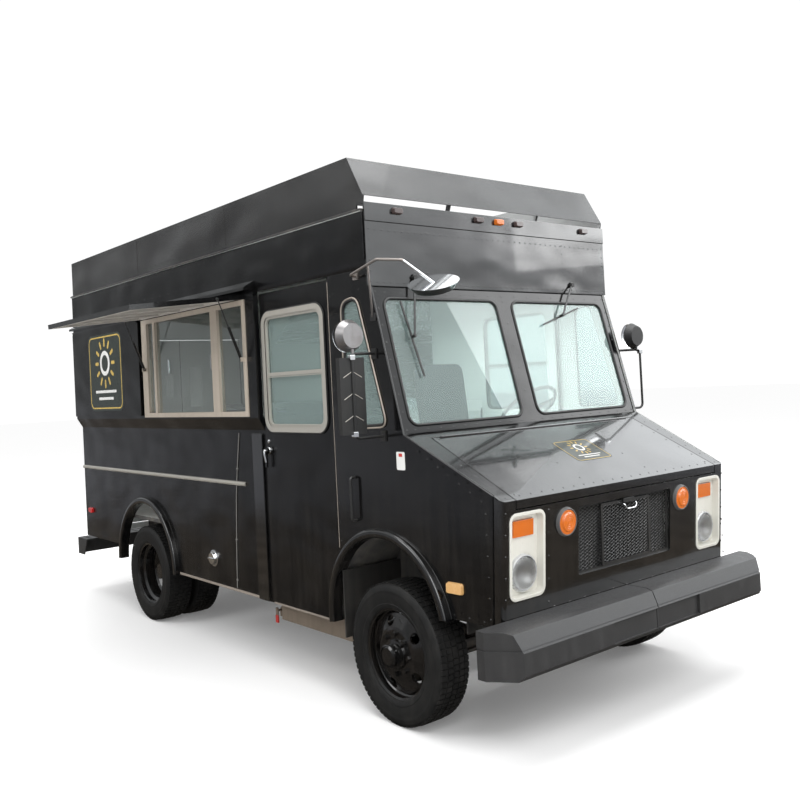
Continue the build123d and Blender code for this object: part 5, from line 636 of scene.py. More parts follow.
def repaint(piece: Piece, finish: Finish | Clear, test: Callable[[Vector], bool]) -> None:
    """Give some faces of a piece another finish.

    Args:
        piece: the object.
        finish: the finish of those faces.
        test: tells from a face's centre, on the truck's own axes, whether it takes the finish.
    """
    piece.data.materials.append(finish.material())
    index = len(piece.data.materials) - 1
    for face in piece.data.polygons:
        if test(face.center - SHIFT):
            face.material_index = index


def eased_copy(frame: dict, node: str, width: float) -> Piece:
    """Copy a CAD node, merge it and round its edges, to stand for the node.

    Args:
        node: the CAD node's name.
        width: the edges' radius in metres.

    Returns:
        The new piece.
    """
    source = frame["nodes"][node]
    clear_selection()
    piece = bpy.data.objects.new(f"{node}_skin", source.data.copy())
    bpy.context.collection.objects.link(piece)
    piece.matrix_world = source.matrix_world
    activate(piece)
    bpy.ops.object.transform_apply(location=True, rotation=True, scale=True)
    bpy.ops.object.mode_set(mode="EDIT")
    bpy.ops.mesh.select_all(action="SELECT")
    bpy.ops.mesh.remove_doubles(threshold=0.00002)
    bpy.ops.mesh.dissolve_limited(angle_limit=math.radians(1.0))
    bpy.ops.object.mode_set(mode="OBJECT")
    round_edges(piece, width)
    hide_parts(node)
    return piece


# ---------------------------------------------------------------- shapes


@dataclass(frozen=True)
class Face:
    """A flat face of the truck: a point on it, two directions along it and the way out of it."""

    origin: tuple[float, float, float]
    along: tuple[float, float, float]
    upward: tuple[float, float, float]
    outward: tuple[float, float, float]

    def spot(self, a: float, b: float, d: float = 0.0) -> Vector:
        """Place at a along, b upward and d outward, in the shared frame."""
        return (at(*self.origin) + Vector(self.along) * a + Vector(self.upward) * b + Vector(self.outward) * d)

    def matrix(self, a: float, b: float, d: float = 0.0) -> Matrix:
        """Matrix that stands a flat shape, modelled in X and Y, on the face."""
        turn = Matrix((self.along, self.upward, self.outward)).transposed().to_4x4()
        return Matrix.Translation(self.spot(a, b, d)) @ turn


def side_face(side: Side, x: float) -> Face:
    """Upright face on one side of the truck; a is y and b is z."""
    return Face((side.value * x, 0.0, 0.0), (0.0, 1.0, 0.0), (0.0, 0.0, 1.0), (float(side.value), 0.0, 0.0))


def cross_face(y: float, outward: float) -> Face:
    """Upright face across the truck, looking back at 1 or ahead at -1; a is x and b is z."""
    return Face((0.0, y, 0.0), (1.0, 0.0, 0.0), (0.0, 0.0, 1.0), (0.0, outward, 0.0))


UPPER_X, LOWER_X, CAB_X, DOOR_X, PARAPET_X = 1.090, 1.040, 1.062, 1.046, 1.080
REAR_AXLE_Y, HUB_Z = 3.378, 0.4
SCREEN = Face((0.0, -0.146, 1.628), (1.0, 0.0, 0.0), (0.0, 0.26032, 0.96560), (0.0, -0.96560, 0.26032))
NOSE = Face((0.0, -0.832, 1.296), (1.0, 0.0, 0.0), (0.0, -0.06567, 0.99784), (0.0, -0.99784, -0.06567))
HOOD = Face((0.0, -0.832, 1.296), (1.0, 0.0, 0.0), (0.0, 0.89759, 0.44083), (0.0, -0.44083, 0.89759))


def in_edit(piece: Piece, select: bool = True) -> None:
    """Enter edit mode on one object with everything selected or nothing."""
    activate(piece)
    bpy.ops.object.mode_set(mode="EDIT")
    bpy.ops.mesh.select_all(action="SELECT" if select else "DESELECT")


def repeat(piece: Piece, count: int, step: Vector) -> None:
    """Repeat a piece at even steps within its own mesh."""
    activate(piece)
    array = piece.modifiers.new("run", "ARRAY")
    array.count = count
    array.use_relative_offset = False
    array.use_constant_offset = True
    array.constant_offset_displace = step
    bpy.ops.object.modifier_apply(modifier="run")


def recalculate(piece: Piece, merge: float = 0.00002) -> None:
    """Merge doubled points and turn the normals outward."""
    in_edit(piece)
    bpy.ops.mesh.remove_doubles(threshold=merge)
    bpy.ops.mesh.normals_make_consistent(inside=False)
    bpy.ops.object.mode_set(mode="OBJECT")


def push_faces(piece: Piece, test: Callable[[bpy.types.MeshPolygon], bool], depth: float) -> None:
    """Extrude the faces that pass a test along their normals.

    Args:
        piece: the object.
        test: tells which faces move.
        depth: how far they move, below zero for inward.
    """
    in_edit(piece)
    bpy.ops.mesh.normals_make_consistent(inside=False)
    bpy.ops.mesh.select_mode(type="FACE")
    bpy.ops.mesh.select_all(action="DESELECT")
    bpy.ops.object.mode_set(mode="OBJECT")
    for face in piece.data.polygons:
        face.select = test(face)
    bpy.ops.object.mode_set(mode="EDIT")
    bpy.ops.mesh.extrude_region_shrink_fatten(TRANSFORM_OT_shrink_fatten={"value": depth})
    bpy.ops.mesh.select_mode(type="VERT")
    bpy.ops.object.mode_set(mode="OBJECT")


def turn_round(piece: Piece) -> None:
    """Flip every face of a piece."""
    in_edit(piece)
    bpy.ops.mesh.flip_normals()
    bpy.ops.object.mode_set(mode="OBJECT")


def signed_volume(piece: Piece) -> float:
    """Volume of a closed piece, below zero where its faces point inward."""
    points, total = [v.co for v in piece.data.vertices], 0.0
    for face in piece.data.polygons:
        first, *rest = [points[i] for i in face.vertices]
        total += sum(first.dot(a.cross(b)) for a, b in zip(rest, rest[1:])) / 6.0
    return total


def plate(name: str, matrix: Matrix, width: float, height: float, corner: float, depth: float, band: float = 0.0,
          ease: float = 0.0, steps: int = 6) -> Piece:
    """Rounded plate, or a ring of one where band is given.

    Args:
        name: the piece's name.
        matrix: place of the plate's centre, with Z out of the face it stands on.
        width: size along X.
        height: size along Y.
        corner: corner radius.
        depth: thickness, grown outward from the face.
        band: width of the ring, or 0 for a full plate.
        ease: edge radius of the rim.
        steps: faces in each corner.

    Returns:
        The plate.
    """
    clear_selection()
    bpy.ops.mesh.primitive_plane_add(size=1.0)
    piece = bpy.context.object
    in_edit(piece)
    bpy.ops.transform.resize(value=(width, height, 1.0))
    if corner:
        bpy.ops.mesh.bevel(offset=corner, offset_type="OFFSET", segments=steps, affect="VERTICES")
    if band:
        bpy.ops.mesh.select_all(action="SELECT")
        bpy.ops.mesh.inset(thickness=band, depth=0.0)
        bpy.ops.mesh.delete(type="FACE")
    bpy.ops.mesh.select_all(action="SELECT")
    bpy.ops.mesh.extrude_region_move(TRANSFORM_OT_translate={"value": (0.0, 0.0, depth)})
    bpy.ops.object.mode_set(mode="OBJECT")
    piece.matrix_world = matrix
    settle(piece, name)
    recalculate(piece)
    if signed_volume(piece) < 0.0:
        turn_round(piece)
    if ease:
        round_edges(piece, ease)
    return piece


def block(name: str, low: Vector, high: Vector, ease: float = 0.002) -> Piece:
    """Box with rounded edges between two corners of the shared frame."""
    clear_selection()
    centre, size = (low + high) / 2, high - low
    bpy.ops.mesh.primitive_cube_add(size=1.0, location=centre, scale=size)
    piece = settle(bpy.context.object, name)
    round_edges(piece, ease)
    return piece


def lathe(name: str, rings: Sequence[tuple[float, float]], centre: Vector, axis: Vector, steps: int = 32,
          ease: float = 0.0, smooth: float = 40.0) -> Piece:
    """Turned shape, from rings of (place along the axis, radius).

    Args:
        name: the piece's name.
        rings: the profile, in order.
        centre: where the axis starts.
        axis: direction of the axis.
        steps: faces around.
        ease: edge radius.
        smooth: edges up to this angle are shaded smooth.

    Returns:
        The turned piece.
    """
    clear_selection()
    place, radius = rings[0]
    bpy.ops.mesh.primitive_circle_add(vertices=steps, radius=radius, location=(0.0, 0.0, place))
    piece = bpy.context.object
    bpy.ops.object.transform_apply(location=True, rotation=True, scale=True)
    in_edit(piece)
    for (here, old), (there, new) in zip(rings, rings[1:]):
        bpy.ops.mesh.extrude_edges_move(TRANSFORM_OT_translate={"value": (0.0, 0.0, there - here)})
        factor = new / old
        bpy.ops.transform.resize(value=(factor, factor, 1.0), center_override=(0.0, 0.0, there))
    bpy.ops.object.mode_set(mode="OBJECT")
    turn = Vector((0, 0, 1)).rotation_difference(axis.normalized()).to_matrix().to_4x4()
    piece.matrix_world = Matrix.Translation(centre) @ turn
    settle(piece, name)
    recalculate(piece, 0.0003)
    if ease:
        round_edges(piece, ease)
    activate(piece)
    bpy.ops.object.shade_smooth_by_angle(angle=math.radians(smooth))
    return piece


def pipe(name: str, points: Sequence[Vector], radius: float, closed: bool = False, sides: int = 2) -> Piece:
    """Round bar along a line of points.

    Args:
        name: the piece's name.
        points: the centre line in the shared frame.
        radius: the bar's radius.
        closed: whether the ends meet.
        sides: roundness of the section.

    Returns:
        The bar as a mesh.
    """
    clear_selection()
    bpy.ops.curve.primitive_bezier_curve_add()
    piece = bpy.context.object
    curve = piece.data
    curve.splines.clear()
    spline = curve.splines.new("POLY")
    spline.points.add(len(points) - 1)
    for knot, point in zip(spline.points, points):
        knot.co = (*point, 1.0)
    spline.use_cyclic_u = closed
    curve.dimensions = "3D"
    curve.bevel_depth = radius
    curve.bevel_resolution = sides
    curve.use_fill_caps = not closed
    bpy.ops.object.convert(target="MESH")
    piece = settle(bpy.context.object, name)
    recalculate(piece)
    bpy.ops.object.shade_smooth_by_angle(angle=math.radians(50))
    return piece


def bend_line(corners: Sequence[Vector], radius: float, steps: int = 5) -> list[Vector]:
    """Round the corners of a line of points.

    Args:
        corners: the line's corners.
        radius: bend radius.
        steps: points in each bend.

    Returns:
        The line with bends.
    """
    line = [corners[0]]
    for before, here, after in zip(corners, corners[1:], corners[2:]):
        back, onward = (before - here), (after - here)
        reach = min(radius, back.length * 0.49, onward.length * 0.49)
        start, end = here + back.normalized() * reach, here + onward.normalized() * reach
        for step in range(steps + 1):
            t = step / steps
            line.append(start * (1 - t) ** 2 + here * 2 * t * (1 - t) + end * t ** 2)
    line.append(corners[-1])
    return line


def rounded_loop(face: Face, a0: float, a1: float, b0: float, b1: float, corner: float, d: float,
                 steps: int = 6) -> list[Vector]:
    """Closed line around a rounded rectangle on a face."""
    points = []
    centres = ((a1 - corner, b1 - corner, 0), (a0 + corner, b1 - corner, 90), (a0 + corner, b0 + corner, 180),
               (a1 - corner, b0 + corner, 270))
    for a, b, start in centres:
        for step in range(steps + 1):
            turn = math.radians(start + 90 * step / steps)
            points.append(face.spot(a + corner * math.cos(turn), b + corner * math.sin(turn), d))
    return points


def joined(pieces: Sequence[Piece], name: str) -> Piece:
    """Join pieces of one finish and one body into one object."""
    activate(pieces[0])
    for piece in pieces[1:]:
        piece.select_set(True)
    bpy.ops.object.join()
    result = bpy.context.object
    result.name = name
    result.data.name = name
    return result


def copied(piece: Piece, name: str, matrix: Matrix) -> Piece:
    """Copy a piece with its own mesh, moved by a matrix, and settle it."""
    clear_selection()
    twin = bpy.data.objects.new(name, piece.data.copy())
    bpy.context.collection.objects.link(twin)
    twin.matrix_world = matrix
    settle(twin, name)
    if matrix.determinant() < 0:
        in_edit(twin)
        bpy.ops.mesh.normals_make_consistent(inside=False)
        bpy.ops.object.mode_set(mode="OBJECT")
    return twin


# ---------------------------------------------------------------- wheels and tyres


@dataclass
class Tyre:
    """Highway truck tyre with five rows of tread blocks, modelled once and copied."""

    radius: float = 0.400
    steps: int = 288
    groove: float = 0.0062
    ribs: tuple[tuple[float, float, float, int], ...] = (
        (-0.094, -0.064, 0.3908, 4), (-0.057, -0.024, 0.3935, 4), (-0.016, 0.016, 0.3937, 4), (0.024, 0.057, 0.3935, 4),
        (0.064, 0.094, 0.3908, 4))
    wall: tuple[tuple[float, float], ...] = (
        (0.0880, 0.2520), (0.0985, 0.2540), (0.1065, 0.2660), (0.1095, 0.2800), (0.1080, 0.2830), (0.1115, 0.3000),
        (0.1126, 0.3200), (0.1130, 0.3340), (0.1122, 0.3480), (0.1128, 0.3500), (0.1122, 0.3540), (0.1085, 0.3680),
        (0.1040, 0.3780), (0.0985, 0.3850), (0.0940, 0.3880))

    def build(self) -> None:
        """Make the six tyres and let them stand for the CAD tyres."""
        first = self._model()
        for name, node, places in (
            ("front_right", "front_right_tyre", (-0.974,)), ("front_left", "front_left_tyre", (0.974,)),
            ("rear_right", "rear_right_tyres", (-0.931, -0.669)), ("rear_left", "rear_left_tyres", (0.931, 0.669)),
        ):
            y = 0.0 if name.startswith("front") else REAR_AXLE_Y
            parts = [copied(first, f"{name}_tread_{i}", Matrix.Translation(at(x, y, HUB_Z)))
                     for i, x in enumerate(places)]
            tyre = joined(parts, f"{name}_tread") if len(parts) > 1 else parts[0]
            dress(tyre, TYRE, f"{name}_wheel" if name.startswith("front") else f"{name}_wheels")
            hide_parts(node)
        bpy.data.objects.remove(first)
        LOG.info("tyres: 6")

    def _model(self) -> Piece:
        """Turn one tyre about X at the origin and raise its blocks."""
        rings = [(-x, r) for x, r in self.wall]
        for start, end, r, _ in self.ribs:
            rings += [(start, r), (end, r)]
        rings += [(x, r) for x, r in reversed(self.wall)]
        rings += [(0.0860, 0.2500), (-0.0860, 0.2500), rings[0]]
        tyre = lathe("tyre_model", rings, Vector((0, 0, 0)), Vector((1, 0, 0)), self.steps)
        push_faces(tyre, self._in_block, self.groove)
        in_edit(tyre)
        bpy.ops.mesh.normals_make_consistent(inside=False)
        bpy.ops.object.mode_set(mode="OBJECT")
        bpy.ops.object.shade_smooth_by_angle(angle=math.radians(28))
        return tyre

    def _in_block(self, face: bpy.types.MeshPolygon) -> bool:
        """Whether a face lies on a tread block rather than in a cut across its rib."""
        x, y, z = face.center
        index = int(math.atan2(z, y) // (math.tau / self.steps)) + (1 if x > 0 else 0)
        return any(start < x < end and math.hypot(y, z) > r - 0.002 and index % every != 0
                   for start, end, r, every in self.ribs)


# ---------------------------------------------------------------- rivets


@dataclass(frozen=True)
class RivetRow:
    """A row of rivets on one face, from one place to another."""

    face: Face
    start: tuple[float, float]
    end: tuple[float, float]
    pitch: float
    body: str = "truck"


@dataclass
class Rivets:
    """Round-headed rivets along the sheet edges and seams, one joined array for each body."""

    radius: float = 0.0062
    height: float = 0.0028
    rows: list[RivetRow] = field(default_factory=list)

    def build(self) -> None:
        """Model one rivet, run it along every row and join the rows of each body."""
        clear_selection()
        bpy.ops.mesh.primitive_uv_sphere_add(segments=8, ring_count=6, radius=self.radius)
        model = bpy.context.object
        in_edit(model)
        bpy.ops.mesh.bisect(plane_co=(0, 0, 0), plane_no=(0, 0, 1), clear_inner=True, use_fill=False)
        bpy.ops.mesh.select_all(action="SELECT")
        bpy.ops.transform.resize(value=(1.0, 1.0, self.height / self.radius), center_override=(0, 0, 0))
        bpy.ops.object.mode_set(mode="OBJECT")
        bpy.ops.object.shade_smooth()
        groups: dict[str, list[Piece]] = {}
        for number, row in enumerate(self.rows):
            groups.setdefault(row.body, []).append(self._row(model, row, number))
        for body, pieces in groups.items():
            dress(joined(pieces, f"rivets_{body}"), BODY, body)
        bpy.data.objects.remove(model)
        LOG.info("rivet rows: %d", len(self.rows))

    def _row(self, model: Piece, row: RivetRow, number: int) -> Piece:
        """Run the rivet along one row with an array modifier."""
        span = math.hypot(row.end[0] - row.start[0], row.end[1] - row.start[1])
        count = max(2, round(span / row.pitch) + 1)
        step = (row.face.spot(*row.end) - row.face.spot(*row.start)) / (count - 1)
        piece = bpy.data.objects.new(f"rivet_row_{number}", model.data.copy())
        bpy.context.collection.objects.link(piece)
        piece.matrix_world = row.face.matrix(*row.start, d=-0.0002)
        inside_out = piece.matrix_world.determinant() < 0.0
        settle(piece, piece.name)
        if inside_out:
            turn_round(piece)
        repeat(piece, count, step)
        return piece


def rows_on(face: Face, runs: str, body: str = "truck", across: float = 1.0) -> list[RivetRow]:
    """Read rows off a table.

    Args:
        face: the face they lie on.
        runs: five numbers a row: both ends as (a, b), and the pitch.
        body: the body they ride on.
        across: factor of a, -1 to mirror the row.

    Returns:
        The rows.
    """
    numbers = [float(word) for word in runs.split()]
    return [RivetRow(face, (a * across, b), (c * across, d), pitch, body)
            for a, b, c, d, pitch in zip(*[iter(numbers)] * 5)]


def rivet_rows() -> list[RivetRow]:
    """List the rows seen in the photograph, with the far side finished alike."""
    header = cross_face(0.071, -1.0)
    back = cross_face(4.790, 1.0)
    rows: list[RivetRow] = []
    for side in Side:
        rows += rows_on(side_face(side, UPPER_X), """
            1.42 2.862 4.76 2.862 .075   1.42 2.700 4.76 2.700 .15   4.765 1.76 4.765 2.66 .09
            1.405 1.76 1.405 2.56 .09""")
        rows += rows_on(side_face(side, LOWER_X), """
            4.765 .63 4.765 1.60 .09   1.42 .50 2.76 .50 .12   3.96 .615 4.74 .615 .12   1.42 1.225 4.74 1.225 .15
            1.42 1.60 4.74 1.60 .11   1.405 .52 1.405 1.60 .1   2.43 .56 2.43 1.18 .1   4.10 .66 4.10 1.18 .1""")
        rows += rows_on(side_face(side, CAB_X), """
            -.765 .72 -.765 1.24 .1   -.74 1.30 -.19 1.575 .085   -.72 .700 -.50 .700 .1   .475 .98 .475 2.56 .11
            -.10 1.640 .44 1.640 .11   .18 2.46 .44 2.46 .13   .16 2.80 1.36 2.80 .1""")
        rows += rows_on(side_face(side, PARAPET_X), ".34 3.205 4.74 3.205 .11   .34 2.965 4.74 2.965 .11")
        edge = float(side.value)
        rows += rows_on(SCREEN, "1.020 .02 1.030 .84 .1", across=edge)
        rows += rows_on(NOSE, ".985 -.60 .985 -.06 .11   .665 -.56 .665 -.08 .12", across=edge)
        rows += rows_on(HOOD, ".872 .05 .872 .66 .10   .30 .10 .30 .62 .17", "hood_lid", edge)
        rows += rows_on(HOOD, ".955 .03 .965 .72 .12", across=edge)
        rows += rows_on(header, "1.055 2.50 1.055 2.80 .06   .62 2.50 .62 2.80 .06", across=edge)
        rows += rows_on(back, "1.045 1.74 1.045 2.80 .085   1.000 .63 1.000 1.60 .085   .735 .68 .735 2.50 .09",
                        across=edge)
    rows += rows_on(header, "-1.01 2.495 1.01 2.495 .0505   -1.01 2.795 1.01 2.795 .0505")
    rows += rows_on(back, "-.98 2.865 .98 2.865 .09") + rows_on(HOOD, "-.85 .035 .85 .035 .085", "hood_lid")
    rows += rows_on(NOSE, "-.62 -.592 .62 -.592 .124")
    rows += rows_on(SCREEN, "-.96 .018 .96 .018 .096   -.96 .835 .96 .835 .12   .0 .06 .0 .80 .148")
    return rows


# ---------------------------------------------------------------- windows


@dataclass
class WindowTrim:
    """Rubber around the fixed panes and the aluminium frames of the door windows."""

    rubber: float = 0.0095
    door_low: tuple[float, float] = (0.600, 1.660)
    door_high: tuple[float, float] = (1.268, 2.398)

    def build(self) -> None:
        """Make screen rubbers, quarter-window rubbers and door window frames."""
        rubbers = []
        for edge in (-1, 1):
            low, high = sorted((edge * 0.070, edge * 0.985))
            rubbers.append(pipe(f"screen_rubber_{edge}", rounded_loop(SCREEN, low, high, 0.044, 0.800, 0.058, 0.0),
                                self.rubber, closed=True))
        for side in Side:
            line = self._quarter(side, 0.001, 0.06, (-0.020, 1.680), (0.345, 1.665), (0.345, 2.395), (0.205, 2.415))
            rubbers.append(pipe(f"quarter_rubber_{side.name.lower()}", line, self.rubber, closed=True))
        dress(joined(rubbers, "window_rubbers"), GASKET, "truck")
        self._edges()
        self._doors()
        LOG.info("window trim done")

    @staticmethod
    def _quarter(side: Side, depth: float, bend: float, *spots: tuple[float, float]) -> list[Vector]:
        """Closed line round a quarter window, begun at the middle of its last edge."""
        corners = [side_face(side, CAB_X).spot(a, b, depth) for a, b in spots]
        middle = corners[0].lerp(corners[3], 0.5)
        return bend_line([middle, *corners, middle], bend)[:-1]

    def _edges(self) -> None:
        """Bright strip inside each quarter-window rubber."""
        strips = []
        for side in Side:
            line = self._quarter(side, 0.007, 0.07, (-0.032, 1.668), (0.357, 1.653), (0.357, 2.407), (0.199, 2.428))
            strips.append(pipe(f"quarter_strip_{side.name.lower()}", line, 0.005, closed=True))
        dress(joined(strips, "quarter_window_strips"), SILL_ALLOY, "truck")

    def _doors(self) -> None:
        """Aluminium surround, sliding rail and inner rubber of each door window."""
        (y0, z0), (y1, z1) = self.door_low, self.door_high
        middle, width, height = ((y0 + y1) / 2, (z0 + z1) / 2), y1 - y0, z1 - z0
        for side in Side:
            body = "cab_door_right" if side is Side.KERB else "cab_door_left"
            tag = side.name.lower()
            face = side_face(side, DOOR_X)
            ring = plate(f"door_ring_{tag}", face.matrix(*middle, d=0.0092), width + 0.066, height + 0.066, 0.095,
                         0.004, band=0.036, ease=0.0015, steps=8)
            step = plate(f"door_step_{tag}", face.matrix(*middle, d=-0.012), width + 0.004, height + 0.004, 0.064,
                         0.016, band=0.022, ease=0.0015, steps=8)
            rail = plate(f"door_rail_{tag}", face.matrix(middle[0], 2.010, d=-0.010), width - 0.03, 0.024, 0.002, 0.010,
                         ease=0.0015)
            lip = plate(f"door_lip_{tag}", face.matrix(middle[0], 1.992, d=-0.006), width - 0.03, 0.006, 0.001, 0.010,
                        ease=0.0008)
            dress(joined([ring, step, rail, lip], f"door_window_frame_{tag}"), BEZEL_ALLOY, body)
            rubber = plate(f"door_rubber_{tag}", face.matrix(*middle, d=0.0005), width + 0.084, height + 0.084, 0.104,
                           0.0085, band=0.014, ease=0.002, steps=8)
            dress(rubber, GASKET, body)


# ---------------------------------------------------------------- front


@dataclass
class Grille:
    """Expanded-metal grille with its removable middle panel and pull."""

    half: float = 0.424
    low: float = 0.833
    high: float = 1.203
    set_back: float = 0.020
    cell: tuple[float, float] = (0.038, 0.019)
    strand: float = 0.0017

    def build(self) -> None:
        """Weave the two meshes, frame the middle panel and hang the pull."""
        back = self._mesh("grille_mesh", -self.half, self.half, self.low, self.high, self.set_back, self.strand)
        front = self._mesh("grille_panel_mesh", -0.205, 0.215, self.low + 0.022, self.high - 0.022,
                           self.set_back - 0.010, self.strand * 1.1)
        dress(joined([back, front], "grille_strands"), GRILLE_PAINT, "truck")
        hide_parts("grille")
        middle = (self.low + self.high) / 2
        frame = plate("grille_panel_frame", self._face().matrix(0.005, middle, d=-0.012), 0.448, 0.344, 0.012, 0.006,
                      band=0.017, ease=0.0015)
        rim = plate("grille_rim", self._face().matrix(0.0, middle, d=-0.026), 2 * self.half + 0.008,
                    self.high - self.low + 0.008, 0.020, 0.008, band=0.020, ease=0.002)
        dress(joined([frame, rim], "grille_frames"), FRAME_SATIN, "truck")
        # painted shade: a flat near-black sheet behind the mesh stands for the shade inside the nose
        back_plate = plate("grille_shade", self._face().matrix(0.0, middle, d=-0.040), 2 * self.half - 0.01,
                           self.high - self.low - 0.01, 0.010, 0.002)
        dress(back_plate, DARK_VOID, "truck")
        points = [self._face().spot(a, b, d) for a, b, d in ((-0.035, 1.172, -0.008), (-0.035, 1.166, 0.012),
                                                             (-0.022, 1.140, 0.016), (0.062, 1.140, 0.016),
                                                             (0.075, 1.166, 0.012), (0.075, 1.172, -0.008))]
        dress(pipe("grille_pull", bend_line(points, 0.014), 0.0035), CHROME, "truck")
        latch = plate("grille_latch", self._face().matrix(0.02, 1.186, d=-0.008), 0.10, 0.026, 0.006, 0.008, ease=0.002)
        dress(latch, FRAME_SATIN, "truck")
        LOG.info("grille done")

    @staticmethod
    def _face() -> Face:
        """Nose plane with b measured as the height above ground."""
        return Face((0.0, -0.832 + 1.296 * 0.06581, 0.0), (1.0, 0.0, 0.0), (0.0, -0.06581, 1.0), (0.0, -1.0, 0.0))

    def _mesh(self, name: str, x0: float, x1: float, z0: float, z1: float, depth: float,
              radius: float) -> Piece:
        """Rows of zigzag strands whose points meet."""
        face = self._face()
        wide, high = self.cell
        rows, columns = int((z1 - z0) / high), int((x1 - x0) / (wide / 2))
        strands = []
        for tag, peak, lift in (("a", 0.0, 0.0), ("b", high, 0.001)):
            line = [face.spot(x0 + i * wide / 2, z0 + (peak if i % 2 else high / 2), lift - depth)
                    for i in range(columns + 1)]
            strands.append(pipe(f"{name}_{tag}", line, radius, sides=0))
            repeat(strands[-1], rows, Vector(face.upward) * high)
        return joined(strands, name)


@dataclass
class Lamps:
    """Sealed-beam headlamps with bowl, lens and ring, and the rings of the round signals."""

    across: float = 0.828
    headlamp_b: float = -0.3848
    signal_x: float = 0.529
    signal_b: float = -0.1593

    def build(self) -> None:
        """Make both headlamps and both signal rings."""
        bowls, lenses, rings, signal_rings, ridges = [], [], [], [], []
        for edge in (-1, 1):
            centre = NOSE.spot(edge * self.across, self.headlamp_b)
            axis = Vector(NOSE.outward)
            bowls.append(lathe(f"headlamp_bowl_{edge}", [
                (-0.0230, 0.0880), (-0.0300, 0.0850), (-0.0450, 0.0740), (-0.0580, 0.0540), (-0.0650, 0.0300),
                (-0.0670, 0.0005), (-0.0690, 0.0006), (-0.0670, 0.0310), (-0.0600, 0.0570), (-0.0460, 0.0770),
                (-0.0300, 0.0885), (-0.0230, 0.0880)], centre, axis, 48))
            lenses.append(lathe(f"headlamp_lens_{edge}", [
                (-0.0220, 0.0880), (-0.0150, 0.0810), (-0.0100, 0.0620), (-0.0070, 0.0320), (-0.0060, 0.0005),
                (-0.0090, 0.0006), (-0.0100, 0.0320), (-0.0130, 0.0610), (-0.0180, 0.0790), (-0.0235, 0.0850),
                (-0.0220, 0.0880)], centre, axis, 48))
            rings.append(lathe(f"headlamp_ring_{edge}", [
                (-0.0400, 0.0895), (-0.0210, 0.0870), (-0.0170, 0.0890), (-0.0180, 0.0930), (-0.0240, 0.0970),
                (-0.0400, 0.0980), (-0.0400, 0.0895)], centre, axis, 48))
            signal = NOSE.spot(edge * self.signal_x, self.signal_b)
            signal_rings.append(lathe(f"signal_ring_{edge}", [
                (0.0002, 0.0665), (0.0165, 0.0663), (0.0185, 0.0690), (0.0165, 0.0725), (0.0002, 0.0780),
                (0.0002, 0.0665)], signal, axis, 48))
            for number, radius in enumerate((0.012, 0.024, 0.036)):
                ridges.append(lathe(f"signal_ridge_{edge}_{number}", [
                    (0.0262, radius - 0.0025), (0.0280, radius), (0.0262, radius + 0.0025), (0.0262, radius - 0.0025)],
                    signal, axis, 40))
        dress(joined(bowls, "headlamp_bowls"), REFLECTOR, "truck")
        dress(joined(lenses, "headlamp_lenses"), LENS_CLEAR, "truck")
        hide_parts("headlamps")
        dress(joined(rings, "headlamp_rings"), SILVER, "truck")
        dress(joined(signal_rings, "signal_rings"), SIGNAL_RUBBER, "truck")
        dress(joined(ridges, "signal_ridges"), LENS_AMBER, "truck")
        LOG.info("lamps done")


@dataclass
class WheelDressing:
    """Valves of the wheels and rings round the front hub caps."""

    def build(self) -> None:
        """Dress each outer wheel."""
        for name, x, y, face_x in (("front_right_wheel", -1, 0.0, 1.127), ("front_left_wheel", 1, 0.0, 1.127)):
            centre = at(x * face_x, y, HUB_Z)
            axis = Vector((x, 0, 0))
            ring = lathe(f"{name}_cap_ring", [(-0.018, 0.0572), (-0.012, 0.0640), (-0.004, 0.0640), (0.0005, 0.0570),
                                              (-0.018, 0.0572)], centre, axis, 40)
            dress(ring, WHEEL, name)
        for name, sign, centre_x, y in (
            ("front_right_wheel", -1, 1.055, 0.0), ("front_left_wheel", 1, 1.055, 0.0),
            ("rear_right_wheels", -1, 0.905, REAR_AXLE_Y), ("rear_left_wheels", 1, 0.905, REAR_AXLE_Y),
        ):
            stem = [at(sign * centre_x, y, HUB_Z + 0.205), at(sign * (centre_x + 0.02), y, HUB_Z + 0.195),
                    at(sign * (centre_x + 0.05), y, HUB_Z + 0.190)]
            dress(pipe(f"{name}_valve", stem, 0.0042), CHROME, name)
        LOG.info("wheel dressing done")


@dataclass
class DoorFittings:
    """Pull handles and locks of the cab doors."""

    handle: tuple[float, float] = (1.288, 1.500)

    def build(self) -> None:
        """Fit each door's handle and keyhole."""
        y, z = self.handle
        for side in Side:
            body = "cab_door_right" if side is Side.KERB else "cab_door_left"
            face = side_face(side, DOOR_X)
            tag = side.name.lower()
            rose = lathe(f"handle_rose_{tag}", [(-0.0005, 0.026), (0.006, 0.026), (0.010, 0.020), (0.014, 0.011),
                                                (0.030, 0.010), (0.034, 0.0005)], face.spot(y, z), Vector(face.outward),
                         28)
            grip = pipe(f"handle_grip_{tag}", bend_line([face.spot(y, z + 0.010, 0.030), face.spot(y, z - 0.012, 0.040),
                                                        face.spot(y - 0.004, z - 0.075, 0.030)], 0.02), 0.0085)
            boss = lathe(f"handle_boss_{tag}", [(0.026, 0.0005), (0.026, 0.013), (0.034, 0.0145), (0.042, 0.011),
                                                (0.044, 0.0005)], face.spot(y, z), Vector(face.outward), 24)
            lock = lathe(f"door_lock_{tag}", [(-0.0005, 0.013), (0.004, 0.013), (0.006, 0.010), (0.006, 0.0005)],
                         face.spot(y - 0.002, z + 0.062), Vector(face.outward), 24)
            dress(joined([rose, grip, boss, lock], f"door_handle_{tag}"), CHROME, body)
        LOG.info("door fittings done")


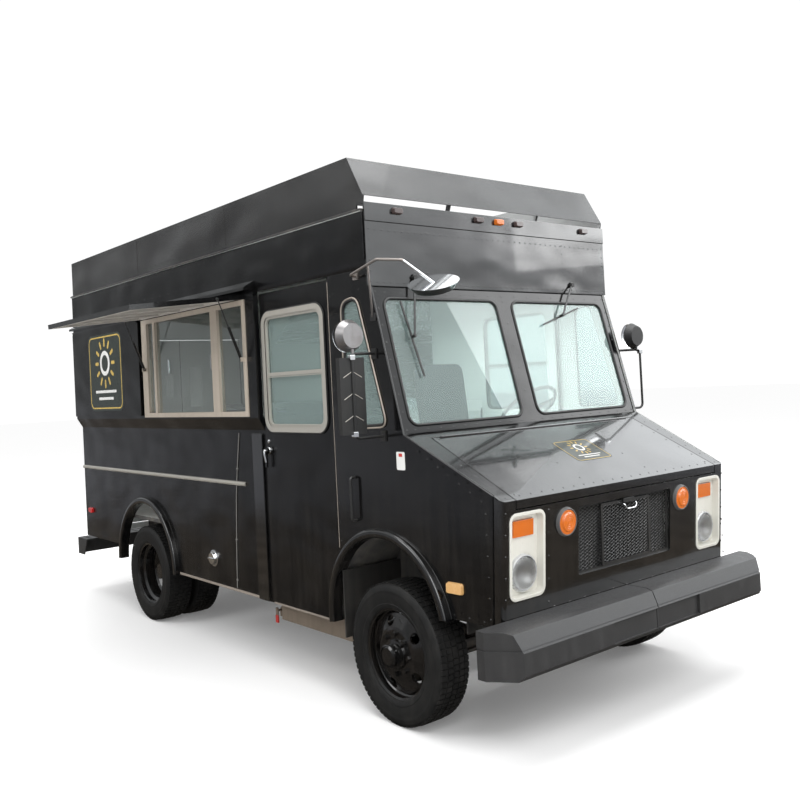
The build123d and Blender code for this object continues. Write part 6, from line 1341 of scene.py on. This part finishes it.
@dataclass
class Decals:
    """Generic unlettered stickers at the places of the photographed ones."""

    def build(self) -> None:
        """Lay the side sticker, the hood sticker and the small label."""
        face = side_face(Side.KERB, 1.0955)
        self._badge("side_sticker", face, 3.955, 2.14, 0.78, 0.69, "side_hatch", 0.0175)
        self._badge("hood_sticker", HOOD, 0.03, 0.37, 0.32, 0.235, "hood_lid", 0.0)
        cab = side_face(Side.KERB, CAB_X)
        white = plate("white_label", cab.matrix(-0.126, 1.482, d=0.0001), 0.072, 0.100, 0.008, 0.0008)
        dress(white, PAPER, "truck")
        red = plate("white_label_spot", cab.matrix(-0.126, 1.514, d=0.0010), 0.030, 0.018, 0.003, 0.0003)
        dress(red, PAPER_RED, "truck")

    @staticmethod
    def _badge(name: str, face: Face, a: float, b: float, width: float, height: float, body: str, d: float) -> None:
        """One sticker: field, border, ring of strokes round a disc, and two plain bars."""
        corner = min(width, height) * 0.11
        base = plate(f"{name}_field", face.matrix(a, b, d + 0.0002), width, height, corner, 0.0004)
        dress(base, STICKER_FIELD, body)
        parts = [plate(f"{name}_border", face.matrix(a, b, d + 0.0007), width * 0.95, height * 0.95, corner * 0.9,
                       0.0004, band=min(width, height) * 0.018)]
        ring = min(width, height) * 0.27
        rise = height * 0.12
        for step in range(12):
            turn = math.tau * step / 12
            matrix = face.matrix(a, b + rise, d + 0.0007) @ Matrix.Rotation(turn, 4, "Z") @ Matrix.Translation(
                (ring, 0, 0))
            parts.append(plate(f"{name}_petal_{step}", matrix, ring * 0.42, ring * 0.16, ring * 0.075, 0.0004, steps=4))
        dress(joined(parts, f"{name}_gold"), STICKER_GOLD, body)
        pale = [plate(f"{name}_disc", face.matrix(a, b + rise, d + 0.0007), ring * 1.2, ring * 1.2, ring * 0.59, 0.0004,
                      band=ring * 0.2, steps=10)]
        for row, share in enumerate((0.62, 0.44)):
            pale.append(plate(f"{name}_bar_{row}", face.matrix(a, b - height * (0.25 + 0.09 * row), d + 0.0007),
                              width * share, height * 0.035, height * 0.01, 0.0004))
        dress(joined(pale, f"{name}_pale"), PAPER, body)


def aprons(side: Side) -> list[Piece]:
    """Inner plates that close the two ends of a front wheel arch."""
    made = []
    for place, x, y, thick, z0, z1 in (("rear", 1.051, 0.488, 0.011, 0.395, 0.80),
                                       ("front", 0.985, -0.512, 0.008, 0.585, 0.666)):
        first, second = at(side.value * x, y, z0), at(side.value * 0.560, y + thick, z1)
        made.append(block(f"arch_apron_{place}_{side.name.lower()}", Vector(map(min, first, second)),
                          Vector(map(max, first, second)), 0.002))
    return made


@dataclass
class FlareTrim:
    """Rounded moulding along the crest of each wheel arch flare."""

    width: float = 0.0235
    proud: float = 0.011
    arches: tuple[tuple[str, float, float, float, float, float, float], ...] = (
        ("front", 0.075, 0.550, 0.515, 1.0820, 0.5745, -0.1786), ("rear", 3.350, 0.470, 0.555, 1.0720, 0.474, 0.0))

    def build(self) -> None:
        """Sweep the moulding round every arch."""
        for side in Side:
            for name, y, z, radius, x, cut_z, slope in self.arches:
                self._sweep(f"{name}_flare_{side.name.lower()}", side, y, z, radius, x, cut_z, slope)
        LOG.info("flare mouldings: 4")

    def _sweep(self, name: str, side: Side, y: float, z: float, radius: float, x: float, cut_z: float,
               slope: float) -> None:
        """One moulding, from a spun half-round section cut off along a line of the given slope."""
        rings = []
        for step in range(9):
            turn = math.pi * step / 8
            rings.append((-0.001 + self.proud * math.sin(turn), radius - self.width * math.cos(turn)))
        rings += [(-0.004, radius + self.width), (-0.004, radius - self.width), rings[0]]
        piece = lathe(name, rings, at(side.value * x, y, z), Vector((side.value, 0, 0)), 96, smooth=50)
        in_edit(piece)
        bpy.ops.mesh.bisect(plane_co=at(0, y, cut_z), plane_no=(0, slope, -1), clear_outer=True, use_fill=True)
        bpy.ops.object.mode_set(mode="OBJECT")
        activate(piece)
        bpy.ops.object.shade_smooth_by_angle(angle=math.radians(50))
        dress(piece, BODY, "truck")


@dataclass
class BumperSkin:
    """Moulded front bumper: two halves, a crease round the ends and a set-back middle pad."""

    half: float = 1.200
    low: tuple[float, float, float] = (-1.200, -1.000, 0.470)
    high: tuple[float, float, float] = (1.200, -0.797, 0.704)
    cuts: tuple[tuple[tuple[float, float, float], tuple[float, float, float]], ...] = (
        ((0.0, -0.975, 0.470), (0.0, -0.1, -1.8)), ((0.0, -1.000, 0.496), (0.0, -0.26, -0.25)),
        ((0.0, -1.000, 0.606), (0.0, -0.086, 0.038)), ((0.0, -0.925, 0.704), (0.0, -0.012, 0.037)),
        ((1.200, -0.850, 0.0), (0.150, -0.115, 0.0)), ((-1.200, -0.850, 0.0), (-0.150, -0.115, 0.0)))

    def build(self) -> None:
        """Cut the moulding from a block, crease it, set back the pad and part the halves."""
        clear_selection()
        low, high = at(*self.low), at(*self.high)
        bpy.ops.mesh.primitive_cube_add(size=1.0, location=(low + high) / 2, scale=high - low)
        skin = settle(bpy.context.object, "front_bumper_skin")
        in_edit(skin)
        for place, normal in self.cuts:
            bpy.ops.mesh.select_all(action="SELECT")
            bpy.ops.mesh.bisect(plane_co=at(*place), plane_no=normal, clear_outer=True, use_fill=True)
        for place, normal in (((0, 0, 0.612), (0, 0, 1)), ((0, 0, 0.620), (0, 0, 1)), ((0.003, 0, 0), (1, 0, 0)),
                              ((-0.003, 0, 0), (1, 0, 0)), ((0.400, 0, 0), (1, 0, 0)), ((-0.400, 0, 0), (1, 0, 0)),
                              ((0, 0, 0.606), (0, 0, 1))):
            bpy.ops.mesh.select_all(action="SELECT")
            bpy.ops.mesh.bisect(plane_co=at(*place), plane_no=normal)
        self._sink(skin, lambda c, n: c.z < 0.606 and abs(c.x) < 0.40 and n.y < -0.9, -0.016)
        self._sink(skin, lambda c, n: 0.612 < c.z < 0.620 and n.y < 0.5, -0.0035)
        self._sink(skin, lambda c, n: abs(c.x) < 0.003 and n.y < 0.5 and n.z > -0.5, -0.006)
        round_edges(skin, 0.0055, 3, 18)
        dress(skin, RUBBER, "truck")
        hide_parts("front_bumper")
        LOG.info("front bumper moulded")

    @staticmethod
    def _sink(skin: Piece, test: Callable[[Vector, Vector], bool], depth: float) -> None:
        """Push in the faces whose centre, on the truck's own axes, and normal pass a test."""
        push_faces(skin, lambda face: test(face.center - SHIFT, face.normal), depth)


@dataclass
class SideFittings:
    """Fuel cap and conduit of the kerb side; posts, sills, grab handles and arch aprons of both sides."""

    def build(self) -> None:
        """Fit the small pieces of the sides."""
        low = side_face(Side.KERB, LOWER_X)
        axis = Vector(low.outward)
        cap = lathe("fuel_cap", [(-0.0002, 0.062), (0.004, 0.062), (0.006, 0.056), (0.006, 0.048), (0.022, 0.046),
                                 (0.026, 0.042), (0.027, 0.0005)], low.spot(2.165, 0.674), axis, 40)
        grip = block("fuel_cap_grip", low.spot(2.125, 0.667, 0.026), low.spot(2.205, 0.681, 0.036), 0.003)
        dress(joined([cap, grip], "fuel_filler"), CHROME, "truck")
        wire = [low.spot(y, z, 0.0045) for y, z in ((1.692, 1.615), (1.742, 1.36), (1.772, 1.175), (1.800, 0.85),
                                                    (1.822, 0.50))]
        dress(pipe("wall_conduit", bend_line(wire, 0.05), 0.0034), CONDUIT, "truck")
        clips = [plate(f"conduit_clip_{z:.2f}", low.matrix(y, z, d=-0.0003), 0.022, 0.010, 0.002, 0.0085, ease=0.002)
                 for y, z in ((1.742, 1.36), (1.800, 0.85), (1.817, 0.56))]
        dress(joined(clips, "conduit_clips"), CONDUIT, "truck")
        self._door_surround(low)

    @staticmethod
    def _door_surround(low: Face) -> None:
        """Post cover behind each door, sill strips, edge strip and grab handle ahead of it, and the nose valance."""
        for side in Side:
            wall, name = side_face(side, LOWER_X), side.name.lower()
            post = plate(f"door_post_{name}", wall.matrix(1.432, 1.045, d=-0.001), 0.134, 1.140, 0.010, 0.017,
                         ease=0.0135, steps=3)
            dress(post, POST_GLOSS, "truck")
            sills = [plate(f"skirt_strip_{name}", wall.matrix(2.140, 0.4835, d=-0.0003), 1.240, 0.018, 0.002, 0.0022,
                           ease=0.0006)]
            cab = side_face(side, CAB_X)
            sills.append(plate(f"door_edge_strip_{name}", cab.matrix(0.496, 1.74, d=-0.0003), 0.0042, 1.60, 0.001,
                               0.0016, ease=0.0004))
            dress(joined(sills, f"sill_strips_{name}"), SILL_ALLOY, "truck")
            threshold = plate(f"door_threshold_{name}", side_face(side, 1.028).matrix(1.000, 0.4760, d=-0.0003), 0.640,
                              0.013, 0.002, 0.014, ease=0.001)
            dress(threshold, SILL_ALLOY, "truck")
            grab = pipe(f"cab_grab_{name}", bend_line([cab.spot(0.307, 1.372, -0.003), cab.spot(0.307, 1.372, 0.034),
                                                       cab.spot(0.307, 1.122, 0.034), cab.spot(0.307, 1.122, -0.003)],
                                                      0.018), 0.0085)
            dress(grab, FRAME_SATIN, "truck")
            dress(joined(aprons(side), f"arch_aprons_{name}"), FRAME_SATIN, "truck")
        valance = block("nose_valance", at(-0.985, -0.786, 0.56), at(0.985, -0.778, 0.668), 0.002)
        dress(valance, FRAME_SATIN, "truck")


@dataclass
class HatchDressing:
    """Bright edging, stiffener and latches of the raised serving hatch."""

    axis_x: float = HATCH_AXIS_X
    axis_z: float = HATCH_AXIS_Z
    open_deg: float = 84.0
    length: float = 0.770
    y0: float = 1.500
    y1: float = 3.062

    def _face(self) -> Face:
        """Underside of the open hatch: a along y, b from the hinge to the free edge."""
        turn = math.radians(self.open_deg)
        reach = (-math.sin(turn), 0.0, -math.cos(turn))
        under = (math.cos(turn), 0.0, -math.sin(turn))
        return Face((self.axis_x, 0.0, self.axis_z), (0.0, 1.0, 0.0), reach, under)

    def build(self) -> None:
        """Line the edges, stiffen the middle and place two latches."""
        face = self._face()
        middle_y, width = (self.y0 + self.y1) / 2, self.y1 - self.y0
        low = self._under()
        edge = plate("hatch_edging", face.matrix(middle_y, self.length / 2 - 0.002, d=low - 0.0045), width - 0.006,
                     self.length - 0.022, 0.012, 0.005, band=0.038, ease=0.0012)
        rib = plate("hatch_stiffener", face.matrix(middle_y, self.length * 0.5, d=low - 0.0045), width - 0.10, 0.030,
                    0.004, 0.0049, ease=0.001)
        dress(joined([edge, rib], "hatch_edging"), HATCH_UNDER, "serving_hatch")
        latches = [plate(f"hatch_latch_{y:.2f}", face.matrix(y, self.length - 0.050, d=low - 0.001), 0.070, 0.030,
                         0.006, 0.004, ease=0.001) for y in (self.y0 + 0.22, self.y1 - 0.22)]
        dress(joined(latches, "hatch_latches"), CHROME, "serving_hatch")

    def _under(self) -> float:
        """Distance of the hatch's underside from its hinge axis, read from the CAD node."""
        low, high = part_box("serving_hatch")
        LOG.info("hatch node spans %s to %s", low, high)
        face = self._face()
        node = bpy.data.objects["serving_hatch"]
        origin = at(*face.origin)
        return max((v.co - origin).dot(Vector(face.outward)) for v in node.data.vertices
                   if 0.1 < (v.co - origin).dot(Vector(face.upward)) < self.length - 0.1)


@dataclass
class MirrorDressing:
    """Mirror glass, the chevrons on the tall mirror and the clamps of the brackets."""

    tall_x: float = -1.262
    tall_y: tuple[float, float] = (0.010, 0.042)
    tall_z: tuple[float, float] = (1.640, 2.062)

    def build(self) -> None:
        """Fit glass to every head and three chevrons to the tall one."""
        middle = (self.tall_z[0] + self.tall_z[1]) / 2
        back = cross_face(self.tall_y[1], 1.0)
        front = cross_face(self.tall_y[0], -1.0)
        glass = [plate("tall_mirror_glass", back.matrix(self.tall_x, middle, d=0.0001), 0.150, 0.402, 0.012, 0.001)]
        for x, y, z in ((-1.250, 0.044, 2.182), (1.170, -0.076, 2.162)):
            glass.append(lathe(f"round_mirror_glass_{x:.2f}", [(-0.0300, 0.0880), (-0.0375, 0.0800), (-0.0440, 0.0400),
                                                               (-0.0455, 0.0005)], at(x, y, z), Vector((0, -1, 0)), 36))
        dress(joined(glass, "mirror_glass"), CHROME, "truck")
        marks = []
        for z in (1.735, 1.855, 1.975):
            line = [front.spot(self.tall_x - 0.062, z - 0.022, 0.0006), front.spot(self.tall_x, z + 0.012, 0.0006),
                    front.spot(self.tall_x + 0.062, z - 0.022, 0.0006)]
            marks.append(pipe(f"chevron_{z:.2f}", line, 0.0022))
        dress(joined(marks, "mirror_chevrons"), BEZEL_ALLOY, "truck")
        bands = []
        for x, y, z in ((-1.262, 0.010, 1.640), (-1.262, 0.010, 2.062), (1.202, -0.110, 2.050)):
            ahead = Face((x, y, z), (1, 0, 0), (0, 0, 1), (0, -1, 0))
            bands.append(plate(f"mirror_clamp_{x:.2f}_{z:.2f}", ahead.matrix(0, 0, d=-0.012), 0.034, 0.030, 0.006,
                               0.024, ease=0.003))
        dress(joined(bands, "mirror_clamps"), CHROME, "truck")
        LOG.info("mirror dressing done")


@dataclass
class BodyTrim:
    """Rub rails, cover strips of the parapet and the grip of the drain's valve."""

    rail_z: float = 1.255
    rail_y: tuple[float, float] = (1.630, 4.786)

    def build(self) -> None:
        """Lay the rails and strips on both sides and fit the grip."""
        rails, strips = [], []
        for side in Side:
            face = side_face(side, LOWER_X)
            rails.append(pipe(f"rub_rail_{side.name.lower()}", [face.spot(self.rail_y[0], self.rail_z, 0.0004),
                                                                face.spot(self.rail_y[1], self.rail_z, 0.0004)], 0.0158,
                              sides=4))
            upper = side_face(side, PARAPET_X)
            for y in (1.72, 3.25):
                strips.append(plate(f"parapet_strip_{side.name.lower()}_{y:.1f}", upper.matrix(y, 3.070, d=-0.0004),
                                    0.060, 0.29, 0.002, 0.0026, ease=0.0008))
        dress(joined(rails, "rub_rails"), BEZEL_ALLOY, "truck")
        dress(joined(strips, "parapet_strips"), PARAPET_PAINT, "truck")
        grip = block("drain_handle_grip", at(-0.9640, 1.420, 0.302), at(-0.9500, 1.450, 0.356), 0.004)
        dress(grip, VALVE_RED, "truck")
        LOG.info("body trim done")


@dataclass
class CabInterior:
    """Gauges, gear lever, seat seams and grab bar seen through the glass."""

    def build(self) -> None:
        """Fit the instrument board, the seat seams, the lever and the grab bar."""
        board = Face((0.395, 0.055, 1.455), (1.0, 0.0, 0.0), (0.0, 0.30, 0.954), (0.0, 0.954, -0.30))
        panel = plate("gauge_board", board.matrix(0.0, 0.0, d=-0.004), 0.420, 0.120, 0.02, 0.014, ease=0.003)
        dress(panel, CABIN, "truck")
        dials, rims = [], []
        for x, r in ((-0.150, 0.026), (-0.078, 0.026), (0.0, 0.046), (0.092, 0.046), (0.168, 0.022)):
            spot = board.spot(x, 0.0, 0.010)
            dials.append(lathe(f"dial_{x:.2f}", [(0.0, r), (0.0012, r - 0.0005), (0.0012, 0.0005)], spot,
                               Vector(board.outward), 28))
            rims.append(lathe(f"dial_rim_{x:.2f}", [(0.0, r - 0.001), (0.004, r), (0.004, r + 0.003), (0.0, r + 0.005),
                                                    (0.0, r - 0.001)], spot, Vector(board.outward), 28))
        dress(joined(dials, "dial_faces"), PAPER, "truck")
        dress(joined(rims, "dial_rims"), CHROME, "truck")
        piping = []
        for x in (-0.075, 0.075):
            line = [at(0.445 + x, 0.668, 1.4005), at(0.445 + x, 1.080, 1.4005)]
            piping.append(pipe(f"seat_seam_{x}", line, 0.004))
        dress(joined(piping, "seat_seams"), SEAT_PIPING, "truck")
        stalk = bend_line([at(0.330, 0.150, 1.530), at(0.200, 0.210, 1.560), at(0.150, 0.230, 1.600)], 0.03)
        lever = pipe("gear_lever", stalk, 0.006)
        dress(lever, CHROME, "truck")
        grab = pipe("grab_bar", bend_line([at(-0.60, 0.075, 1.30), at(-0.60, 0.130, 1.30), at(-0.60, 0.130, 1.52),
                                           at(-0.60, 0.058, 1.52)], 0.03), 0.011)
        dress(grab, CHROME, "truck")
        LOG.info("cab interior done")


@dataclass
class ServingDressing:
    """Slider pulls and tracks of the serving window, and two blank sheets behind it."""

    def build(self) -> None:
        """Fit the tracks and pulls on the panes' frames and hang the sheets."""
        face = side_face(Side.KERB, 1.098)
        tracks = [plate(f"serving_track_{z:.3f}", face.matrix(2.310, z, d=-0.030), 1.640, 0.012, 0.002, 0.018,
                        ease=0.001) for z in (1.762, 2.506)]
        dress(joined(tracks, "serving_tracks"), SERVING_PAINT, "truck")
        pulls = [plate(f"serving_pull_{y:.2f}", face.matrix(y, 2.134, d=-0.014), 0.018, 0.110, 0.006, 0.010, ease=0.002)
                 for y in (2.690, 1.975)]
        dress(joined(pulls, "serving_pulls"), CHROME, "truck")
        inside = side_face(Side.KERB, 1.0705)
        sheets = [plate(f"paper_sheet_{y:.2f}", inside.matrix(y, z, d=0.0), w, h, 0.004, 0.0004)
                  for y, z, w, h in ((2.72, 1.98, 0.14, 0.19), (2.26, 1.96, 0.20, 0.30))]
        dress(joined(sheets, "paper_sheets"), PAPER, "truck")
        LOG.info("serving window dressed")


@dataclass
class RearDressing:
    """Handle and plate holder of the rear doors, and tread on the step."""

    def build(self) -> None:
        """Fit the rear end's ironwork."""
        face = cross_face(4.802, 1.0)
        handle = [
            plate("rear_latch_plate", face.matrix(-0.070, 1.380, d=-0.001), 0.070, 0.150, 0.010, 0.005, ease=0.0015),
            pipe("rear_latch_grip", bend_line([face.spot(-0.070, 1.430, 0.002), face.spot(-0.070, 1.430, 0.040),
                                               face.spot(-0.070, 1.325, 0.046)], 0.015), 0.008)]
        dress(joined(handle, "rear_handle"), CHROME, "rear_door_right")
        holder = plate("plate_holder", face.matrix(0.38, 0.86, d=-0.001), 0.330, 0.170, 0.010, 0.004, ease=0.0012)
        dress(holder, PAPER, "rear_door_left")
        clear_selection()
        bpy.ops.mesh.primitive_cube_add(size=1.0, location=at(-1.00, 4.83, 0.5455), scale=(0.030, 0.007, 0.003))
        stud = settle(bpy.context.object, "step_tread")
        round_edges(stud, 0.0008, 1)
        repeat(stud, 26, Vector((0.080, 0.0, 0.0)))
        repeat(stud, 6, Vector((0.0, 0.034, 0.0)))
        dress(stud, FRAME_SATIN, "truck")
        LOG.info("rear dressed")


# ---------------------------------------------------------------- stage


@dataclass
class Studio:
    """White floor, soft lamps and the camera at the photograph's place."""

    eye: tuple[float, float, float] = (-4.1366, -3.9035, 1.9073)
    right: tuple[float, float, float] = (0.76685, -0.63989, -0.05036)
    up: tuple[float, float, float] = (0.03029, -0.0423, 0.99864)
    forward: tuple[float, float, float] = (0.6411, 0.7673, 0.01306)
    lens: float = 39.865
    shift: tuple[float, float] = (-0.00964, -0.0356)
    lamps: list[tuple[str, tuple[float, float, float], float, float]] = field(default_factory=lambda: [
        ("key_softbox", (-5.0, -8.5, 8.5), 6.0, 700.0),
        ("kerb_softbox", (-9.0, 3.5, 7.0), 5.0, 300.0),
        ("top_softbox", (0.0, 1.0, 10.0), 9.0, 900.0),
        ("fill_softbox", (8.0, -4.0, 6.0), 5.0, 300.0),
        ("cab_lamp", (0.0, 0.95, 2.45), 0.7, 32.0),
        ("galley_lamp", (-0.1, 2.6, 2.48), 0.9, 13.0),
    ])

    def build(self) -> None:
        """Make floor, world, lamps and camera."""
        self._floor()
        self._world()
        for name, place, size, power in self.lamps:
            data = bpy.data.lights.new(name, "AREA")
            data.size = size
            data.energy = power
            lamp = bpy.data.objects.new(name, data)
            lamp.location = at(*place)
            inside = name in ("cab_lamp", "galley_lamp")
            aim = Vector((0.0, 0.0, -1.0)) if inside else at(0.0, 1.8, 1.2) - lamp.location
            lamp.rotation_euler = aim.to_track_quat("-Z", "Y").to_euler()
            bpy.context.collection.objects.link(lamp)
            if inside:
                lamp.visible_camera = lamp.visible_transmission = lamp.visible_glossy = False
        self._camera()
        bpy.context.scene.view_settings.view_transform = "Standard"

    def _floor(self) -> None:
        """A wide white floor that keeps the truck's shadow."""
        clear_selection()
        bpy.ops.mesh.primitive_plane_add(size=160.0, location=(0, 0, 0))
        floor = settle(bpy.context.object, "studio_floor")
        made, tree, shader = new_material("studio_floor_white")
        fill(tree, shader, {"Base Color": (0.86, 0.86, 0.86, 1.0), "Roughness": 0.9, "Specular IOR Level": 0.0})
        floor.data.materials.append(made)
        self._floor_rays(tree, shader)

    @staticmethod
    def _floor_rays(tree: Tree, shader: Node) -> None:
        """Lift the floor to white for the camera, less near the truck so that a painted shadow pool stays grey around
        it, and show a painted yard in reflections, darkest near the truck as a painted shadow.
        """
        centre = mapped(tree, Location=(-0.30, 0.35, 0.0), Scale=(1.0, 0.62, 0.0))
        reach = vector_step(tree, "LENGTH", centre, result="Value")
        # painted shadow: the camera's lift to white is weaker close to the truck, so the floor shows a grey pool there
        shadow_pool_fade = map_range(tree, reach, 1.75, 3.0, 0.13, 0.44, interpolation_type="SMOOTHSTEP")
        path = add_node(tree, "ShaderNodeLightPath").outputs
        lift = reckon(tree, "MULTIPLY", path["Is Camera Ray"], shadow_pool_fade)
        fill(tree, shader, {"Emission Color": WHITE, "Emission Strength": lift})
        # painted reflection: glossy rays see the floor as an emitting yard, near black close to the truck as a painted
        # shadow, brown further out, blue-grey far off, with sine rings of brighter and darker ground
        ground = colour_ramp(tree, map_range(tree, reach, 1.0, 12.0), (
            (0.0, (0.05, 0.045, 0.04)), (0.12, (0.15, 0.13, 0.105)), (0.26, (0.20, 0.168, 0.135)),
            (0.42, (0.18, 0.165, 0.15)), (0.62, (0.36, 0.37, 0.40)), (1.0, (0.42, 0.43, 0.46))))
        swing = reckon(tree, "SINE", reckon(tree, "MULTIPLY", reach, 11.0))
        band = reckon(tree, "MULTIPLY_ADD", swing, 0.17, 0.92)
        yard = add_node(tree, "ShaderNodeEmission", {"Color": ground, "Strength": band}).outputs[0]
        surface = mix_shaders(tree, path["Is Glossy Ray"], shader.outputs[0], yard)
        fill(tree, tree.nodes["Material Output"], {"Surface": surface})

    @staticmethod
    def _sky(tree: Tree) -> Socket:
        """Reflected surroundings: dark broken skyline under an overcast sky."""
        view = place_socket(tree, "Generated")
        trees = noise(tree, view, Scale=9.0, Detail=5.0)
        edge = reckon(tree, "MULTIPLY_ADD", trees, -0.24, axis_of(tree, view, "Z"))
        toward = vector_step(tree, "DOT_PRODUCT", view, (0.62, -0.78, 0.0), result="Value")
        clearing = map_range(tree, toward, -0.5, 0.75, 0.8, 2.4, interpolation_type="SMOOTHSTEP")
        height = reckon(tree, "ADD", edge, reckon(tree, "MULTIPLY_ADD", clearing, 0.065, -0.052))
        levels = ((0.0, 0.32), (0.05, 0.40), (0.11, 0.80), (0.30, 0.95), (0.8, 1.0))
        sky = colour_ramp(tree, height, [(place, (level * 0.97, level, level * 1.02)) for place, level in levels])
        lit = add_node(tree, "ShaderNodeVectorMath", operation="SCALE")
        fill(tree, lit, {0: sky, "Scale": clearing})
        return lit.outputs["Vector"]

    def _world(self) -> None:
        """World light at a plain level, white to the camera, with a skyline in reflections."""
        world = bpy.data.worlds.new("studio_world")
        bpy.context.scene.world = world
        world.use_nodes = True
        tree = world.node_tree
        tree.nodes.clear()
        dim, white = (add_node(tree, "ShaderNodeBackground", {"Color": WHITE, "Strength": strength}).outputs[0]
                      for strength in (0.62, 1.05))
        skyline = add_node(tree, "ShaderNodeBackground", {"Color": self._sky(tree)}).outputs[0]
        path = add_node(tree, "ShaderNodeLightPath").outputs
        seen = reckon(tree, "MAXIMUM", path["Is Camera Ray"], path["Is Transmission Ray"])
        shiny = mix_shaders(tree, path["Is Glossy Ray"], dim, skyline)
        add_node(tree, "ShaderNodeOutputWorld", {0: mix_shaders(tree, seen, shiny, white)})

    def _camera(self) -> None:
        """Camera solved from the photograph."""
        data = bpy.data.cameras.new("photo_camera")
        data.lens = self.lens
        data.shift_x, data.shift_y = self.shift
        data.clip_end = 400.0
        camera = bpy.data.objects.new("photo_camera", data)
        turn = Matrix((self.right, self.up, tuple(-c for c in self.forward))).transposed().to_4x4()
        camera.matrix_world = Matrix.Translation(at(*self.eye)) @ turn
        bpy.context.collection.objects.link(camera)
        bpy.context.scene.camera = camera


@dataclass
class CarriedOver:
    """CAD nodes that show, with eased edges where the real panel has them."""

    frame: dict

    def build(self) -> None:
        """Dress every node, easing the ones that have an edge radius."""
        for name, finish in NODE_FINISH.items():
            node = self.frame["nodes"][name]
            if name in EASED:
                piece = eased_copy(self.frame, name, EASED[name])
                dress(piece, finish, body_of(node)[0])
                for target, other, test in REPAINTED:
                    if target == name:
                        repaint(piece, other, test)
                LOG.info("eased %s", name)
            else:
                node.data.materials.clear()
                node.data.materials.append(finish.material())


def main() -> None:
    """Build the dressed truck in order."""
    logging.basicConfig(level=logging.INFO, format="%(message)s")
    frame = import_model()
    clear_selection()
    Studio().build()
    CarriedOver(frame).build()
    Tyre().build()
    WheelDressing().build()
    BumperSkin().build()
    FlareTrim().build()
    WindowTrim().build()
    Grille().build()
    Lamps().build()
    DoorFittings().build()
    SideFittings().build()
    HatchDressing().build()
    Decals().build()
    MirrorDressing().build()
    BodyTrim().build()
    CabInterior().build()
    ServingDressing().build()
    RearDressing().build()
    Rivets(rows=rivet_rows()).build()


if __name__ == "__main__":
    main()
